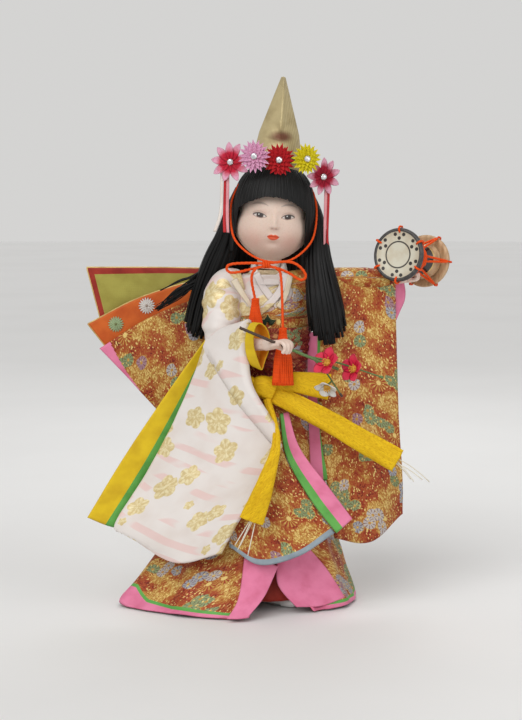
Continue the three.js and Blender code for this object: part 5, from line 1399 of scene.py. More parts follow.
@dataclass
class Wig:
    """Black wig with its cut fringe and the three long falls of hair."""

    half: Place = (26.0, 29.5, 33.2)
    middle: float = 33.0
    hem: float = 10.0
    fringe: float = 45.0
    fringe_drop: float = 8.5
    window: Pair = (-1.8, 21.2)
    falls: tuple = (
        (
            "right",
            ((-18, 3, 50), (-22, 3, 36), (-25.5, 4, 20), (-32, 7, 3), (-39.8, 10, -20), (-46, 11, -44.5)),
            ((2.5, 5), (5, 6), (7.5, 6.5), (9.6, 7.5), (10.2, 6.5), (9.2, 5)),
            (0, 1, 0.3),
        ),
        (
            "left",
            ((23, 4, 50), (27.5, 3, 36), (30, 0, 21), (31, -9, 4), (34, -19, -18), (38, -22, -45)),
            ((2.5, 5), (5, 5), (6.5, 5), (8.5, 6), (11, 5), (12, 4.5)),
            (0, 1, -0.1),
        ),
        (
            "back",
            ((1, 17, 38), (0.5, 21, 22), (0, 29, 2), (-2, 41.5, -16), (-3, 43, -52)),
            ((15, 3), (21, 4.5), (24.5, 4.5), (22, 3.5), (17, 3)),
            (0, 1, 0.6),
        ),
    )
    still: Place = (-0.004, 0.002, 0.190)
    turned: Place = (-0.004, 0.002, 0.225)
    wall: float = 3.4
    strand_counts: tuple[int, ...] = (70, 113, 157, 211)
    strand_depth: float = 0.07
    locks: int = 95
    lock_sides: int = 7
    samples: int = 44
    wisps: tuple = (
        ((-31, 8, 5), (-43, 9, -6), (-57, 9.5, -16.5), (-70, 9, -25.5), 44, 1.7),
        ((-32, 9, 5), (-44, 10, -3.5), (-56, 10, -8), (-68, 10, -14), 9, 0.5),
    )

    def shell(self, inward: float, turn: np.ndarray, share: np.ndarray, hem: np.ndarray) -> np.ndarray:
        """Gives one side of the wig.

        Args:
            inward: how far it lies inside the outer side.
            turn: angles round the head from the front.
            share: shares of the way from the crown to the hem.
            hem: height of the hem at each angle.

        Returns:
            A grid of points in the head's frame.
        """
        half = np.array(self.half) - inward
        top = self.middle + half[2]
        height = top + (np.minimum(hem, top - 1) - top) * share[:, None] ** 1.6
        level = np.clip(1 - (np.abs(height - self.middle) / half[2]) ** 2.4, 0, 1) ** (1 / 2.4)
        level = np.where(height > self.middle, level, 1)
        below = np.clip((self.middle - height) / (self.middle - self.hem), 0, 1)
        deep = half[1] - 3.0 * below
        over = half[0] * level * np.sin(turn)
        return np.stack([over, 2 * below - deep * level * np.cos(turn), height], axis=-1)

    def cap(self) -> None:
        """Makes the wig with its fringe over the forehead."""
        draw = np.random.default_rng(11)
        turn = np.linspace(-math.pi, math.pi, 560, endpoint=False)
        share = np.concatenate([np.linspace(0.02, 0.9, 60), np.linspace(0.91, 1, 14)])
        side = np.abs(self.half[0] * np.sin(turn) - self.window[0]) / self.window[1]
        facing = np.cos(turn) > 0
        ragged = np.convolve(draw.normal(size=turn.size), np.ones(3) / 3, "same") * 0.35
        arch = self.fringe - self.fringe_drop * np.clip(side, 0, 1.1) ** 2.2 + ragged
        parted = smooth_step(side, 0.97, 1.05)
        hem = np.where(facing, arch * (1 - parted) + (self.hem + ragged) * parted, self.hem + ragged)
        outer = self.shell(0, turn, share, hem)
        strands = np.zeros((share.size, turn.size))
        for count in self.strand_counts:
            phase = draw.uniform(0, 6) + 1.6 * np.sin(share * draw.uniform(2, 4))[:, None]
            strands += np.sin(count * turn + phase)
        combed = strands * self.strand_depth * smooth_step(share, 0.05, 0.4)[:, None]
        outer = outer + unit(outer - (0, 0, self.middle)) * combed[..., None]
        inner = self.shell(self.wall, turn, share, hem)
        thin = np.where(facing, smooth_step(side, 1.22, 1.05), 0)[None, :, None]
        thin = np.maximum(thin * 0.85, np.zeros((share.size, 1, 1)))
        thin[-8:] = np.maximum(thin[-8:], np.linspace(0, 0.75, 8)[:, None, None])
        inner = inner + (outer - inner) * thin
        grid = placed(np.concatenate([outer, inner[::-1]]), HEAD)
        run = np.concatenate([share, share[::-1]])[:, None] * 0.07
        uvs = np.stack(np.broadcast_arrays(turn * 0.026, run), axis=-1)
        form = Form()
        form.add_grid(grid[::-1], uvs[::-1], ring=True)
        settle(form.build("wig_cap", [BLACK_HAIR]), "head", "hair", "hair_cap")

    def fall(self, name: str, route: Points, sizes: Points, up: Sequence[float], seed: int) -> None:
        """Makes one long fall of hair from many locks.

        Args:
            name: where it falls.
            route: points along its middle, from the neck's foot.
            sizes: half width and half depth at each point.
            up: direction of its half depth.
            seed: number that picks how the locks lie.
        """
        draw = np.random.default_rng(seed)
        path = NECK + spline(route, self.samples)
        half = spline(sizes, self.samples)
        along = unit(np.gradient(path, axis=0))
        across = unit(np.cross(along, np.array(up, float)))
        rise = np.cross(across, along)
        form = Form()
        ends = np.sqrt(np.clip((self.samples - np.arange(self.samples)) / 7, 0.05, 1))[:, None]
        form.add_tube(path[:-2], (half * (0.86, 0.70) * ends)[:-2], up=up, sides=24)
        for number in range(self.locks):
            angle = math.tau * number / self.locks + draw.normal() * 0.03
            out = draw.uniform(0.84, 0.97)
            width = draw.uniform(0.7, 1.5) * max(1.0, half[:, 0].max() / 13)
            stop = self.samples - int(draw.integers(0, 3)) - round(3.2 * math.cos(angle) ** 2)
            share = np.linspace(0, 1, self.samples)[:stop]
            stray = 0.35 * np.sin(share * draw.uniform(3, 8) + draw.uniform(0, 6)) * share
            over = np.cos(angle) * out * half[:stop, 0] + stray
            deep = np.sin(angle) * out * half[:stop, 1]
            line = path[:stop] + across[:stop] * over[:, None] + rise[:stop] * deep[:, None]
            taper = 0.55 + 0.45 * np.sin(math.pi * np.clip(share * 0.8 + 0.15, 0, 1))
            outward = across * (np.cos(angle) / half[:, :1]) + rise * (np.sin(angle) / half[:, 1:])
            size = np.stack([width * taper, 0.5 * taper], axis=-1)
            form.add_tube(line, size, unit(outward[:stop]), self.lock_sides)
        if name == "right":
            self.strays(form, draw)
        piece = form.build(f"hair_{name}", [BLACK_HAIR])
        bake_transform(piece)
        dress(piece, "hair", f"hair_fall_{name}")

    def strays(self, form: Form, draw: np.random.Generator) -> None:
        """Adds the loose locks that stand off the doll's right side to a form."""
        for *route, count, spread in self.wisps:
            for _ in range(count):
                ends = np.array(route, float)
                looser = spread * np.linspace(1.0, 0.45, len(route) - 1)[:, None]
                ends[1:] += draw.normal(size=(len(route) - 1, 3)) * looser
                path = NECK + spline(ends, 30)
                size = np.linspace(0.75, 0.16, 30)[:, None] * (1, 0.6)
                form.add_tube(path, size, (0, 1, 0.2), self.lock_sides)

    def build(self) -> None:
        """Makes the wig and its falls."""
        self.cap()
        for number, (name, route, sizes, up) in enumerate(self.falls):
            self.fall(name, route, sizes, up, 20 + number)


@dataclass
class CourtCap:
    """Tall gold foil cap with a ridge up its front, a raised facet and a dent under it."""

    base: float = 56.0
    tip: float = 118.5
    halves: Points = ((0, 17.5, 18), (0.45, 12.4, 13.5), (1, 1.4, 4.2))
    wall: float = 1.2
    facet: Pair = (0.2, 90.5)
    dent: Pair = (0.6, 83.0)

    def shell(self, inward: float, share: np.ndarray, turn: np.ndarray) -> np.ndarray:
        """Gives one side of the cap.

        Args:
            inward: how far it lies inside the outer side.
            share: shares of its height.
            turn: angles round it from the front.

        Returns:
            A grid of points in the head's frame.
        """
        known = np.array(self.halves)
        wide = np.interp(share, known[:, 0], known[:, 1]) - inward
        deep = np.interp(share, known[:, 0], known[:, 2]) - inward
        power = 2 - 0.85 * smooth_step(share, 0.05, 0.6)
        sides = np.abs(np.sin(turn)) ** power[:, None] + np.abs(np.cos(turn)) ** power[:, None]
        radius = sides ** (-1 / power[:, None])
        x = wide[:, None] * np.sin(turn) * radius
        y = -deep[:, None] * np.cos(turn) * radius + 1 + 3 * share[:, None]
        z = np.broadcast_to((self.base + (self.tip - self.base) * share)[:, None], x.shape).copy()
        front = smooth_step(np.cos(turn), 0.3, 0.8)
        up = z - self.facet[1]
        raised = 0.9 * smooth_step(np.abs((x - self.facet[0]) / 5.0) + np.abs(up / 6.5), 1.1, 0.2)
        ridge = 0.5 * np.exp(-(((x - 0.8) / 1.1) ** 2)) * smooth_step(z, self.facet[1] - 2, self.facet[1] + 6)
        hollow = -1.3 * mound(x - self.dent[0], z - self.dent[1], 4.2, 2.4)
        crease = -0.6 * np.exp(-(((z - 78.5 - 0.2 * np.abs(x)) / 1.2) ** 2))
        y -= (raised + ridge + hollow + crease) * front
        return np.stack([x, y, z], axis=-1)

    def build(self) -> None:
        """Makes the hollow cap."""
        turn = np.linspace(-math.pi, math.pi, 192, endpoint=False)
        share = np.linspace(0, 1, 110)
        outer = self.shell(0, share, turn)
        crown = np.repeat(outer[-1:].mean(axis=1, keepdims=True) + (0, 0, 0.6), turn.size, axis=1)
        crown = crown + (outer[-1:] - outer[-1:].mean(axis=1, keepdims=True)) * 0.03
        inner = self.shell(self.wall, share[:88:4], turn)
        roof = np.repeat(inner[-1:].mean(axis=1, keepdims=True), turn.size, axis=1)
        roof = roof + (inner[-1:] - roof) * 0.02
        grid = placed(np.concatenate([roof, inner[::-1], outer, crown]), HEAD)
        form = Form()
        form.add_grid(grid, grid[..., (0, 2)] * MM, ring=True)
        settle(form.build("gold_court_cap", [GOLD_FOIL]), "head", "cap_gold", "court_cap")


RIGHT_ELBOW = (-38.0, -16.0, 167.0)
RIGHT_WRIST = (-5.0, -42.0, 169.0)
RIGHT_SHOULDER = (-22.0, 1.0, 203.0)
LEFT_WRIST = (73.0, 1.0, 206.0)
OBI_BACK_TOP = (-6.0, 28.0, 172.0)
FLOOR = (0.0, 0.0, 0.0)
WAIST = (-6.0, 4.0)
TORSO = (
    (-6, 4, 22, 26, 20),
    (-6, 4, 63.5, 26, 20),
    (-6, 4, 105, 26, 20),
    (-6, 4, 145, 20, 16),
    (-6, 4, 186, 25, 16),
    (-6, 4, 202, 23, 12),
    (-4, 2, 211.7, 9, 9),
)


class Hold(Enum):
    """How a cloth is held on the doll."""

    HUNG = "hung"
    DRAPED = "draped"
    GATHERED = "gathered"
    FOLDED = "folded"


def torso_at(height: np.ndarray, grow: float) -> list[np.ndarray]:
    """Gives the body core's middle across and back, half width and half depth at each height.

    Args:
        height: the heights.
        grow: how far outside the core its halves are taken.

    Returns:
        The four measures.
    """
    fine = spline(TORSO, 241)
    x, y, wide, deep = (np.interp(height, fine[:, 2], fine[:, part]) for part in (0, 1, 3, 4))
    return [x, y, wide + grow, deep + grow]


def torso_ring(height: np.ndarray, grow: float, turn: np.ndarray) -> np.ndarray:
    """Gives rings round the body core at heights, grown outwards, as heights by angles."""
    x, y, wide, deep = torso_at(height[:, None], grow)
    return oval((x, y), wide, deep, height[:, None], turn)


def torso_front(x: np.ndarray, height: np.ndarray, grow: float) -> np.ndarray:
    """Lays places across and up the doll onto the front of its grown body core."""
    middle, back, wide, deep = torso_at(height, grow)
    share = np.clip((x - middle) / wide, -0.98, 0.98)
    return np.stack([x, back - deep * np.sqrt(1 - share**2), height], axis=-1)


@dataclass(frozen=True)
class Drape:
    """Net, thickness, folds and rumples of one hanging cloth."""

    origin: Place
    net: Net
    thick: Pair
    folds: float = 1.0
    depth: float = 0.0
    phase: float = 0.0
    rumple: float = 0.25
    wave: float = 16.0
    seed: int = 1
    across: int = 80
    along: int = 110
    overlap: Points = ()

    def grid(self) -> np.ndarray:
        """Gives the middle of the cloth."""
        grid = surface(self.net, self.across, self.along) + np.array(self.origin)
        u = np.linspace(0, 1, self.across)[None, :]
        v = np.linspace(0, 1, self.along)[:, None]
        lift = self.depth * np.sin(math.tau * self.folds * u + self.phase) * v**1.5
        lift = lift + crumple(grid, self.seed, self.rumple, self.wave) * (0.3 + 0.7 * v)
        grid = grid + normals(grid) * lift[..., None]
        if self.overlap:
            edge = np.array(self.overlap[::-1])
            past = 0.8 * (grid[..., 0] - np.interp(grid[..., 2], edge[:, 1], edge[:, 0]))
            step = smooth_step(past, -0.9, 0.7) * (1 - smooth_step(past, 2, 26))
            grid[..., 1] -= 2.4 * step * smooth_step(self.overlap[0][1] + 4 - grid[..., 2], 0, 12)
        return grid

    def thickness(self) -> np.ndarray:
        """Gives the cloth's thickness at each point."""
        v = np.sqrt(np.linspace(0, 1, self.along))[:, None]
        return np.broadcast_to(self.thick[0] + (self.thick[1] - self.thick[0]) * v, (self.along, self.across))

    def shares(self) -> tuple[np.ndarray, np.ndarray]:
        """Gives the share across and along of each face's middle."""
        u = (np.arange(self.across - 1) + 0.5) / (self.across - 1)
        v = (np.arange(self.along - 1) + 0.5) / (self.along - 1)
        across, along = np.meshgrid(u, v)
        return across.ravel(), along.ravel()


def hang(
    drape: Drape,
    name: str,
    finishes: Sequence[Finish],
    slot: str,
    node: str,
    hold: Hold,
    rests_on: str,
    slots: object = 0,
    inside: object = None,
) -> None:
    """Makes a cloth from its drape and puts it on the figure.

    Args:
        drape: net and folds of the cloth.
        name: name of the piece.
        finishes: its finishes.
        slot: name of a finish; not used.
        node: the solid that it stands for.
        hold: how it is held; not used.
        rests_on: the solid that it hangs from or lies on; not used.
        slots: finish numbers of its faces.
        inside: finish number of its back where it differs.
    """
    grid = drape.grid()[:, ::-1]
    rows = drape.along - 1
    tags = np.broadcast_to(slots, rows * (drape.across - 1)).reshape(rows, -1)[:, ::-1]
    form = Form()
    form.add_cloth(grid, drape.thickness(), tags.ravel(), inside)
    piece = settle(form.build(name, finishes), "figure", slot, node)


@dataclass
class WhiteRobe:
    """White satin under robe: collar, bodice, the right arm's sleeves with lining and cuff."""

    bodice_heights: Pair = (146.0, 209.0)
    upper_sleeve: Points = ((2, -1, 0), (-9, -2, -3), (-11, -9, -19), (-11, -13, -35))
    upper_halves: Points = ((9, 9), (11.5, 11), (12, 12), (10.5, 12))
    sleeve: Drape = Drape(
        RIGHT_ELBOW,
        (
            ((-1, 5, 4), (8, -6, 11), (22, -19, 17)),
            ((-18.5, 2, -37), (1, -12, -30), (23, -25, -19)),
            ((-38.5, -2, -75), (-8, -17, -70), (41, -30, -60)),
            ((-61, -6, -110), (-28, -19, -114), (15, -31, -106)),
            ((-58, -7, -116), (-24, -21, -132), (5, -30, -125)),
        ),
        (12, 3), folds=1.1, depth=1.6, phase=0.8, rumple=0.42, wave=26, seed=7, across=130, along=170,
        overlap=((-40, 164), (-19, 133), (5, 104)),
    )
    lining: Drape = Drape(
        RIGHT_ELBOW,
        (
            ((-4.5, 10, 3), (-1.5, 11, 3), (2.5, 11, 3)),
            ((-31, 5, -34), (-22.5, 6.5, -37), (-14, 8, -40)),
            ((-56, -1, -71), (-44, 0.5, -75), (-34, 3, -79)),
            ((-78, -8, -107), (-67.5, -6, -112), (-57, -2, -116)),
        ),
        (1.6, 1.6), wave=20, seed=8, across=60, along=120,
    )
    bands: tuple = (
        (((-12, 210), (-7, 201), (0, 192), (6, 184)), 4.6, 2.0, 0),
        (((7, 210), (4, 201), (-3, 192), (-14, 183)), 4.6, 3.0, 0),
        (((9.6, 210), (8.0, 202), (5.6, 195), (2.0, 189)), 3.4, 3.9, 1),
    )
    edge_fold: Points = (
        (-25.5, -13.5, 206.5), (-21.5, -14.6, 200), (-17.5, -15.6, 194), (-14.5, -16.0, 189.5),
    )
    collar_heights: Pair = (203.0, 216.0)
    collar_radius: float = 10.7
    collar_wall: float = 1.8
    collar_dip: float = 7.5
    collar_flare: Pair = (3.0, 1.5)
    cuff_half: Pair = (8.4, 13.5)
    cuff_reach: Pair = (4.4, 12.8)
    cuff_wall: float = 0.8

    def collar(self) -> None:
        """Stands the white collar round the neck."""
        turn = angles(96)
        share = np.linspace(0, 1, 22)[:, None]
        front = smooth_step(-np.sin(turn), 0.35, 1.0)
        low, high = self.collar_heights
        height = low + (high - self.collar_dip * front - low) * share
        rows = []
        for wall in (0.0, self.collar_wall):
            wide, deep = (self.collar_radius + flare * (1 - share) - wall for flare in self.collar_flare)
            rows.append(oval((-4, 1 + 2 * share), wide, deep, height, turn))
        wrap_round("white_neck_collar", WHITE_SILK, "silk_white", "neck_collar", *rows)

    def bodice(self) -> None:
        """Wraps the white bodice with its crossed collar bands."""
        turn = angles(140)
        height = np.linspace(*self.bodice_heights, 60)
        form = Form()
        form.add_shell(torso_ring(height, 1.6, turn), torso_ring(height, 0.4, turn))
        for route, width, grow, slot in self.bands:
            line = spline(route, 40)
            way = unit(np.gradient(line, axis=0))
            over = np.stack([-way[:, 1], way[:, 0]], axis=-1)
            spread = np.linspace(-0.5, 0.5, 11) * width
            flat = line[:, None] + over[:, None] * spread[None, :, None]
            form.add_cloth(torso_front(flat[..., 0], flat[..., 1], grow), 0.9, slot)
        piece = form.build("white_bodice_satin", [SATIN, CREAM_SILK])
        settle(piece, "figure", "silk_white", "white_bodice")

    def shoulder(self) -> None:
        """Makes the soft upper sleeve with its slanting folds and gold-edged fold."""
        path = np.array(RIGHT_SHOULDER) + spline(self.upper_sleeve, 70)
        half = spline(self.upper_halves, 70)

        def slants(angle: np.ndarray, run: np.ndarray) -> np.ndarray:
            """Gives the folds that slant round the sleeve."""
            fold = np.sin(run * 0.42 + 1.6 * np.sin(angle + 0.6)) + 0.5 * np.sin(run * 0.9 - 2 * angle)
            return 1 + 0.045 * fold * smooth_step(run, 2, 14)

        form = Form()
        form.add_tube(path, half, up=(0, 1, 0.2), sides=72, relief=slants)
        line = spline(self.edge_fold, 30)
        over = unit((0.86, -0.1, 0.5))
        taper = np.linspace(1.0, 0.5, 30)[:, None, None]
        band = line[:, None] + over * (np.linspace(-2.3, 2.3, 9)[None, :, None] * taper)
        form.add_cloth(band, 1.0, 1)
        piece = form.build("upper_sleeve_satin", [SATIN, CREAM_SILK])
        settle(piece, "figure", "silk_white", "right_upper_sleeve")

    def cuff(self) -> None:
        """Makes the yellow mouth of the sleeve round the wrist."""
        wrist = np.array(RIGHT_WRIST)
        way = unit(np.array(RIGHT_ELBOW) - wrist)
        share = np.linspace(*self.cuff_reach, 16)
        across = unit(np.cross(way, (0, 0, 1)))
        rise = np.cross(across, way)
        turn = angles(64)
        flare = 1 + 0.06 * np.sin(3 * turn + 1) * smooth_step(share, 10, 4)[:, None]
        flare = flare * (1 - 0.62 * smooth_step(share, 10.4, 12.8)[:, None])
        droop = np.clip(-np.sin(turn), 0, 1) * smooth_step(share, 12.8, 5.5)[:, None]
        rows = []
        for wall in (0.0, self.cuff_wall):
            over = (self.cuff_half[0] - wall) * np.cos(turn) * flare * (1 - 0.6 * droop**1.4)
            high = (self.cuff_half[1] - wall) * np.sin(turn) * flare * (1 + 0.10 * droop)
            ring = across * over[..., None] + rise * high[..., None]
            rows.append(wrist + way * share[:, None, None] + ring)
        form = Form()
        inside, outside = (share.size - 1) * turn.size, (share.size + 1) * turn.size
        form.add_shell(*rows, np.repeat((1, 0), (inside, outside)))
        piece = form.build("yellow_cuff", [YELLOW_SILK, AMBER_SILK])
        settle(piece, "figure", "lining_yellow", "right_cuff")

    def build(self) -> None:
        """Makes the whole under robe."""
        self.collar()
        self.bodice()
        self.shoulder()
        hang(self.sleeve, "white_sleeve", [SATIN], "silk_white", "right_sleeve", Hold.HUNG, "arm_right")
        green = (self.lining.shares()[0] > 0.5).astype(int)
        hang(
            self.lining, "white_sleeve_lining", [YELLOW_SILK, GREEN_SILK], "lining_yellow",
            "right_sleeve_lining", Hold.HUNG, "white_sleeve", green,
        )
        self.cuff()


@dataclass
class BrocadeRobe:
    """Brocade robe: bodice, left sleeve, shed right sleeve, skirt, front drape and linings."""

    bodice_heights: Pair = (146.0, 209.0)
    bodice_edge: Points = ((13.5, 214), (12.8, 209.3), (9.8, 194.5), (-2.6, 187.0), (-14, 184.5), (-40, 181))
    bodice_grow: float = 2.6
    shoulder: Points = ((8, 3, 201), (20, 3, 203), (34, 1, 205.5), (53, 1, 206), (71, 1, 205.5))
    shoulder_halves: Points = ((10, 9.5), (9, 9), (7.4, 7.4), (6.8, 7), (6.2, 6.4))
    left_sleeve: Drape = Drape(
        LEFT_WRIST,
        (
            ((-43, -3, 2), (-17, 1, 7), (2, 0, 0)),
            ((-45, -9, -34), (-19, -3, -32), (3, 1, -34)),
            ((-46, -15, -81), (-19, -9, -86), (5, 1, -86)),
            ((-41, -19, -126), (-15, -11, -130), (8, 3, -126)),
            ((-36, -21, -160), (-15, -13, -164), (9, 5, -150)),
        ),
        (12, 3), folds=1.3, depth=1.8, rumple=0.35, wave=24, seed=5, across=110, along=190,
    )
    left_lining: Drape = Drape(
        LEFT_WRIST,
        (
            ((-52.5, -1.5, -33), (-43.5, -9.5, -33)),
            ((-52.5, -7, -72), (-43.5, -15, -72)),
            ((-51, -18.5, -124), (-39.5, -19, -124)),
        ),
        (1.4, 1.4), rumple=0.15, seed=9, across=40, along=80,
    )
    shed_sleeve: Drape = Drape(
        OBI_BACK_TOP,
        (
            ((-106, -4, -12), (-74, -6, 8), (-32, -7, 25)),
            ((-89, -4, -30), (-66, -7, -20), (-32, -10, -12)),
            ((-70, -5, -51), (-54, -9, -46), (-34, -12, -42)),
        ),
        (2.4, 2.4), folds=1.2, depth=1.5, rumple=0.5, wave=18, seed=12, across=110, along=90,
    )
    front_drape: Drape = Drape(
        FLOOR,
        (
            ((-24, -24, 132), (-14, -25.5, 132), (-5, -26, 130), (2, -25.5, 125)),
            ((-28, -31, 95), (-14, -34, 92), (-3, -36, 94), (6, -35.5, 100)),
            ((-30, -34, 62), (-12, -38, 58), (6, -41, 60), (21, -40, 74)),
            ((-28, -36, 44), (-10, -41, 34), (14, -43, 40), (36.5, -40, 53.5)),
        ),
        (2.24, 2.24), folds=1.2, depth=1.4, rumple=0.3, wave=20, seed=14, across=110, along=130,
    )
    drape_lining: Drape = Drape(
        FLOOR,
        (
            ((2.6, -26, 125), (8, -25, 126)),
            ((6.6, -36, 100), (15, -34.5, 105)),
            ((21.6, -40.6, 74), (33, -39, 81)),
            ((37.1, -40.4, 53.5), (47, -38, 62)),
        ),
        (1.4, 1.4), rumple=0.2, seed=15, across=40, along=110,
    )
    left_flap: Drape = Drape(
        FLOOR,
        (
            ((20, -19.5, 41), (11, -22.8, 42), (1, -25.5, 37)),
            ((33, -16, 25), (17, -23, 20), (1.5, -28, 19)),
            ((44, -13.5, 7), (29, -21.5, 3.5), (13, -28.5, 4.5)),
        ),
        (1.4, 1.4), rumple=0.35, wave=12, seed=16, across=60, along=70,
    )
    right_flap: Drape = Drape(
        FLOOR,
        (
            ((2, -31, 31), (-8, -33, 35), (-19, -33.5, 37)),
            ((-6.5, -38.5, 14), (-14, -41, 14), (-22.5, -42, 14)),
            ((-17, -47, 2.5), (-23, -48, 2), (-29.5, -48, 2)),
        ),
        (1.4, 1.4), rumple=0.3, wave=12, seed=17, across=40, along=70,
    )
    hem_line: Points = (
        (-16, -42), (-31, -43), (-64, -31), (-97, -7), (-80, 30), (-40, 50), (0, 54), (36, 43), (53, 14),
        (42, -12), (24, -25),
    )
    cuff_rows: Points = ((66, 80.5, 204), (66, 81.5, 198), (66, 81, 192), (66, 78.5, 186), (66, 76, 180))
    hem_widths: Points = (
        (0, 0.013), (0.1, 0.013), (0.2, 0.016), (0.25, 0.032), (0.29, 0.072), (0.33, 0.050), (0.40, 0.018),
        (1, 0.018),
    )
    hem_green: float = 0.012
    hem_rows: tuple[int, int] = (3, 7)
    skirt_top: float = 145.0
    skirt_folds: int = 7
    skirt_halves: Pair = (24.0, 20.0)
    skirt_grow: Pair = (8.0, 6.0)
    skirt_turn: Pair = (-92.0, 354.0)
    under_halves: Pair = (29.4, 26.4)
    under_heights: Pair = (6.0, 120.0)

    def bodice(self) -> None:
        """Wraps the bodice over the doll's left side from its edge line, with its shoulder."""
        edge = np.array(self.bodice_edge)[::-1]
        height = np.linspace(*self.bodice_heights, 70)
        start = np.interp(height, edge[:, 1], edge[:, 0])
        across = np.linspace(0, 1, 130)
        whole = np.linspace(-math.pi, math.pi, 721)
        rows = []
        for level, left in zip(height, start):
            ring = torso_ring(np.array([level]), self.bodice_grow, whole)[0]
            front = ring[(ring[:, 1] < ring[:, 1].mean()) & (ring[:, 0] >= left)]
            turn = np.full(across.size, math.pi)
            if len(front):
                share = (front[0, 0] - WAIST[0]) / (ring[:, 0].max() - WAIST[0])
                first = -math.acos(np.clip(share, -1, 1))
                turn = first + (math.pi * 1.02 - first) * across
            rows.append(torso_ring(np.array([level]), self.bodice_grow, turn)[0])
        form = Form()
        form.add_cloth(np.array(rows), 1.2)
        form.add_tube(spline(self.shoulder, 60), spline(self.shoulder_halves, 60), up=(0, 0.3, 1), sides=40)
        settle(form.build("brocade_bodice_weave", [BROCADE]), "figure", "brocade", "brocade_bodice")

    def skirt_grid(self, across: int, along: int) -> np.ndarray:
        """Gives the middle of the skirt's cloth.

        Args:
            across: samples round the skirt.
            along: samples from the waist to the hem.

        Returns:
            A grid of points.
        """
        u = np.linspace(0, 1, across)[None, :]
        known = np.array(self.hem_widths)
        pink = np.interp(u, known[:, 0], known[:, 1])
        body, green, rest = along - sum(self.hem_rows), self.hem_rows[0], self.hem_rows[1]
        v = np.concatenate(
            [
                np.linspace(0, 1, body)[:, None] * (1 - pink - self.hem_green),
                1 - pink - self.hem_green + np.linspace(0, 1, green + 1)[1:, None] * self.hem_green,
                1 - pink + np.linspace(0, 1, rest + 1)[1:, None] * pink,
            ]
        )
        angle = np.radians(self.skirt_turn[0] - self.skirt_turn[1] * u)
        down = np.minimum(1, v / 0.3)
        wide, deep = (half + grow * down for half, grow in zip(self.skirt_halves, self.skirt_grow))
        settled_x = WAIST[0] + wide * np.cos(angle)
        settled_y = WAIST[1] + deep * np.sin(angle)
        foot = spline(self.hem_line, across)
        edge = np.maximum(0, np.abs(2 * u - 1) - 0.8) / 0.2
        flare = v ** (2.2 + 2.3 * edge)
        x = settled_x + (foot[:, 0] - settled_x) * flare
        y = settled_y + (foot[:, 1] - settled_y) * flare
        level = np.broadcast_to(self.skirt_top + (1.0 - self.skirt_top) * v, x.shape)
        grid = np.stack([x, y, level], axis=-1)
        fold = 2.2 * np.sin(math.tau * self.skirt_folds * u) + 0.8 * np.sin(math.tau * 17 * u + 1)
        lift = fold * v + crumple(grid, 21, 0.35, 22) * v
        lift = lift * (1 - smooth_step(v, 0.97, 1.0) * 0.4)
        moved = grid + normals(grid) * lift[..., None]
        moved[..., 2] = np.maximum(moved[..., 2], 0.9)
        return moved

    def skirt(self) -> None:
        """Spreads the skirt to its hem, with edged cloth and a red inside."""
        across, along = 300, 120
        grid = self.skirt_grid(across, along)
        bands = np.zeros((along - 1, across - 1), int)
        bands[-sum(self.hem_rows) :] = 1
        bands[-self.hem_rows[1] :] = 2
        form = Form()
        form.add_cloth(grid, 1.5, bands.ravel(), 3)
        piece = form.build("brocade_skirt", [BROCADE, GREEN_SILK, PINK_SILK, RED_SILK])
        settle(piece, "figure", "brocade", "robe_skirt")

    def under_skirt(self) -> None:
        """Hangs the red under skirt round the legs."""
        turn = angles(160)
        share = np.linspace(0, 1, 50)[:, None]
        pleats = 0.35 * np.sin(24 * turn) * (1 - share)
        (low, high), (bottom, top) = self.under_halves, self.under_heights
        rows = []
        for grow in (1.1, 0.1):
            wide = low + (high - low) * share + grow + pleats
            rows.append(oval(WAIST, wide, wide - 6, bottom + (top - bottom) * share, turn))
        wrap_round("under_robe_skirt", RED_SILK, "under_robe", "under_skirt", *rows)

    def cuff(self) -> None:
        """Adds the pink lining that shows at the left sleeve's opening."""
        rows = [
            [(low, 3.5, z), ((low + high) / 2, 2.6, z), (high, 3.2, z)] for low, high, z in self.cuff_rows
        ]
        grid = surface(rows, 16, 40)[:, ::-1]
        form = Form()
        form.add_cloth(grid, 0.9)
        piece = settle(form.build("left_cuff_lining", [PINK_SILK]), "figure", "lining_pink")

    def build(self) -> None:
        """Makes the whole brocade robe."""
        self.cuff()
        self.bodice()
        self.under_skirt()
        self.skirt()
        green = (self.left_lining.shares()[0] > 0.68).astype(int)
        across, along = self.shed_sleeve.shares()
        pink = (across < 0.10 * np.clip(1 - along / 0.72, 0, 1) + 0.012 * (along < 0.72)).astype(int)
        grey = (self.front_drape.shares()[1] > 0.945).astype(int)
        outer = (self.drape_lining.shares()[0] > 0.38).astype(int)
        hang(
            self.left_sleeve, "brocade_left_sleeve", [BROCADE], "brocade", "left_sleeve",
            Hold.HUNG, "arm_left",
        )
        hang(
            self.left_lining, "left_sleeve_edges", [PINK_SILK, GREEN_SILK], "lining_pink",
            "left_sleeve_lining", Hold.HUNG, "brocade_left_sleeve", green,
        )
        hang(
            self.shed_sleeve, "brocade_shed_sleeve", [BROCADE, PINK_SILK], "brocade", "shed_sleeve",
            Hold.FOLDED, "obi", pink,
        )
        hang(
            self.front_drape, "brocade_front_drape", [BROCADE, GREY_SILK, PINK_SILK], "brocade",
            "front_drape", Hold.DRAPED, "sash_band", grey, 2,
        )
        hang(
            self.drape_lining, "front_drape_edges", [GREEN_SILK, PINK_SILK], "lining_pink",
            "front_drape_lining", Hold.FOLDED, "brocade_front_drape", outer,
        )
        for side, flap in (("left", self.left_flap), ("right", self.right_flap)):
            named = (f"hem_corner_{side}", [PINK_SILK], "lining_pink", f"hem_flap_{side}")
            hang(flap, *named, Hold.FOLDED, "brocade_skirt")


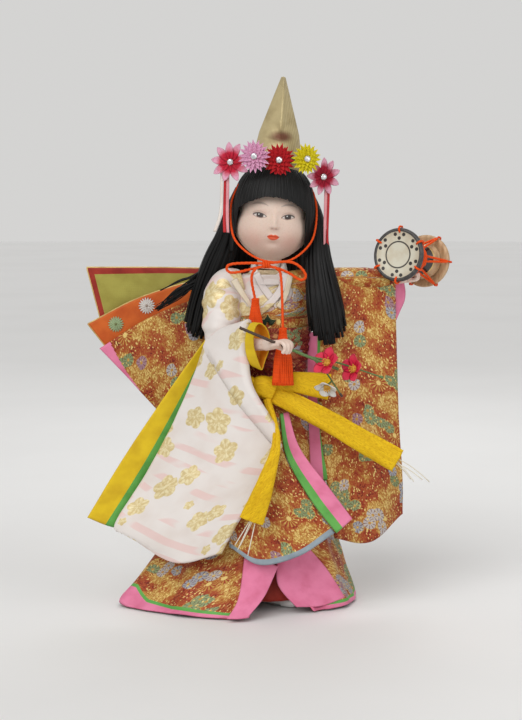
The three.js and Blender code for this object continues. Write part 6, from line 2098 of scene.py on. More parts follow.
def add_petal(
    form: Form,
    matrix: np.ndarray,
    angle: float,
    reach: Pair,
    width: float,
    lift: Pair,
    cup: float,
    slot: int = 0,
    point: float = 3.0,
    thickness: float = 0.3,
) -> None:
    """Adds one petal to a form.

    Args:
        form: the form that takes it.
        matrix: frame of the flower, which faces along its third axis.
        angle: where the petal points.
        reach: distance of its root and of its tip from the middle.
        width: half its greatest width.
        lift: height of its root and of its tip above the flower's plane.
        cup: how far its sides curl up.
        slot: its finish number.
        point: low for a pointed tip, high for a blunt one.
        thickness: thickness of the petal.
    """
    share = np.sin(np.linspace(0, math.pi / 2, 11))
    side = np.linspace(-1, 1, 7)
    tip = np.clip(1 - share**point, 0.001, 1) ** (0.5 if point > 4 else 1.0)
    spread = width * np.sin(math.pi * share**0.8 * 0.62 + 0.35) * tip
    run = reach[0] + (reach[1] - reach[0]) * share
    over = spread[:, None] * side
    rise = lift[0] + (lift[1] - lift[0]) * share[:, None] ** 1.6
    rise = rise + cup * side**2 * np.sin(math.pi * share * 0.9)[:, None]
    out = np.broadcast_to(run[:, None], over.shape) - 0.12 * width * side**2
    x = out * math.cos(angle) - over * math.sin(angle)
    y = out * math.sin(angle) + over * math.cos(angle)
    uvs = np.stack(np.broadcast_arrays(side, share[:, None]), axis=-1)
    form.add_cloth(placed(np.stack([x, y, rise], axis=-1)[:, ::-1], matrix), thickness, slot, uvs=uvs)


PALE_MUM = Petal("pale_chrysanthemum", (0.34, 0.27, 0.22), (0.66, 0.60, 0.56), (0.78, 0.74, 0.70))
GREEN_MUM = Petal("green_chrysanthemum", (0.16, 0.17, 0.07), (0.30, 0.40, 0.20), (0.38, 0.48, 0.27))
DARK_LEAF = Petal("crest_leaf", (0.025, 0.040, 0.020), (0.018, 0.034, 0.016), (0.045, 0.060, 0.026))


@dataclass
class Obi:
    """Wide obi: the wrinkled front with its leaf crest, and the big bow behind."""

    bottom: Place = (146.0, 26.7, 21.6)
    top: Place = (176.5, 29.4, 22.6)
    wall: float = 2.0
    crest: Pair = (-4.7, 179.6)
    panel: Drape = Drape(
        OBI_BACK_TOP,
        (((-115, 11, 39), (-64, 9, 39), (-6, 3, 38)), ((-106, 10, 4), (-60, 7, 10), (-6, 3, 14))),
        (2.0, 2.0), rumple=0.45, wave=30, seed=31, across=130, along=56,
    )
    fold: Drape = Drape(
        OBI_BACK_TOP,
        (
            ((-114, 4, 3), (-78, 3, 21), (-34, 0.5, 32), (-7, -0.2, 20)),
            ((-103, 3, -11), (-72, 2, 4), (-34, 0, 15), (-7, -0.5, 6)),
        ),
        (2.2, 2.2), rumple=0.3, wave=26, seed=32, across=130, along=40,
    )
    wing: Drape = Drape(
        OBI_BACK_TOP,
        (((6, 3, 26), (42, 8, 30), (73, 10, 25)), ((6, 2, 8), (42, 7, -1), (75, 9, -8))),
        (3.2, 3.2), folds=0.8, depth=1.2, rumple=0.4, wave=20, seed=33, across=90, along=60,
    )
    knot: Points = ((-6, 31, 158, 9, 3.5), (-6, 32.5, 182, 7, 4.5), (-6, 32.5, 199, 9, 3.5))
    piping_radius: float = 0.55
    leaf_turns: Place = (0.35, 1.571, 2.79)
    mum_rings: Points = ((18, 1.0, 0.15), (14, 0.72, 0.4), (9, 0.45, 0.6))
    mum_lift: float = 1.3

    def front(self) -> None:
        """Wraps the obi in soft level wrinkles."""
        turn = angles(180)
        share = np.linspace(0, 1, 54)[:, None]
        height = self.bottom[0] + (self.top[0] - self.bottom[0]) * share
        tilt = 1.4 * np.sin(turn + 0.7) + 0.8 * np.sin(2 * turn)
        wrinkle = 0.55 * np.sin(height * 1.05 + tilt) + 0.3 * np.sin(height * 2.3 - 2 * tilt + 1)
        wrinkle = wrinkle * np.sin(math.pi * share) ** 0.5
        rows = []
        for inward, lift in ((0.0, wrinkle), (self.wall, 0 * wrinkle)):
            wide = self.bottom[1] + (self.top[1] - self.bottom[1]) * share - inward
            deep = self.bottom[2] + (self.top[2] - self.bottom[2]) * share - inward
            rows.append(oval(WAIST, wide + lift, deep + lift, height, turn))
        form = Form()
        form.add_shell(*rows)
        self.leaves(form)
        piece = form.build("obi_front", [RED_BROCADE, DARK_LEAF, GOLD_PIPING])
        settle(piece, "figure", "obi_orange", "obi")

    def leaves(self, form: Form) -> None:
        """Adds the crest of three leaves, edged with gold, above the obi to a form."""
        x, z = self.crest
        point = torso_front(np.array([x]), np.array([z]), 3.8)[0]
        matrix = turn_to(point, (1, 0, 0), (0, -0.12, 1))
        for angle in self.leaf_turns:
            for lift, reach, width, slot in ((0.0, (0.2, 6.0), 2.7, 2), (0.45, (0.7, 5.4), 2.2, 1)):
                lifted = matrix.copy()
                lifted[:3, 3] += matrix[:3, 2] * lift
                add_petal(form, lifted, angle, reach, width, (-0.5, -0.4), 0.3, slot, 2.2, 0.7)

    def mum(self, form: Form, grid: np.ndarray, place: tuple[int, int], radius: float, slot: int) -> None:
        """Adds one chrysanthemum that lies on the front of a cloth.

        Args:
            form: the form that takes it.
            grid: middle of the cloth.
            place: row and column where the flower's middle lies.
            radius: its radius.
            slot: its finish number.
        """
        row, column = place
        across = grid[row, column + 2] - grid[row, column - 2]
        up = grid[row - 2, column] - grid[row + 2, column]
        matrix = turn_to(grid[row, column], across, up - across * np.dot(up, across) / np.dot(across, across))
        matrix[:3, 3] += matrix[:3, 2] * self.mum_lift
        for count, share, lift in self.mum_rings:
            reach, width = (0.2, radius * share), 2.2 * radius * share / count
            for number in range(count):
                angle = math.tau * (number + 0.5 * (count % 4)) / count
                add_petal(form, matrix, angle, reach, width, (lift, lift), 0.15, slot, 5.0, 0.35)
        heart = np.array([matrix[:3, 3], matrix[:3, 3] + matrix[:3, 2] * 0.8])
        form.add_tube(heart, radius * 0.16, sides=12, slots=slot)

    def leaf(
        self,
        name: str,
        drape: Drape,
        finishes: Sequence[Finish],
        slot: str,
        node: str,
        end: int = 0,
        edge: object = 0,
        mums: Sequence = (),
    ) -> None:
        """Makes one leaf of the bow with gold piping along its top and one end.

        Args:
            name: name of the piece.
            drape: net and rumples of the leaf.
            finishes: its finishes, among them the piping.
            slot: name of a finish; not used.
            node: the solid that it stands for.
            end: column of the piped end, 0 or -1.
            edge: finish numbers of its faces.
            mums: row and column, radius and finish number of each chrysanthemum, from the piped end.
        """
        grid = drape.grid()
        form = Form()
        form.add_cloth(grid, drape.thickness(), edge)
        for line in (grid[0], grid[:, end]):
            form.add_tube(line, self.piping_radius, sides=8, slots=finishes.index(GOLD_PIPING))
        for mum in mums:
            self.mum(form, grid if end == 0 else grid[:, ::-1], *mum)
        piece = settle(form.build(name, finishes), "figure", slot, node)

    def bow_knot(self) -> None:
        """Makes the padded knot of the bow."""

        def gathers(angle: np.ndarray, run: np.ndarray) -> np.ndarray:
            """Gives the gathers round the knot."""
            return 1 + 0.03 * np.sin(9 * angle + 0.2 * run) + 0.02 * np.sin(5 * angle - 0.3 * run)

        known = spline(self.knot, 50)
        form = Form()
        form.add_tube(known[:, :3], known[:, 3:], up=(0, 1, 0), sides=56, relief=gathers)
        piece = settle(form.build("obi_knot", [ORANGE_SILK]), "figure", "obi_orange", "obi_bow_knot")

    def build(self) -> None:
        """Makes the obi and its bow: olive panel, orange fold, wing and knot."""
        self.front()
        across, along = self.panel.shares()
        edge = ((along < 0.13) | (across < 0.040)).astype(int)
        olive = [OLIVE_SILK, RED_SILK, GOLD_PIPING]
        orange = [ORANGE_SILK, GOLD_PIPING, PALE_MUM, GREEN_MUM]
        mums = (((14, 43), 5.4, 2), ((19, 17), 5.2, 3))
        self.leaf("obi_olive_panel", self.panel, olive, "obi_olive", "obi_bow_left_panel", edge=edge)
        self.leaf("obi_orange_fold", self.fold, orange, "obi_orange", "obi_bow_left_fold", mums=mums)
        wing = ("obi_wing", self.wing, orange[:3], "obi_orange", "obi_bow_right_wing")
        self.leaf(*wing, end=-1, mums=(((22, 30), 5.2, 2),))
        self.bow_knot()


@dataclass
class Sash:
    """Yellow crepe sash: pleated band, bow and two stuffed tails with loose threads."""

    knot: Place = (-8.0, -27.9, 143.25)
    band: tuple[float, float, float, float] = (137.0, 145.5, 29.4, 25.4)
    wall: float = 2.0
    loose_threads: int = 4
    thread_radius: float = 0.32
    tie: tuple = (((-6, 0, -4), (0, -2.2, -1), (7, -1.5, -4)), ((4, 5), (5, 7), (4.4, 6.4)), (0, 0, 1))
    right_loop: tuple = (
        ((-3, -1, 0), (-10, -1, 2), (-14, 0, -6), (-7, 0, -12)),
        ((3, 4), (3.6, 4), (3.6, 4), (2.5, 3)),
        (0, 1, 0),
    )
    left_loop: tuple = (((2, 1, 0), (19, -1, 1.5), (41, -1, -1.5)), ((3, 4), (3.2, 6.5), (3, 8.2)), (0, 0, 1))
    left_tail: tuple = (
        ((0, 2, -3), (34, -6, -18.5), (82, -8, -46)),
        ((3, 5.5), (3.6, 6.5), (3.4, 7.5)),
        (0.5, 0, 0.86),
    )
    right_tail: tuple = (
        ((3, -3, -9), (8.5, -21, -31), (2, -27, -56), (-6.5, -27, -79)),
        ((2.4, 2.4), (2.6, 3), (5.3, 3), (7.9, 3)),
        (0, 1, 0.2),
    )

    def bar(self, form: Form, shape: tuple, seed: int, groove: float) -> tuple[np.ndarray, np.ndarray]:
        """Adds one flat stuffed length of the sash.

        Args:
            form: the form that takes it.
            shape: its route from the knot, its half sizes and its up direction.
            seed: number that picks its crinkles.
            groove: angle round it where its lengthwise fold runs.

        Returns:
            The points along its middle and its half sizes.
        """
        route, halves, up = shape
        draw = np.random.default_rng(seed)
        path = np.array(self.knot) + spline(route, 90)
        half = spline(halves, 90)
        phase = draw.uniform(0, 6, 4)

        def crinkled(angle: np.ndarray, run: np.ndarray) -> np.ndarray:
            """Gives the flat section with its folds and crinkles."""
            box = (np.abs(np.cos(angle)) ** 2.8 + np.abs(np.sin(angle)) ** 2.8) ** (-1 / 2.8)
            away = np.angle(np.exp(1j * (angle - groove - 0.1 * np.sin(run * 0.09))))
            fold = -0.20 * np.exp(-((away / 0.13) ** 2)) + 0.07 * np.exp(-(((away - 0.3) / 0.2) ** 2))
            waves = 0.020 * np.sin(6 * angle + run * 0.16 + phase[0])
            waves = waves + 0.010 * np.sin(run * 0.5 + 2 * angle + phase[1])
            return box * 0.965 + fold + waves

        form.add_tube(path, half, up=up, sides=64, relief=crinkled)
        return path, half

    def threads(
        self, form: Form, path: np.ndarray, half: np.ndarray, up: Sequence[float], seed: int, down: float
    ) -> None:
        """Adds the loose threads at the cut end of a tail to a form.

        Args:
            form: the form that takes them.
            path: points along the tail's middle.
            half: its half sizes.
            up: direction of its half height.
            seed: number that picks the threads.
            down: how far they droop.
        """
        draw = np.random.default_rng(seed)
        way = unit(path[-1] - path[-4])
        across = unit(np.cross(way, up))
        rise = np.cross(across, way)
        for _ in range(self.loose_threads):
            start = path[-1] + across * half[-1, 0] * draw.uniform(-0.3, 0.3)
            start = start + rise * half[-1, 1] * draw.uniform(-0.2, 0.2) - way * 1.0
            reach = draw.uniform(12, 22)
            swing = across * draw.normal() * 0.16 + rise * draw.normal() * 0.10
            share = np.linspace(0, 1, 9)[:, None]
            line = start + (way + swing) * reach * share + np.array((0, 0, -down)) * reach * share**2
            form.add_tube(line, self.thread_radius, sides=6, slots=1)

    def waist(self) -> None:
        """Winds the pleated band round the waist."""
        low, high, wide, deep = self.band
        turn = angles(180)
        share = np.linspace(0, 1, 30)[:, None]
        pleat = 0.45 * np.abs(np.sin(math.pi * 3 * share + 0.25 * np.sin(2 * turn)))
        pleat = pleat + 0.12 * np.sin(40 * turn + 9 * share)
        rows = []
        for inward, lift in ((0.0, pleat - 0.5), (self.wall, 0 * pleat)):
            height = low + (high - low) * share
            rows.append(oval(WAIST, wide - inward + lift, deep - inward + lift, height, turn))
        wrap_round("sash_waist", SASH_CREPE, "sash_yellow", "sash_band", *rows)

    def build(self) -> None:
        """Makes the band, the bow and the tails."""
        self.waist()
        form = Form()
        for number, shape in enumerate((self.tie, self.right_loop, self.left_loop)):
            self.bar(form, shape, 40 + number, 2.2)
        piece = settle(form.build("sash_knot", [SASH_CREPE]), "figure", "sash_yellow", "sash_bow")
        tails = (("left", self.left_tail, 1.0, 50, 0.25), ("right", self.right_tail, 4.4, 51, 0.0))
        for name, shape, groove, seed, down in tails:
            form = Form()
            path, half = self.bar(form, shape, seed, groove)
            self.threads(form, path, half, shape[2], seed + 10, down)
            piece = form.build(f"sash_end_{name}", [SASH_CREPE, SASH_THREAD])
            settle(piece, "figure", "sash_yellow", f"sash_tail_{name}")


CRIMSON_PETAL = Petal("crimson_petal", (0.46, 0.008, 0.020), (0.58, 0.018, 0.050), (0.82, 0.42, 0.56))
DEEP_PETAL = Petal("deep_crimson_petal", (0.26, 0.004, 0.014), (0.38, 0.010, 0.035), (0.78, 0.40, 0.52))
PINK_PETAL = Petal("pink_petal", (0.70, 0.22, 0.38), (0.80, 0.34, 0.54), (0.82, 0.42, 0.62))
RED_PETAL = Petal("red_petal", (0.34, 0.004, 0.010), (0.48, 0.009, 0.014), (0.56, 0.016, 0.022))
YELLOW_PETAL = Petal("yellow_petal", (0.70, 0.50, 0.004), (0.80, 0.66, 0.006), (0.82, 0.70, 0.020))
BLOSSOM_PETAL = Petal("red_blossom_petal", (0.46, 0.008, 0.028), (0.70, 0.020, 0.065), (0.76, 0.055, 0.105))
WHITE_PETAL = Petal("white_blossom_petal", (0.66, 0.60, 0.40), (0.77, 0.74, 0.68), (0.80, 0.78, 0.74))
STAMEN = Braid("yellow_stamen", (0.78, 0.46, 0.08), (0.56, 0.27, 0.03))
HAND_PAINT = Solid("hand_paint", (0.76, 0.62, 0.53), (0.71, 0.53, 0.44), (1, 1, 1), 120, 0.5, depth=0.0001)
RIBBON_WHITE = Silk("white_ribbon", (0.78, 0.72, 0.66), (0.70, 0.58, 0.52), 2200, 0.4)
RIBBON_RED = Silk("red_ribbon", (0.55, 0.030, 0.035), (0.42, 0.015, 0.020), 2200, 0.4)
RIBBON_PINK = Silk("pink_ribbon", (0.72, 0.34, 0.36), (0.64, 0.22, 0.25), 2200, 0.4)


@dataclass(frozen=True)
class BandFlower:
    """Place, size and make of one flower on the head band."""

    node: str
    at: Place
    radius: float
    stalk: float
    slot: str
    petal: Petal
    rings: tuple[tuple[int, float, float], ...]
    nudge: float = 0.0


SPOONS = ((9, 1.0, 0.2),)
POMPON = ((18, 1.0, 0.0), (16, 0.86, 0.8), (12, 0.66, 1.5), (8, 0.44, 2.1))
Strip = tuple[Finish, float, float, float]


@dataclass
class HeadFlowers:
    """Five silk flowers on the wire band, with rhinestone hearts and hanging ribbons."""

    flowers: tuple[BandFlower, ...] = (
        BandFlower("flower_right_end", (-30, -8, 64), 12.2, 3, "flower_crimson", CRIMSON_PETAL, SPOONS, 2.4),
        BandFlower("flower_pink", (-15, -13.5, 68.5), 9.8, 7, "flower_pink", PINK_PETAL, POMPON, 1.7),
        BandFlower("flower_red", (0.7, -15.2, 67.5), 9.9, 4, "flower_red", RED_PETAL, POMPON, -1.0),
        BandFlower("flower_yellow", (16.5, -13.5, 69.5), 9.2, 7, "flower_yellow", YELLOW_PETAL, POMPON, -2.6),
        BandFlower("flower_left_end", (28.5, -8, 59.5), 11.4, 3, "flower_crimson", DEEP_PETAL, SPOONS, -2.4),
    )
    stone_radius: float = 2.1
    stalk_radius: float = 1.4
    ribbon_half: float = 0.95
    ribbon_length: float = 43.0
    ribbon_lean: float = HEAD_LEAN
    right_ribbons: tuple[Strip, ...] = (
        (RIBBON_WHITE, -6.0, -1.4, -4.0), (RIBBON_RED, -3.9, -1.9, 0.3), (RIBBON_PINK, -1.9, -1.4, 0.6),
    )
    left_ribbons: tuple[Strip, ...] = ((RIBBON_PINK, 2.4, -1.3, 0.2), (RIBBON_RED, 4.6, -1.9, 0.6))

    def frame_of(self, index: int) -> np.ndarray:
        """Gives the frame of one flower, which faces along its third axis."""
        places = np.array([flower.at for flower in self.flowers], float)
        low, high = max(0, index - 1), min(len(places) - 1, index + 1)
        along = unit((places[high] - places[low]) * (1, 1, 0))
        face = np.array((along[1], -along[0], 0))
        made = self.flowers[index]
        matrix = turn_to(places[index] + face * (1.4 + made.stalk) + along * made.nudge, along, (0, 0, 1))
        return HEAD @ matrix

    def flower(self, index: int) -> None:
        """Makes one flower on its stalk."""
        made = self.flowers[index]
        matrix = self.frame_of(index)
        draw = np.random.default_rng(70 + index)
        form = Form()
        for count, reach, lift in made.rings:
            blunt = 4.5 if made.rings is SPOONS else 3.6
            width = (2.0 if made.rings is SPOONS else 2.9) * made.radius * reach / count
            for number in range(count):
                angle = math.tau * (number + draw.uniform(-0.12, 0.12) + 0.5 * (count % 4)) / count
                tip = made.radius * reach * draw.uniform(1.0, 1.06)
                rise = lift + draw.uniform(0.2, 0.9)
                add_petal(form, matrix, angle, (0.8, tip), width, (lift * 0.6, rise), 0.7, 0, blunt)
        back = placed([(0, 0, -made.stalk), (0, 0, 0.3)], matrix)
        form.add_tube(spline(back, 8), self.stalk_radius, sides=12, slots=1)
        piece = form.build(f"{made.node}_silk", [made.petal, GREEN_WRAP])
        settle(piece, "head", made.slot, made.node)

    def stones(self) -> None:
        """Sets a cut rhinestone in each flower's heart."""
        form = Form()
        steps = ((0.8, 0), (1, 0.7), (0.97, 1.0), (0.72, 1.6), (0.4, 1.9))
        cut = [(0.02, -0.2), *((self.stone_radius * share, height) for share, height in steps), (0.02, 1.95)]
        for index, flower in enumerate(self.flowers):
            matrix = self.frame_of(index)
            matrix[:3, 3] += matrix[:3, 2] * (flower.rings[-1][2] - 0.2)
            form.add_lathe(cut, matrix, 12)
        settle(form.build("rhinestones", [RHINESTONE], smooth=False), "head", "flower_crimson")

    def ribbon(self, name: str, index: int, lift: float, strips: Sequence[Strip]) -> None:
        """Hangs the ribbon strips under one end flower.

        Args:
            name: the doll's side.
            index: number of the flower.
            lift: how far the lower ends stand off, clear of the chin cord.
            strips: finish, place across, depth and outward bend at the end of each strip.
        """
        matrix = self.frame_of(index)
        length = self.ribbon_length
        drift = math.tan(math.radians(self.ribbon_lean)) * length
        side = np.linspace(-self.ribbon_half, self.ribbon_half, 7)
        for number, (finish, over, deep, bend) in enumerate(strips):
            route = [
                (over, 2.6, deep),
                (over + 0.25 * drift, -0.25 * length, deep + 0.5),
                (over + 0.6 * drift, -0.62 * length, deep + 0.3 + 0.35 * lift),
                (over + 0.8 * drift + 0.3 * bend, -0.82 * length, deep + 0.75 * lift),
                (over + drift + bend, -length, deep - 0.2 + lift),
            ]
            line = spline(route, 60)
            curl = 0.35 * np.sin(np.linspace(0, 5, 60) + number)[:, None] * side
            level = np.broadcast_to(line[:, 1:2], curl.shape)
            grid = np.stack([line[:, :1] + side, level, line[:, 2:] + curl], axis=-1)
            form = Form()
            form.add_cloth(placed(grid, matrix), 0.3)
            piece = form.build(f"ribbon_{name}_{number}", [finish])
            nodes = [f"ribbon_{name}"] if number == 0 else []
            settle(piece, f"ribbon_{name}", "ribbon", *nodes)

    def build(self) -> None:
        """Makes the flowers, stones and ribbons, and dresses the wire band."""
        for index in range(len(self.flowers)):
            self.flower(index)
        self.stones()
        self.ribbon("right", 0, 2.1, self.right_ribbons)
        self.ribbon("left", 4, 0.0, self.left_ribbons)
        repaint("flower_band", GREEN_WRAP)


def repaint(node: str, finish: Finish) -> None:
    """Gives a solid that stays in view its finish."""
    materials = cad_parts[node].data.materials
    materials.clear()
    materials.append(finish.material())
    LOG.info("%s: solid kept", node)


def melt(piece: Piece, voxel: float, rounds: int) -> None:
    """Joins a piece's overlapping forms into one smooth skin.

    Args:
        piece: the piece, whose mesh is replaced.
        voxel: size of the detail that is kept, in millimetres.
        rounds: how often the skin is smoothed.
    """
    skin = piece.modifiers.new("skin", "REMESH")
    skin.mode = "VOXEL"
    skin.voxel_size = voxel * MM
    skin.use_smooth_shade = True
    ease = piece.modifiers.new("ease", "SMOOTH")
    ease.factor = 0.5
    ease.iterations = rounds
    bpy.context.view_layer.update()
    made = bpy.data.meshes.new_from_object(piece.evaluated_get(bpy.context.evaluated_depsgraph_get()))
    finishes = list(piece.data.materials)
    piece.modifiers.clear()
    piece.data = made
    made.materials.clear()
    for finish in finishes:
        made.materials.append(finish)


@dataclass
class Limbs:
    """Hands, socked feet, and the plain core that the robes cover."""

    finger: float = 1.4
    finger_samples: int = 18
    fingers: Points = ((-3.6, 0.86), (-1.2, 1.0), (1.2, 1.0), (3.6, 0.9))
    palm: Points = ((-1.8, 0, 0), (0.5, 0, 0), (3.5, 0, 0), (7, 0, 0.4), (12.0, 0, 0.7))
    palm_halves: Points = ((3.75, 3.75), (3.55, 3.5), (3.6, 2.95), (4.9, 2.6), (4.6, 1.9))
    right_along: Place = (33, -26, 2)
    left_along: Place = (27, -3, -2)
    over_curl: Points = ((10.2, 2.0), (13.6, 2.3), (16.2, 0.4), (16.4, -2.8), (14.4, -5.0))
    up_curl: Points = ((10.0, 0.0), (13.0, 0.3), (15.2, 1.4), (15.8, 3.4), (15.0, 5.0))
    under_thumb: Points = ((3.5, -3.2, -0.6), (7.5, -4.4, -2.6), (12.0, -3.4, -4.4))
    up_thumb: Points = ((3.5, 3.2, 0), (7, 4.6, 1.4), (10.5, 4.0, 3.4))
    feet: tuple = (("right", (0, 0), -36.0, (-9, 4, 92)), ("left", (-33, 16), -75.0, (-25, 6, 92)))
    foot_half: float = 19.0
    sole_halves: Points = ((4.8, 6.4), (6.4, 7.6), (7.7, 5.4), (7.0, 4.6))
    toes: tuple = (((0.4, 2.0), (1.0, 2.6), 5.2), ((0.45, -4.2), (0.98, -4.0), 3.2))

    def hand(self, name: str, wrist: Place, along: Place, curl: Points, thumb: Points) -> None:
        """Makes one hand with its closed fingers.

        Args:
            name: the doll's side.
            wrist: place of the wrist.
            along: direction of the palm.
            curl: a finger's line, along the palm and up from it.
            thumb: the thumb's line, along, towards the front and up.
        """
        way = unit(along)
        front = unit(np.cross(way, (0, 0, 1)))
        up = np.cross(front, way)
        basis = np.stack([way, front, up])
        origin = np.array(wrist) + way * 0.3
        form = Form()
        form.add_tube(origin + spline(self.palm, 20) @ basis, spline(self.palm_halves, 20), up, 24)
        count = self.finger_samples
        knuckles = 1 + 0.10 * np.cos(np.linspace(0, 4 * math.pi, count))
        taper = np.linspace(1.0, 0.78, count) * knuckles
        for place, length in self.fingers:
            line = spline(np.array(curl) * (0.5 + 0.5 * length, length), count)
            path = np.stack([line[:, 0], np.full(count, place), line[:, 1]], axis=-1)
            form.add_tube(origin + path @ basis, self.finger * taper, sides=12)
        form.add_tube(origin + spline(thumb, 14) @ basis, np.linspace(1.9, 1.1, 14), sides=12)
        piece = form.build(f"{name}_hand_paint", [HAND_PAINT])
        melt(piece, 0.42, 3)
        settle(piece, f"{name}_hand", "skin", f"hand_{name}")

    def foot(self, name: str, place: Sequence[float], turn: float, top: Sequence[float]) -> None:
        """Makes one leg with its split-toed sock.

        Args:
            name: the doll's side.
            place: middle of the sole.
            turn: where the toes point, in degrees.
            top: top of the leg.
        """
        way = np.array((math.cos(math.radians(turn)), math.sin(math.radians(turn)), 0))
        side = np.cross(way, (0, 0, 1))

        def at(share: float, over: float, height: float) -> np.ndarray:
            """Gives a place in the foot."""
            return np.array((*place, 0)) + way * self.foot_half * share + side * over + (0, 0, height)

        form = Form()
        sole = [at(-1, 0, 6.4), at(-0.4, 0, 6.6), at(0.3, 0, 5.2), at(0.62, 0, 4.6)]
        form.add_tube(spline(sole, 30), spline(self.sole_halves, 30), (0, 0, 1), 28)
        inner = -1 if name == "right" else 1
        for (start, over), (end, out), size in self.toes:
            tip = out * inner
            line = spline([at(start, over * inner, 4.4), at(end - 0.12, tip, 4.2), at(end, tip, 4.0)], 14)
            halves = np.stack([np.linspace(size, size * 0.62, 14), np.linspace(4.4, 3.2, 14)], axis=-1)
            form.add_tube(line, halves, (0, 0, 1), 20)
        shin = spline([at(-0.5, 0, 9), at(-0.5, 0, 27), np.array(top)], 40)
        form.add_tube(shin, np.linspace(6.2, 7, 40), (0, 1, 0), 28)
        piece = form.build(f"{name}_sock", [SOCK_COTTON])
        melt(piece, 0.6, 4)
        places = np.zeros(len(piece.data.vertices) * 3)
        piece.data.vertices.foreach_get("co", places)
        places = places.reshape(-1, 3)
        places[:, 2] = np.maximum(places[:, 2], 0.0)
        piece.data.vertices.foreach_set("co", places.ravel())
        layer = piece.data.uv_layers.new(name="cloth")
        corners = np.zeros(len(piece.data.loops), int)
        piece.data.loops.foreach_get("vertex_index", corners)
        layer.data.foreach_set("uv", places[corners][:, (0, 2)].ravel())
        settle(piece, "figure", "sock_white", f"leg_{name}")

    def build(self) -> None:
        """Makes the hands and feet, and dresses the core."""
        self.hand("right", RIGHT_WRIST, self.right_along, self.over_curl, self.under_thumb)
        self.hand("left", LEFT_WRIST, self.left_along, self.up_curl, self.up_thumb)
        for name, place, turn, top in self.feet:
            self.foot(name, place, turn, top)
        kept = (("torso_core", CORE_WRAP), ("arm_right", HAND_PAINT), ("arm_left", HAND_PAINT))
        for node, finish in (*kept, ("neck_peg", PALE_WOOD)):
            repaint(node, finish)


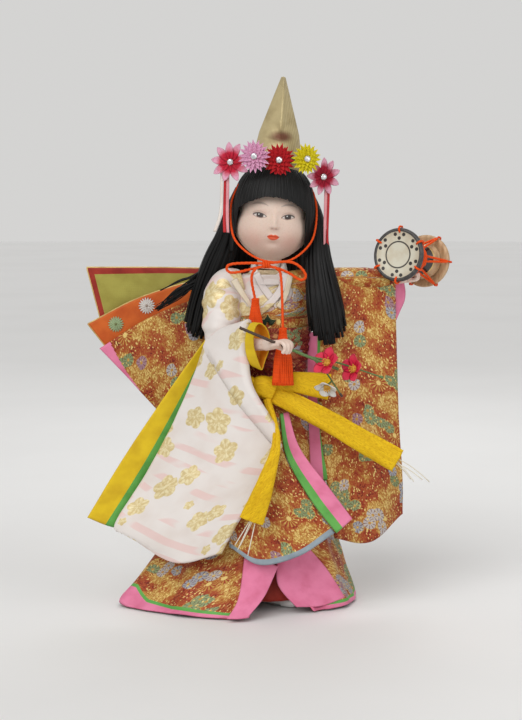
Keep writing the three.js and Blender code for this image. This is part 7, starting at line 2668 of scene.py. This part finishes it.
@dataclass
class Drum:
    """Lacquered hand drum: hourglass body, two hide heads and their orange lacing."""

    origin: Place = (74.5, -20.0, 222.0)
    axis: Place = (0.5, 0.855, -0.14)
    length: float = 42.0
    head_radius: float = 16.5
    body_outline: Points = (
        (11.5, 3.5), (11.2, 6.5), (6.3, 14.3), (4.5, 17.6), (4.5, 24.4), (6.3, 27.7), (11.2, 35.5),
        (11.5, 38.5),
    )
    rim_section: Points = (
        (-2.9, 0.5), (-2.2, 0.25), (-1.6, -0.1), (-0.8, -0.05), (-0.1, 0.7), (0, 1.6), (-0.1, 2.5),
        (-0.8, 3.1), (-2.2, 3.0), (-2.9, 2.6),
    )
    hook: Points = ((17.4, 3.4), (17.3, 0.6), (16.4, -0.6), (15.0, -0.5), (13.8, 0.7))
    band_at: float = 11.5
    band_half: float = 0.5
    bare_from: float = 33.0
    laces: int = 6
    lace_radius: float = 0.7
    lace_rim: float = 17.8
    lace_waist: float = 7.2
    lace_end: float = 1.6
    belt: Pair = (18.6, 23.4)
    belt_turns: int = 4

    def place(self) -> np.ndarray:
        """Gives the drum's frame, which turns on its third axis."""
        matrix = np.eye(4)
        way = Vector((0, 0, 1)).rotation_difference(Vector(self.axis).normalized())
        matrix[:3, :3] = np.array(way.to_matrix())
        matrix[:3, 3] = self.origin
        return matrix

    def body(self) -> None:
        """Turns the hourglass body with its gold bands."""
        middle = self.length / 2
        outline = spline(self.body_outline, 90)
        outline[:, 0] += 0.25 * np.exp(-(((outline[:, 1] - middle) / 1.2) ** 2))
        gold = [abs(abs(z - middle) - self.band_at) < self.band_half for z in outline[:-1, 1]]
        bare = [int(z > self.bare_from) for z in outline[:-1, 1]]
        bands = [1 if gilt else 2 * wood for gilt, wood in zip(gold, bare)]
        form = Form()
        profile = [(0.05, 3.5), *outline.tolist(), (0.05, 38.5)]
        form.add_lathe(profile, self.place(), 64, np.array([0, *bands, 2]))
        piece = form.build("drum_lacquer_body", [BLACK_LACQUER, GOLD_PIPING, PALE_WOOD])
        settle(piece, "left_hand", "drum_wood", "drum_body")

    def head(self, name: str, start: float, outward: int) -> None:
        """Stretches one hide head on its rim.

        Args:
            name: front or back.
            start: where its outer face lies along the drum.
            outward: -1 where it faces back along the axis, 1 where it faces along it.
        """
        section = [(0.02, 0.5), *((self.head_radius + over, z) for over, z in self.rim_section), (0.02, 2.6)]
        profile = [(r, start - outward * z) for r, z in section]
        parts = np.array([0, 0, 1, 1, 1, 1, 1, 1, 1, 2, 2])
        if outward > 0:
            profile, parts = profile[::-1], parts[::-1]
        form = Form()
        form.add_lathe(profile, self.place(), 72, parts)
        rim = RIM_LACQUER if outward < 0 else PALE_WOOD
        piece = form.build(f"drum_hide_{name}", [HIDE, rim, PALE_WOOD])
        settle(piece, "left_hand", "drum_skin", f"drum_head_{name}")

    def lacing(self) -> None:
        """Laces the two heads together over the waist, with a hook at each hole."""
        step = math.tau / self.laces

        def at(radius: float, turn: float, height: float) -> Place:
            """Gives a place round the drum."""
            return radius * math.cos(turn), radius * math.sin(turn), height

        stops = []
        form = Form()
        for number in range(self.laces):
            turn = step * number
            stops += [
                at(self.lace_rim, turn, self.lace_end),
                at(self.lace_waist, turn + 0.25 * step, self.length / 2),
                at(self.lace_rim, turn + 0.5 * step, self.length - self.lace_end),
                at(self.lace_waist, turn + 0.75 * step, self.length / 2),
            ]
            for shift, base, sign in ((0, 0, 1), (0.5, self.length, -1)):
                bend = [at(radius, turn + shift * step, base + sign * z) for radius, z in self.hook]
                form.add_tube(placed(spline(bend, 24), self.place()), self.lace_radius * 0.95, sides=10)
        knots = np.array([*stops, stops[0]])
        run = np.linspace(0, len(knots) - 1, 900, endpoint=False)
        line = [np.interp(run, np.arange(len(knots)), part) for part in knots.T]
        blur = np.ones(19) / 19
        line = [np.convolve(np.concatenate([part[-9:], part, part[:9]]), blur, "valid") for part in line]
        strands = twisted(0.1, 2.4)
        lace = placed(np.stack(line, axis=-1), self.place())
        form.add_tube(lace, self.lace_radius, sides=10, relief=strands)
        turns = np.linspace(0, self.belt_turns * math.tau, 260)
        girth = self.lace_waist + 1.3
        belt = [girth * np.cos(turns), girth * np.sin(turns), np.linspace(*self.belt, 260)]
        belt = placed(np.stack(belt, axis=-1), self.place())
        form.add_tube(belt, self.lace_radius * 0.95, sides=10, relief=strands)
        settle(form.build("drum_cord_lacing", [ORANGE_BRAID]), "left_hand", "cord_orange", "drum_lacing")

    def build(self) -> None:
        """Makes the drum."""
        self.body()
        self.head("front", 0.0, -1)
        self.head("back", self.length, 1)
        self.lacing()


@dataclass
class Branch:
    """Wrapped wire branch with two red blossoms and a white one."""

    start: Place = (-21.5, -50.5, 180.0)
    way: Place = (0.92, 0.0, -0.39)
    length: float = 64.0
    radius: float = 0.9
    twig_radius: float = 0.63
    grip: float = 31.0
    blossoms: tuple = (
        ("inner", 55, (2, -2.8, 0.5), (-0.6, -0.62, 0.5), 9.6, BLOSSOM_PETAL, "blossom_pink"),
        ("outer", 74, (0.3, -1.2, 4.2), (-0.74, -0.62, 0.24), 9.0, BLOSSOM_PETAL, "blossom_pink"),
        ("white", 60, (-2.8, -1.6, -11.4), (-0.3, -0.62, -0.72), 7.5, WHITE_PETAL, "blossom_white"),
    )
    stalk_feet: tuple = ((52, (0, 0, 0)), (71, (1.5, 1.7, 3.9)), (60.5, (-0.8, 0.3, -8.4)))
    heart: Points = ((0.02, 0.5), (2.3, 0.6), (2.2, 1.3), (1.4, 2.1), (0.02, 2.4))
    petals: int = 5
    stamens: int = 12
    stamen_radius: float = 0.16
    wrap: Pair = (0.07, 2.6)

    def along(self, distance: float, shift: Sequence[float] = (0, 0, 0)) -> np.ndarray:
        """Gives a place along the stem, with a shift from it."""
        return np.array(self.start) + unit(self.way) * distance + np.array(shift)

    def stem(self) -> None:
        """Makes the stem, dark to the hand and green beyond it, with its twigs."""
        form = Form()

        def wrapped(angle: np.ndarray, run: np.ndarray) -> np.ndarray:
            """Gives the turns of the wrapping tape."""
            depth, twist = self.wrap
            turn = np.sin(run * twist + angle)
            return 1 + depth * np.sign(turn) * np.abs(turn) ** 0.5

        whole = np.linspace(0, self.length, 220)
        for part, slot in ((whole[whole <= self.grip], 1), (whole[whole >= self.grip - 0.5], 0)):
            line = np.array([self.along(place) for place in part])
            form.add_tube(line, self.radius, None, 12, slot, wrapped)
        twigs = (
            [self.along(44), self.along(62, (2, 1, 3)), self.along(92, (0, 3, 6))],
            [self.along(48), self.along(56, (0, 0, -5)), self.along(68, (-2, 1, -14))],
        )
        for slot, twig in enumerate(twigs):
            size = np.linspace(self.twig_radius, self.twig_radius * 0.7, 60)
            form.add_tube(spline(twig, 60), size, None, 10, 0, wrapped)
            end = twig[-1] + np.linspace(-1.2, 1.2, 7)[:, None] * unit(twig[-1] - twig[-2])
            form.add_tube(end, 0.8, sides=10, slots=slot)
        for (distance, shift), (_, place, aside, face, *_) in zip(self.stalk_feet, self.blossoms):
            back = self.along(place, aside) - 1.3 * unit(face)
            form.add_tube(np.linspace(self.along(distance, shift), back, 8), self.twig_radius * 0.85, None, 8)
        settle(form.build("branch_wire", [GREEN_WRAP, BROWN_WRAP]), "branch", "wire_green", "branch_stem")

    def blossom(
        self, name: str, distance: float, shift: Place, face: Place, radius: float, petal: Petal, slot: str
    ) -> None:
        """Makes one five-petalled blossom.

        Args:
            name: name of the blossom.
            distance: its place along the stem.
            shift: its shift from the stem.
            face: the way that it faces.
            radius: its radius.
            petal: finish of its petals.
            slot: name of a finish; not used.
        """
        out = unit(face)
        across = unit(np.cross((0, 0, 1), out))
        matrix = turn_to(self.along(distance, shift), across, np.cross(out, across))
        form = Form()
        for number in range(self.petals):
            angle = math.tau * (number / self.petals + 0.05)
            tip = radius * (0.97 + 0.03 * math.sin(7 * number))
            add_petal(form, matrix, angle, (0.6, tip), radius * 0.46, (0.3, 3.0), 1.2, 0, 5.0, 0.35)
        form.add_lathe(self.heart, matrix, 24, np.ones(4, int))
        for number in range(self.stamens):
            angle = 2.4 * number
            reach = radius * (0.12 + 0.16 * (number % 3) / 2)
            tip = np.array((reach * math.cos(angle), reach * math.sin(angle), 3.6 - 0.5 * (number % 3)))
            thread = spline([(0, 0, 0.4), tip * (0.5, 0.5, 0.7), tip], 8)
            form.add_tube(placed(thread, matrix), self.stamen_radius, sides=6, slots=1)
            bead = [tip - (0, 0, 0.35), tip, tip + (0, 0, 0.35)]
            form.add_tube(placed(bead, matrix), (0.25, 0.42, 0.25), sides=8, slots=1)
        foot = spline([(0, 0, -1.4), (0, 0, 0), (0, 0, 1.0)], 8)
        form.add_tube(placed(foot, matrix), np.linspace(0.7, 1.5, 8), sides=12, slots=2)
        piece = form.build(f"blossom_{name}_silk", [petal, STAMEN, GREEN_WRAP])
        settle(piece, "branch", slot, f"blossom_{name}")

    def build(self) -> None:
        """Makes the branch and its blossoms."""
        self.stem()
        for blossom in self.blossoms:
            self.blossom(*blossom)


def main() -> None:
    """Builds the studio and the doll's pieces in order."""
    logging.basicConfig(level=logging.INFO, format="%(name)s %(message)s")
    Studio().build()
    CordWork().build()
    Face().build()
    Wig().build()
    CourtCap().build()
    WhiteRobe().build()
    BrocadeRobe().build()
    Obi().build()
    Sash().build()
    HeadFlowers().build()
    Limbs().build()
    Drum().build()
    Branch().build()


if __name__ == "__main__":
    main()
